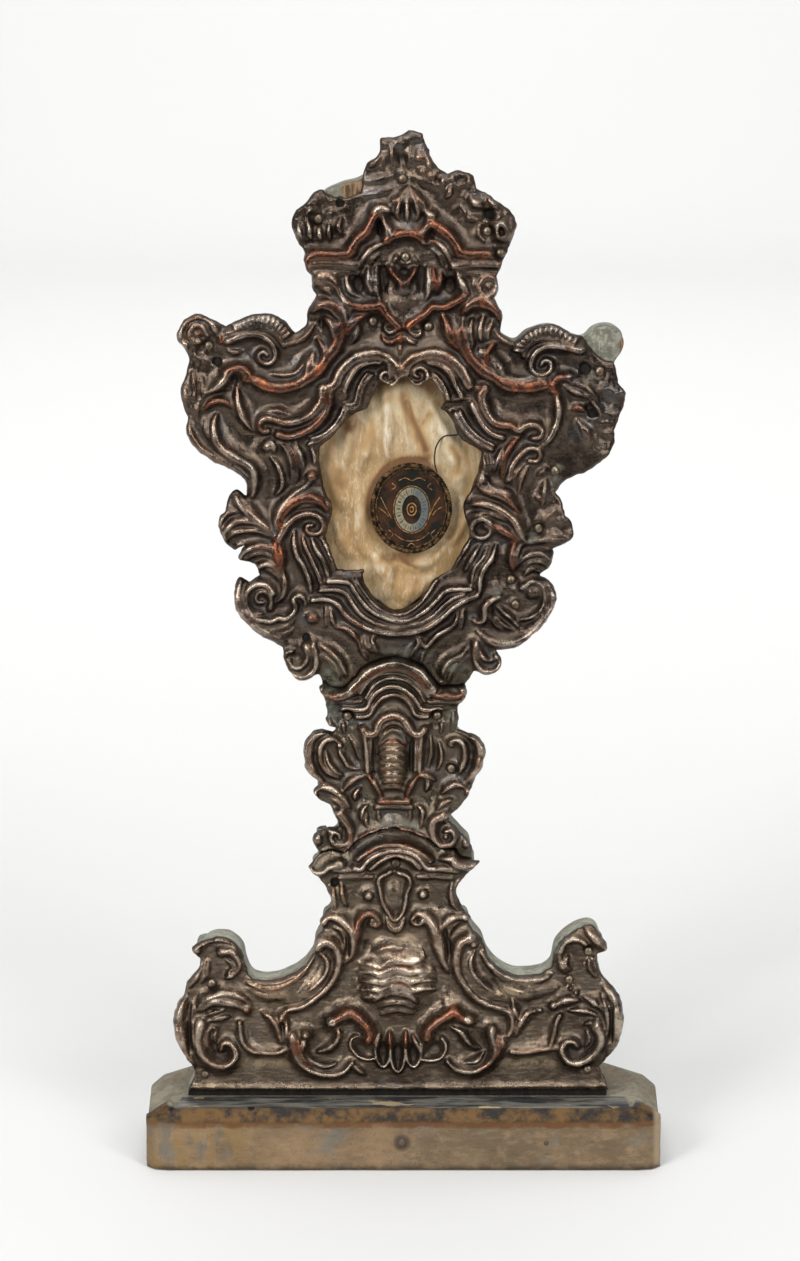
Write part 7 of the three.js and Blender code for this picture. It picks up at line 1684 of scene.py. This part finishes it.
def speckled(name, texture, limits, ground, speck, roughness=None, dents=None, **sockets):
    """The texture is the specks' scale, detail and grit; the dents are their strength and depth."""
    material = new_material(name, **sockets)
    finish = Finish(material.node_tree)
    values = dict(zip(("Scale", "Detail", "Grit", "Low", "High"), (*texture, *limits)))
    values.update(Ground=ground, Speck=speck)
    values.update(zip(("Smooth", "Rough"), roughness or ()))
    specks = finish.node("ShaderNodeGroup", values, node_tree=speckles_group).outputs
    outputs = {"Roughness": specks["Roughness"]} if roughness else {}
    if dents:
        outputs["Normal"] = finish.bump(specks["Height"], *dents)
    finish.colour = specks["Color"]
    finish.dress(**outputs)
    return material


def oval_ring(bm, centre, half_x, half_z, y, count):
    x, z = centre
    turns = [2 * math.pi * k / count for k in range(count)]
    return [bm.verts.new(((x + half_x * math.cos(t)) * mm, y * mm, (z + half_z * math.sin(t)) * mm))
            for t in turns]


def joined_rings(bm, rings):
    """Walls of four-sided faces between closed rings of equal length."""
    for lower, upper in zip(rings, rings[1:]):
        for corners in zip(lower, lower[1:] + lower[:1], upper[1:] + upper[:1], upper):
            bm.faces.new(corners)


def oval_solid(profile, centre, count):
    """A solid of oval rings: triples of two half sizes and y."""
    bm = bmesh.new()
    rings = [oval_ring(bm, centre, half_x, half_z, y, count) for half_x, half_z, y in profile]
    joined_rings(bm, rings)
    for ring in (rings[0], rings[-1]):
        bm.faces.new(ring)
    bmesh.ops.recalc_face_normals(bm, faces=bm.faces)
    return bm


def turned(name, profile, place):
    """A round piece whose axis points at the viewer: pairs of radius and distance out from the place."""
    x, y, z = place
    return mesh_of(oval_solid([(radius, radius, y - out) for radius, out in profile], (x, z), 20), name)


brass = speckled("aged_brass", (420, 5, 0.65), (0.35, 0.65), (0.22, 0.175, 0.12), (0.07, 0.052, 0.035),
                 (0.3, 0.5), (0.3, 0.0003), Metallic=0.9)
nail_back = -14.8
nail_profile = [(0.6, -9), (0.6, 0), (1.75, 0.02), (1.8, 0.3), (1.62, 0.72), (1.25, 1.08), (0.7, 1.3),
                (0.15, 1.38)]
for index, (x, z) in enumerate(nail_places, 1):
    name = f"nail_{index:02d}"
    head = link(name + "_brass", turned(name + "_brass", nail_profile, (x, nail_back, z)), brass)
    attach(head, "root")
    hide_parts(name)

# Board. Thick sawn wood cut to the outline of the sheets, painted grey-green and rounded along its back.
# Under the metal and in its pocket it is bare, and coloured near black as a painted shade. It shows where the
# metal is torn, at crown and wing.
board_foot = 24.3
board_spacing = 1.3
board_rows = [(-13, 0.5), (-12.2, 0), (-6, 0), (0, 0), (3, 0.2), (5.2, 0.9), (6.5, 2), (7, 3.6)]  # y, inset
hidden_step, shown_step = 4.4, 1.5  # how much lower its upper edges are, behind the metal and where it shows
shown_inset, hidden_inset = 0.3, 0.5  # how far it stands back, and how much more behind the metal
foot_reach = 1.2  # above the foot, within which its outline is set on the foot
board_wear = 0.3
bare_head = [(-15.4, 384.4), (-20, 383.6), (-25, 382), (-28.8, 380.4), (-30.6, 378.6)]
knob = [(81.6, 317.4), (83.1, 322.2), (81, 327.4), (76, 329.6), (71, 328), (67.6, 324)]
pocket_back = -4
pocket = [
    (-17, 303.4), (-33.5, 285), (-32, 234), (-18, 226), (-2.5, 214.5), (14, 227), (27, 234), (31.5, 285),
    (17, 304.4), (9.6, 311.6), (0, 312.6), (-9.4, 311),
]
# where its painted thickness stands out above the rim of the metal: left, right, low, high
shown_areas = [(-100, 77, 0, 60), (-77.5, 77, 0, 98), (37, 100, 312, 335), (-32, -14, 377, 410),
               (13, 100, 125, 142)]


def evened(values, passes):
    """Values round a closed loop, each evened out with its two neighbours."""
    for _ in range(passes):
        values = (np.roll(values, 1, axis=0) + 2 * values + np.roll(values, -1, axis=0)) / 4
    return values


board_left = head_left[:2] + [bare_head] + head_left[4:-1]
board_right = head_right[:8] + [knob] + head_right[9:]
rough_outline = np.vstack([
    trace(head_top, board_left), trace(upper_tip, stem_left)[2:-2], trace(lower_tip, foot_left)[2:-1],
    [(-85.4, board_foot), (81, board_foot)], trace(foot_bottom_right, foot_right)[1:-2],
    trace(stem_right_start, stem_right)[2:-2], trace(head_right_start, board_right)[2:-1],
])
closed = np.vstack([rough_outline, rough_outline[:1]])
length = run_of(closed)[-1]
stations = np.linspace(0, length, round(length / board_spacing), endpoint=False)
board_outline = evened(at_stations(closed, stations), 3)
ahead = np.roll(board_outline, -2, axis=0) - np.roll(board_outline, 2, axis=0)
ahead /= np.linalg.norm(ahead, axis=1)[:, None]
outwards = np.stack([ahead[:, 1], -ahead[:, 0]], axis=1)
if np.sum(np.cross(board_outline, np.roll(board_outline, -1, axis=0))) < 0:
    outwards = -outwards
outwards = evened(outwards, 2)
x, z = board_outline.T
shown = [(x > left) & (x < right) & (z > low) & (z < high) for left, right, low, high in shown_areas]
shown = evened(np.any(shown, axis=0).astype(float), 4)
board_outline -= outwards * (shown_inset + hidden_inset * (1 - shown))[:, None]
board_outline[:, 1] -= (hidden_step * (1 - shown) + shown_step * shown) * np.maximum(outwards[:, 1], 0)
board_outline[board_outline[:, 1] < board_foot + foot_reach, 1] = board_foot


def ring_edges(ring):
    return [next(edge for edge in a.link_edges if b in edge.verts) for a, b in zip(ring, ring[1:] + ring[:1])]


board_bm = bmesh.new()
rings = []
for y, inset in board_rows:
    ring = []
    for (x, z), (out_x, out_z) in zip(board_outline, outwards):
        worn = board_wear * noise.noise(Vector((x / 4, y / 4, z / 4))) if y > -12 else 0
        step_in = 0 if z <= board_foot else inset + worn
        ring.append(board_bm.verts.new(Vector((x - out_x * step_in, y, z - out_z * step_in)) * mm))
    rings.append(ring)
joined_rings(board_bm, rings)
pocket_outline = np.vstack([spline([a, b], 4)[:-1] for a, b in zip(pocket, pocket[1:] + pocket[:1])])
pocket_rings = [[board_bm.verts.new((x * mm, y * mm, z * mm)) for x, z in pocket_outline]
                for y in (board_front, pocket_back)]
joined_rings(board_bm, pocket_rings)
face_edges = ring_edges(rings[0]) + ring_edges(pocket_rings[0])
for edges in (face_edges, ring_edges(rings[-1]), ring_edges(pocket_rings[1])):
    bmesh.ops.triangle_fill(board_bm, edges=edges, use_beauty=True)
bmesh.ops.recalc_face_normals(board_bm, faces=board_bm.faces)

board_material, wood = painted_wood("board_paint", (0.25, 0.252, 0.2))
depth = wood.axis("Y")
fibres = wood.mottle(900, 4, 0.6, stretch=(1, 1, 0.15))
grime = wood.mottle(330, 5, 0.65)
# painted shade: black spots on the board behind the empty nail holes of the sheets, and grime on the knob of
# the wing and at the crown
for x, z in ((0.0682, 0.3122), (0.071, 0.2955), (-0.0699, 0.3151), (-0.0235, 0.3745)):
    wood.coat((0.003, 0.0025, 0.002), wood.near((x, -0.013, z), 0.0022, 0.003))
knob_grime = wood.times(wood.near((0.0765, -0.013, 0.3225), 0.009, 0.013), wood.step(grime, 0.42, 0.56))
crown_grime = wood.times(wood.near((-0.026, -0.013, 0.379), 0.007, 0.011), wood.step(grime, 0.4, 0.56))
wood.coat((0.075, 0.068, 0.048), wood.calc("MAXIMUM", knob_grime, crown_grime), 0.75)
# fresh wood where it is torn
torn_crown = wood.near((-0.0175, -0.013, 0.3795), 0.0048, 0.0066)
torn_knob = wood.near((0.0862, -0.0125, 0.3212), 0.0045, 0.006)
fresh = wood.mix(wood.step(fibres, 0.38, 0.6), (0.05, 0.028, 0.014), (0.2, 0.125, 0.068))
wood.coat(fresh, wood.calc("MAXIMUM", torn_crown, torn_knob))
# unpainted on its face, except in two bare places, and in the pocket; there it is near black, a painted shade
bare_crown = wood.near((-0.0225, -0.013, 0.3832), 0.0078, 0.0086)
bare_knob = wood.near((0.0765, -0.013, 0.3225), 0.0085, 0.0095)
covered = wood.calc("SUBTRACT", wood.step(depth, -0.0118, -0.0127), wood.calc("ADD", bare_crown, bare_knob))
in_pocket = wood.times(wood.near((-0.001, -0.0085, 0.262), 0.049, 0.0495), wood.step(depth, 0, -0.001))
shade_black = wood.mix(wood.step(fibres, 0.4, 0.6), (0.003, 0.0025, 0.002), (0.01, 0.008, 0.006))
wood.coat(shade_black, wood.calc("MAXIMUM", covered, in_pocket))
wood.dress()
board = link("sawn_board", mesh_of(board_bm, "sawn_board", False), board_material)
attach(board, "root")
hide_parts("board")


# Lining. Cream silk over loose wadding, creased and stained, in the pocket behind the window. The sheet round
# the window holds it in. Its folds carry painted highlights and painted shade, and painted shadows lie round
# the case and under the top of the window.
def old_silk():
    material = new_material("old_silk", Specular_IOR_Level=0.3, Sheen_Weight=0.15)
    silk = Finish(material.node_tree)
    stain, fold, raised = map(silk.field, ("copper", "hollow", "crest"))
    broad = silk.mottle(60, 4, 0.55, 0.5, (1, 1, 0.4))
    medium = silk.mottle(190, 5, 0.62, 0.6, (1, 1, 0.4))
    weave = silk.mottle(2600, 2, stretch=(1, 1, 0.25))
    fibres = silk.mottle(900, 4, 0.7, 0.8, (1, 1, 0.3))
    silk.colour = silk.mix(silk.step(broad, 0.4, 0.62), (0.43, 0.34, 0.21), (0.29, 0.18, 0.075))
    # painted highlight: paler on the raised folds
    painted_fold_highlight = silk.times(silk.step(medium, 0.42, 0.62), silk.step(raised, 0.15, 0.6))
    silk.coat((0.6, 0.555, 0.445), painted_fold_highlight, 0.75)
    silk.coat((0.56, 0.48, 0.34), silk.step(fibres, 0.5, 0.68), 0.5)
    silk.coat((0.2, 0.135, 0.07), silk.step(fibres, 0.48, 0.34), 0.45)
    # stains, together with the painted shadows round the case, along the creases and under the top of the
    # window
    blotted = silk.times(stain, silk.step(medium, 0.36, 0.6, 0.5, 1))
    gold = silk.mix(silk.step(stain, 0.4, 0.85), (0.33, 0.2, 0.08), (0.145, 0.07, 0.028))
    silk.coat(gold, silk.step(blotted, 0.06, 0.62))
    # painted shade: darker in the folds
    silk.coat((0.2, 0.105, 0.045), silk.step(fold, 0.25, 0.9), 0.8)
    threads = silk.bump(weave, 0.15, 0.0002)
    silk.dress(Roughness=silk.step(medium, 0.3, 0.7, 0.45, 0.65),
               Normal=silk.bump(medium, 0.25, 0.0008, threads))
    return material


lining_back = -4.3
lining_ground = 2.2
lining_top = 6
lining_swing = 1.35  # how much its folds are raised once they are softened
lining_cell, lining_seed = 0.6, 91
crease_depth = 1.5
halo_centre, halo_half = (2.9, 258.4), (15.2, 17.2)
lining_corners = [
    (-16.2, 302.8), (-32.8, 284.4), (-31.4, 234.4), (-17.6, 226.6), (-2.5, 215.4), (13.6, 227.6),
    (26.4, 234.6), (30.8, 284.4), (16.2, 303.8), (9.2, 310.8), (0, 311.8), (-9, 310.2),
]
creases = [
    # half width, height, points
    (2.2, 2.4, [(-8, 304), (-6, 297), (-5.4, 290), (-6.6, 282), (-5.6, 276)]),
    (1.5, 2.2, [(2.4, 301), (3.2, 295), (5, 288), (7, 282), (7.6, 277)]),
    (1.7, 1.9, [(-2, 304), (-1, 296), (0.6, 288), (1.6, 281)]),
    (2, 2.1, [(-13, 299), (-12.4, 290), (-14.4, 281), (-16.8, 272)]),
    (2.3, 2, [(-19, 293), (-20.4, 284), (-22.6, 275), (-23.4, 266)]),
    (2.1, 1.8, [(-28, 282), (-27.4, 270), (-25, 259)]),
    (2.2, 2.2, [(-18.4, 268), (-16.8, 257), (-17, 246), (-14, 239)]),
    (1.8, 1.8, [(-26, 255), (-24, 246), (-20, 238.6)]),
    (2.3, 2.3, [(10.6, 298), (13.6, 290), (17.6, 283), (22.6, 277)]),
    (1.9, 2, [(14, 284), (18.6, 277), (22, 268)]), (1.9, 1.8, [(23.6, 262), (22.6, 252), (18.6, 243)]),
    (3, 3, [(-13, 242), (-9.4, 236), (-6, 230), (-6.2, 223)]),
    (2, 2.2, [(14, 240.6), (9.4, 236), (4, 234.8), (-1.4, 239)]),
    (1.9, 2, [(4.6, 231), (2.4, 225), (0.4, 219.6)]), (1.6, 1.8, [(9.8, 230), (6.6, 225.6), (4.4, 221)]),
    (1.4, 1.6, [(-1.4, 233), (-2, 227), (-2.6, 221)]),
]
stains = [
    # x, z, half width, half height, strength
    (-20, 289, 5, 8, 0.75), (-24, 268, 4, 7, 0.65), (-23, 243, 4, 6, 0.6), (7, 293, 5, 8, 0.6),
    (5.4, 286, 2.4, 6, 0.7), (14, 270, 6, 5, 0.35), (-15, 259, 3.4, 12, 0.55), (-1, 238.6, 12, 3.6, 0.75),
    (18.6, 249, 3.6, 9, 0.6), (-6, 300, 4, 4, 0.5), (4, 229, 5, 3.6, 0.6), (22, 272, 3, 5, 0.5),
    (-9, 277.6, 6, 3, 0.3), (-12, 229, 4, 4, 0.4),
]
# lines of shadow, stained and pressed in: half width, strength, points
dark_creases = [
    (3.4, 0.6, [(0.4, 300), (2.2, 294), (5, 288), (7.6, 282), (9, 277)]),
    (1.3, 0.85, [(1.4, 298), (3.6, 291.6), (6, 286.4), (8.6, 279.6)]),
    (2.6, 0.55, [(-5, 240.6), (0, 237), (4, 234.4), (9, 233)]), (1.1, 0.8, [(-3, 239), (1, 236), (5, 234)]),
    (2, 0.55, [(-22.6, 271), (-20, 276), (-18.6, 281)]), (1.6, 0.6, [(17, 246), (20.6, 251), (22.8, 257)]),
    (4, 0.75, [(-16, 299), (-9, 305.6), (0, 307.6), (8, 305), (15, 299)]),
    (3.6, 0.55, [(-27.4, 284), (-26.6, 270), (-27.4, 256)]),
    (2, 0.6, [(18.6, 281), (21, 276.4), (20.4, 271)]), (1.6, 0.5, [(-2, 233), (-2.6, 227), (-2, 221)]),
    (2.4, 0.5, [(-13, 294), (-12.4, 287), (-15, 281)]),
    (3.2, 0.5, [(23, 283), (24.6, 270), (24, 256), (21, 244)]),
]
lining_outline = np.vstack([spline([a, b], 0.8)[:-1]
                            for a, b in zip(lining_corners, lining_corners[1:] + lining_corners[:1])])
pad = Relief(lining_outline, lining_cell, lining_seed, lining_ground)
pad.swell = 0.5 * value_noise(pad.x, pad.z, 7, lining_seed)
pad.height = lining_ground + pad.swell + 0.3 * value_noise(pad.x, pad.z, 2.4, lining_seed + 1)
for half_width, height, points in creases:
    pad.stroke("roll", half_width, height, 0, points)
pad.height = lining_ground + lining_swing * (soften(pad.height, 3) - lining_ground)
pad.copper[:] = 0
pad.stain(pad.copper, stains, 1.25, 0.35)
# a painted shadow round the relic case, stronger up and to the left
off = np.hypot((pad.x - halo_centre[0]) / halo_half[0], (pad.z - halo_centre[1]) / halo_half[1])
stronger = np.clip(0.6 - 0.035 * (pad.x - halo_centre[0]) + 0.03 * (pad.z - 258), 0, 1)
pad.copper = np.maximum(pad.copper, np.clip(1.3 - np.abs(off - 1) / 0.2, 0, 1) * stronger)
for half_width, strength, points in dark_creases:
    marks = np.zeros(pad.x.shape)
    pad.tint(marks, half_width, strength, points)
    pad.copper = np.maximum(pad.copper, marks)
    pad.height -= crease_depth * marks
lining_mesh = sheet_mesh("silk_lining", pad, lining_outline, [], lining_top, lining_back)
lining = link("silk_lining", lining_mesh, old_silk())
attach(lining, "root")
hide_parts("relic_lining")

# Relic case. An oval tray with a cloth-covered bottom, laid on the silk. Its rim is a braid of three dark
# strands with a finer wound cord inside it.
case_centre = (2.9, 258.4)
case_profile = [(14.2, 16.2, -8.9), (15, 17, -9.4), (15, 17, -10.6), (14.4, 16.4, -10.9), (12.9, 14.9, -10.9)]


def dark_cloth():
    material = new_material("dark_cloth", Specular_IOR_Level=0.12)
    cloth = Finish(material.node_tree)
    broad = cloth.mottle(150, 3, 0.5)
    medium = cloth.mottle(420, 5, 0.6)
    cloth.colour = cloth.mix(cloth.step(broad, 0.46, 0.66), (0.006, 0.006, 0.004), (0.035, 0.014, 0.006))
    cloth.coat((0.06, 0.026, 0.01), cloth.step(medium, 0.55, 0.7), 0.6)
    cloth.dress(Roughness=cloth.step(medium, 0.3, 0.7, 0.55, 0.8), Normal=cloth.bump(medium, 0.4, 0.0005))
    return material


def cord_rings(bm, line, tangent, radius, sides):
    tangent = tangent / np.linalg.norm(tangent, axis=1)[:, None]
    across = np.cross(tangent, (0, 1, 0))
    across /= np.linalg.norm(across, axis=1)[:, None]
    turns = [2 * math.pi * k / sides for k in range(sides)]
    rings = []
    for centre, first, second in zip(line, across, np.cross(across, tangent)):
        spokes = [math.cos(t) * first + math.sin(t) * second for t in turns]
        rings.append([bm.verts.new((centre + radius * spoke) * mm) for spoke in spokes])
    return rings


def closed_cord(bm, line, radius, sides=7):
    """A round cord whose centre line closes on itself."""
    rings = cord_rings(bm, line, np.roll(line, -1, axis=0) - np.roll(line, 1, axis=0), radius, sides)
    joined_rings(bm, rings + rings[:1])


def oval_line(half_x, half_z, y, count, centre=case_centre, twists=0, throw=0.0, phase=0.0):
    """An oval centre line; with a throw it winds round the oval in twists."""
    turn = np.linspace(0, 2 * math.pi, count, endpoint=False)
    swing = throw * np.cos(twists * turn + phase)
    x = centre[0] + (half_x + swing) * np.cos(turn)
    z = centre[1] + (half_z + swing) * np.sin(turn)
    return np.stack([x, y - throw * np.sin(twists * turn + phase), z], axis=1)


case_bm = oval_solid(case_profile, case_centre, 96)
case = link("relic_case_cloth", mesh_of(case_bm, "relic_case_cloth"), dark_cloth())
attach(case, "root")
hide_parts("relic_case")

braid_bm = bmesh.new()
for strand in range(3):
    strand_line = oval_line(14.7, 16.7, -11.3, 360, case_centre, 30, 0.5, strand * 2 * math.pi / 3)
    closed_cord(braid_bm, strand_line, 0.4)
closed_cord(braid_bm, oval_line(13.3, 15.3, -11.2, 240, case_centre, 60, 0.12), 0.34)
bmesh.ops.recalc_face_normals(braid_bm, faces=braid_bm.faces)
dark_cord = speckled("dark_cord", (520, 5, 0.7), (0.42, 0.66), (0.003, 0.002, 0.001), (0.13, 0.075, 0.032),
                     (0.6, 0.9), Specular_IOR_Level=0.1)
braid = link("case_braid", mesh_of(braid_bm, "case_braid"), dark_cord)
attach(braid, "root")
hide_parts("relic_case")


# Relic label. An oval ring of old paper on the cloth of the case, cream on the left and blue-grey on the
# right, with rows of short dark strokes.
def old_paper():
    material = new_material("old_paper", Specular_IOR_Level=0.2)
    paper = Finish(material.node_tree)
    medium = paper.mottle(500, 4)
    side = paper.step(paper.axis("X"), 0.001, 0.006)
    paper.colour = paper.mix(side, (0.185, 0.16, 0.1), (0.068, 0.088, 0.092))
    paper.coat((0.12, 0.1, 0.07), paper.step(medium, 0.48, 0.62), 0.55)
    paper.dress(Normal=paper.bump(medium, 0.3, 0.0003))
    return material


label_centre = (3.1, 257.8)
label_steps = 132
label_profile = [(3.6, 5.6, -11), (3.7, 5.7, -11.3), (4.4, 6.5, -11.35), (5.7, 7.8, -11.35),
                 (6.3, 8.5, -11.3), (6.4, 8.6, -11)]
label_bm = bmesh.new()
label_rings = [oval_ring(label_bm, label_centre, *row, label_steps) for row in label_profile]
joined_rings(label_bm, label_rings + label_rings[:1])
label_bm.faces.ensure_lookup_table()
for band, inked in ((2, 2), (1, 5), (3, 5)):
    for k in range(label_steps):
        if k % 4 < 2 and (k * 7 // 4) % inked == 0 or band == 2 and k % 4 == 1:
            label_bm.faces[band * label_steps + k].material_index = 1
bmesh.ops.recalc_face_normals(label_bm, faces=label_bm.faces)
old_ink = speckled("old_ink", (900, 3, 0.55), (0.4, 0.65), (0.025, 0.02, 0.02), (0.1, 0.085, 0.07),
                   Specular_IOR_Level=0.2)
label = link("paper_ring", mesh_of(label_bm, "paper_ring", False), old_paper(), old_ink)
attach(label, "root")
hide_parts("relic_label")

# Relic capsule. Two small gilt rings in the middle of the label, and a fine gilt line round the label. They
# are closed rings, fixed to the cloth of the case.
gilding = speckled("dull_gilding", (700, 4, 0.55), (0.4, 0.62), (0.32, 0.18, 0.06), (0.09, 0.035, 0.016),
                   (0.4, 0.65), Metallic=0.6)
capsule_centre = (3.1, 257.9)
capsule_bm = bmesh.new()
closed_cord(capsule_bm, oval_line(1.75, 2.35, -11.2, 48, capsule_centre), 0.3)
closed_cord(capsule_bm, oval_line(0.7, 1, -11.1, 32, capsule_centre), 0.3)
closed_cord(capsule_bm, oval_line(6.9, 9.1, -11, 96, label_centre), 0.2)
bmesh.ops.recalc_face_normals(capsule_bm, faces=capsule_bm.faces)
capsule = link("relic_capsule_gilt", mesh_of(capsule_bm, "relic_capsule_gilt"), gilding)
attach(capsule, "root")
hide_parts("relic_capsule")


# Curls. Fine gilt wire laid on the cloth of the case, round the label. Each is a short piece with its own
# bend, fixed to the cloth.
def open_cord(bm, points, radius, sides):
    line = spline(points, 0.5)
    rings = cord_rings(bm, line, np.gradient(line, axis=0), radius, sides)
    joined_rings(bm, rings)
    for ring in (rings[0], rings[-1]):
        bm.faces.new(ring)


curl_level = -10.95
curl_radius, thread_radius = 0.17, 0.3
curls = [
    [(-8.6, 262.6), (-7.2, 259.6), (-5.6, 256.4), (-4.6, 254.6)],
    [(-9.4, 258.6), (-7.4, 257), (-5.6, 255.2)], [(13.8, 262.6), (12, 260), (10.6, 257.2), (10, 255.4)],
    [(14.6, 258.8), (12.4, 257.4), (11, 255.6)],
    [(-3.4, 248.4), (-0.4, 246.2), (3, 245.6), (6.6, 246.4), (9.8, 248.8)],
    [(-5.6, 250), (-4, 248.2), (-5.6, 246.8), (-6.8, 248.6)],
    [(12, 250), (10.4, 248.2), (11.8, 246.8), (13.2, 248.4)],
    [(-1.8, 269), (0.6, 270), (3.2, 269), (5.8, 270), (8.2, 269)], [(-4.4, 268), (-3, 266.6), (-4.6, 265.4)],
    [(10.4, 268), (9.2, 266.6), (10.8, 265.4)], [(1.4, 243.4), (3, 244.8), (4.6, 243.4)],
]
curl_bm = bmesh.new()
for points in curls:
    open_cord(curl_bm, [(x, curl_level, z) for x, z in points], curl_radius, 6)
bmesh.ops.recalc_face_normals(curl_bm, faces=curl_bm.faces)
curl_work = link("case_curls", mesh_of(curl_bm, "case_curls"), gilding)
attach(curl_work, "root")
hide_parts("relic_case")

# Thread. A fine dark thread from the case up and to the right, under the sheet. Both of its ends are held.
thread_route = [
    (12.7, -9.6, 271.9), (11.8, -9.8, 275.4), (11.8, -9.5, 279), (12.8, -9.4, 282.8), (15.4, -9.4, 285.7),
    (19.1, -9.6, 286.2), (23.4, -10, 286.8),
]
thread_bm = bmesh.new()
open_cord(thread_bm, thread_route, thread_radius, 8)
bmesh.ops.recalc_face_normals(thread_bm, faces=thread_bm.faces)
dark_thread = speckled("dark_thread", (1800, 3, 0.55), (0.4, 0.6), (0.014, 0.009, 0.007), (0.05, 0.03, 0.02),
                       Roughness=0.8, Specular_IOR_Level=0.2)
thread = link("dark_thread_run", mesh_of(thread_bm, "dark_thread_run"), dark_thread)
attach(thread, "root")
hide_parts("relic_thread")

# Plinth nail and pin. Corroded iron, driven through the facing into the block: a broad head in the middle and
# a small one to its right.
iron = speckled("corroded_iron", (600, 5, 0.7), (0.4, 0.62), (0.05, 0.045, 0.04), (0.12, 0.07, 0.04),
                (0.5, 0.8), (0.5, 0.0004), Metallic=0.5)
for name, x, radius, reach in (("plinth_nail", -0.6, 1.7, 0.7), ("plinth_pin", 55.3, 0.9, 0.6)):
    profile = [(0.4, -3), (0.4, -0.1), (radius, -0.1), (radius, 0.2 * reach), (0.7 * radius, 0.8 * reach),
               (0.1, reach)]
    head = link(name + "_iron", turned(name + "_iron", profile, (x, -32, 11.5)), iron)
    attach(head, "root")
    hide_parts(name)
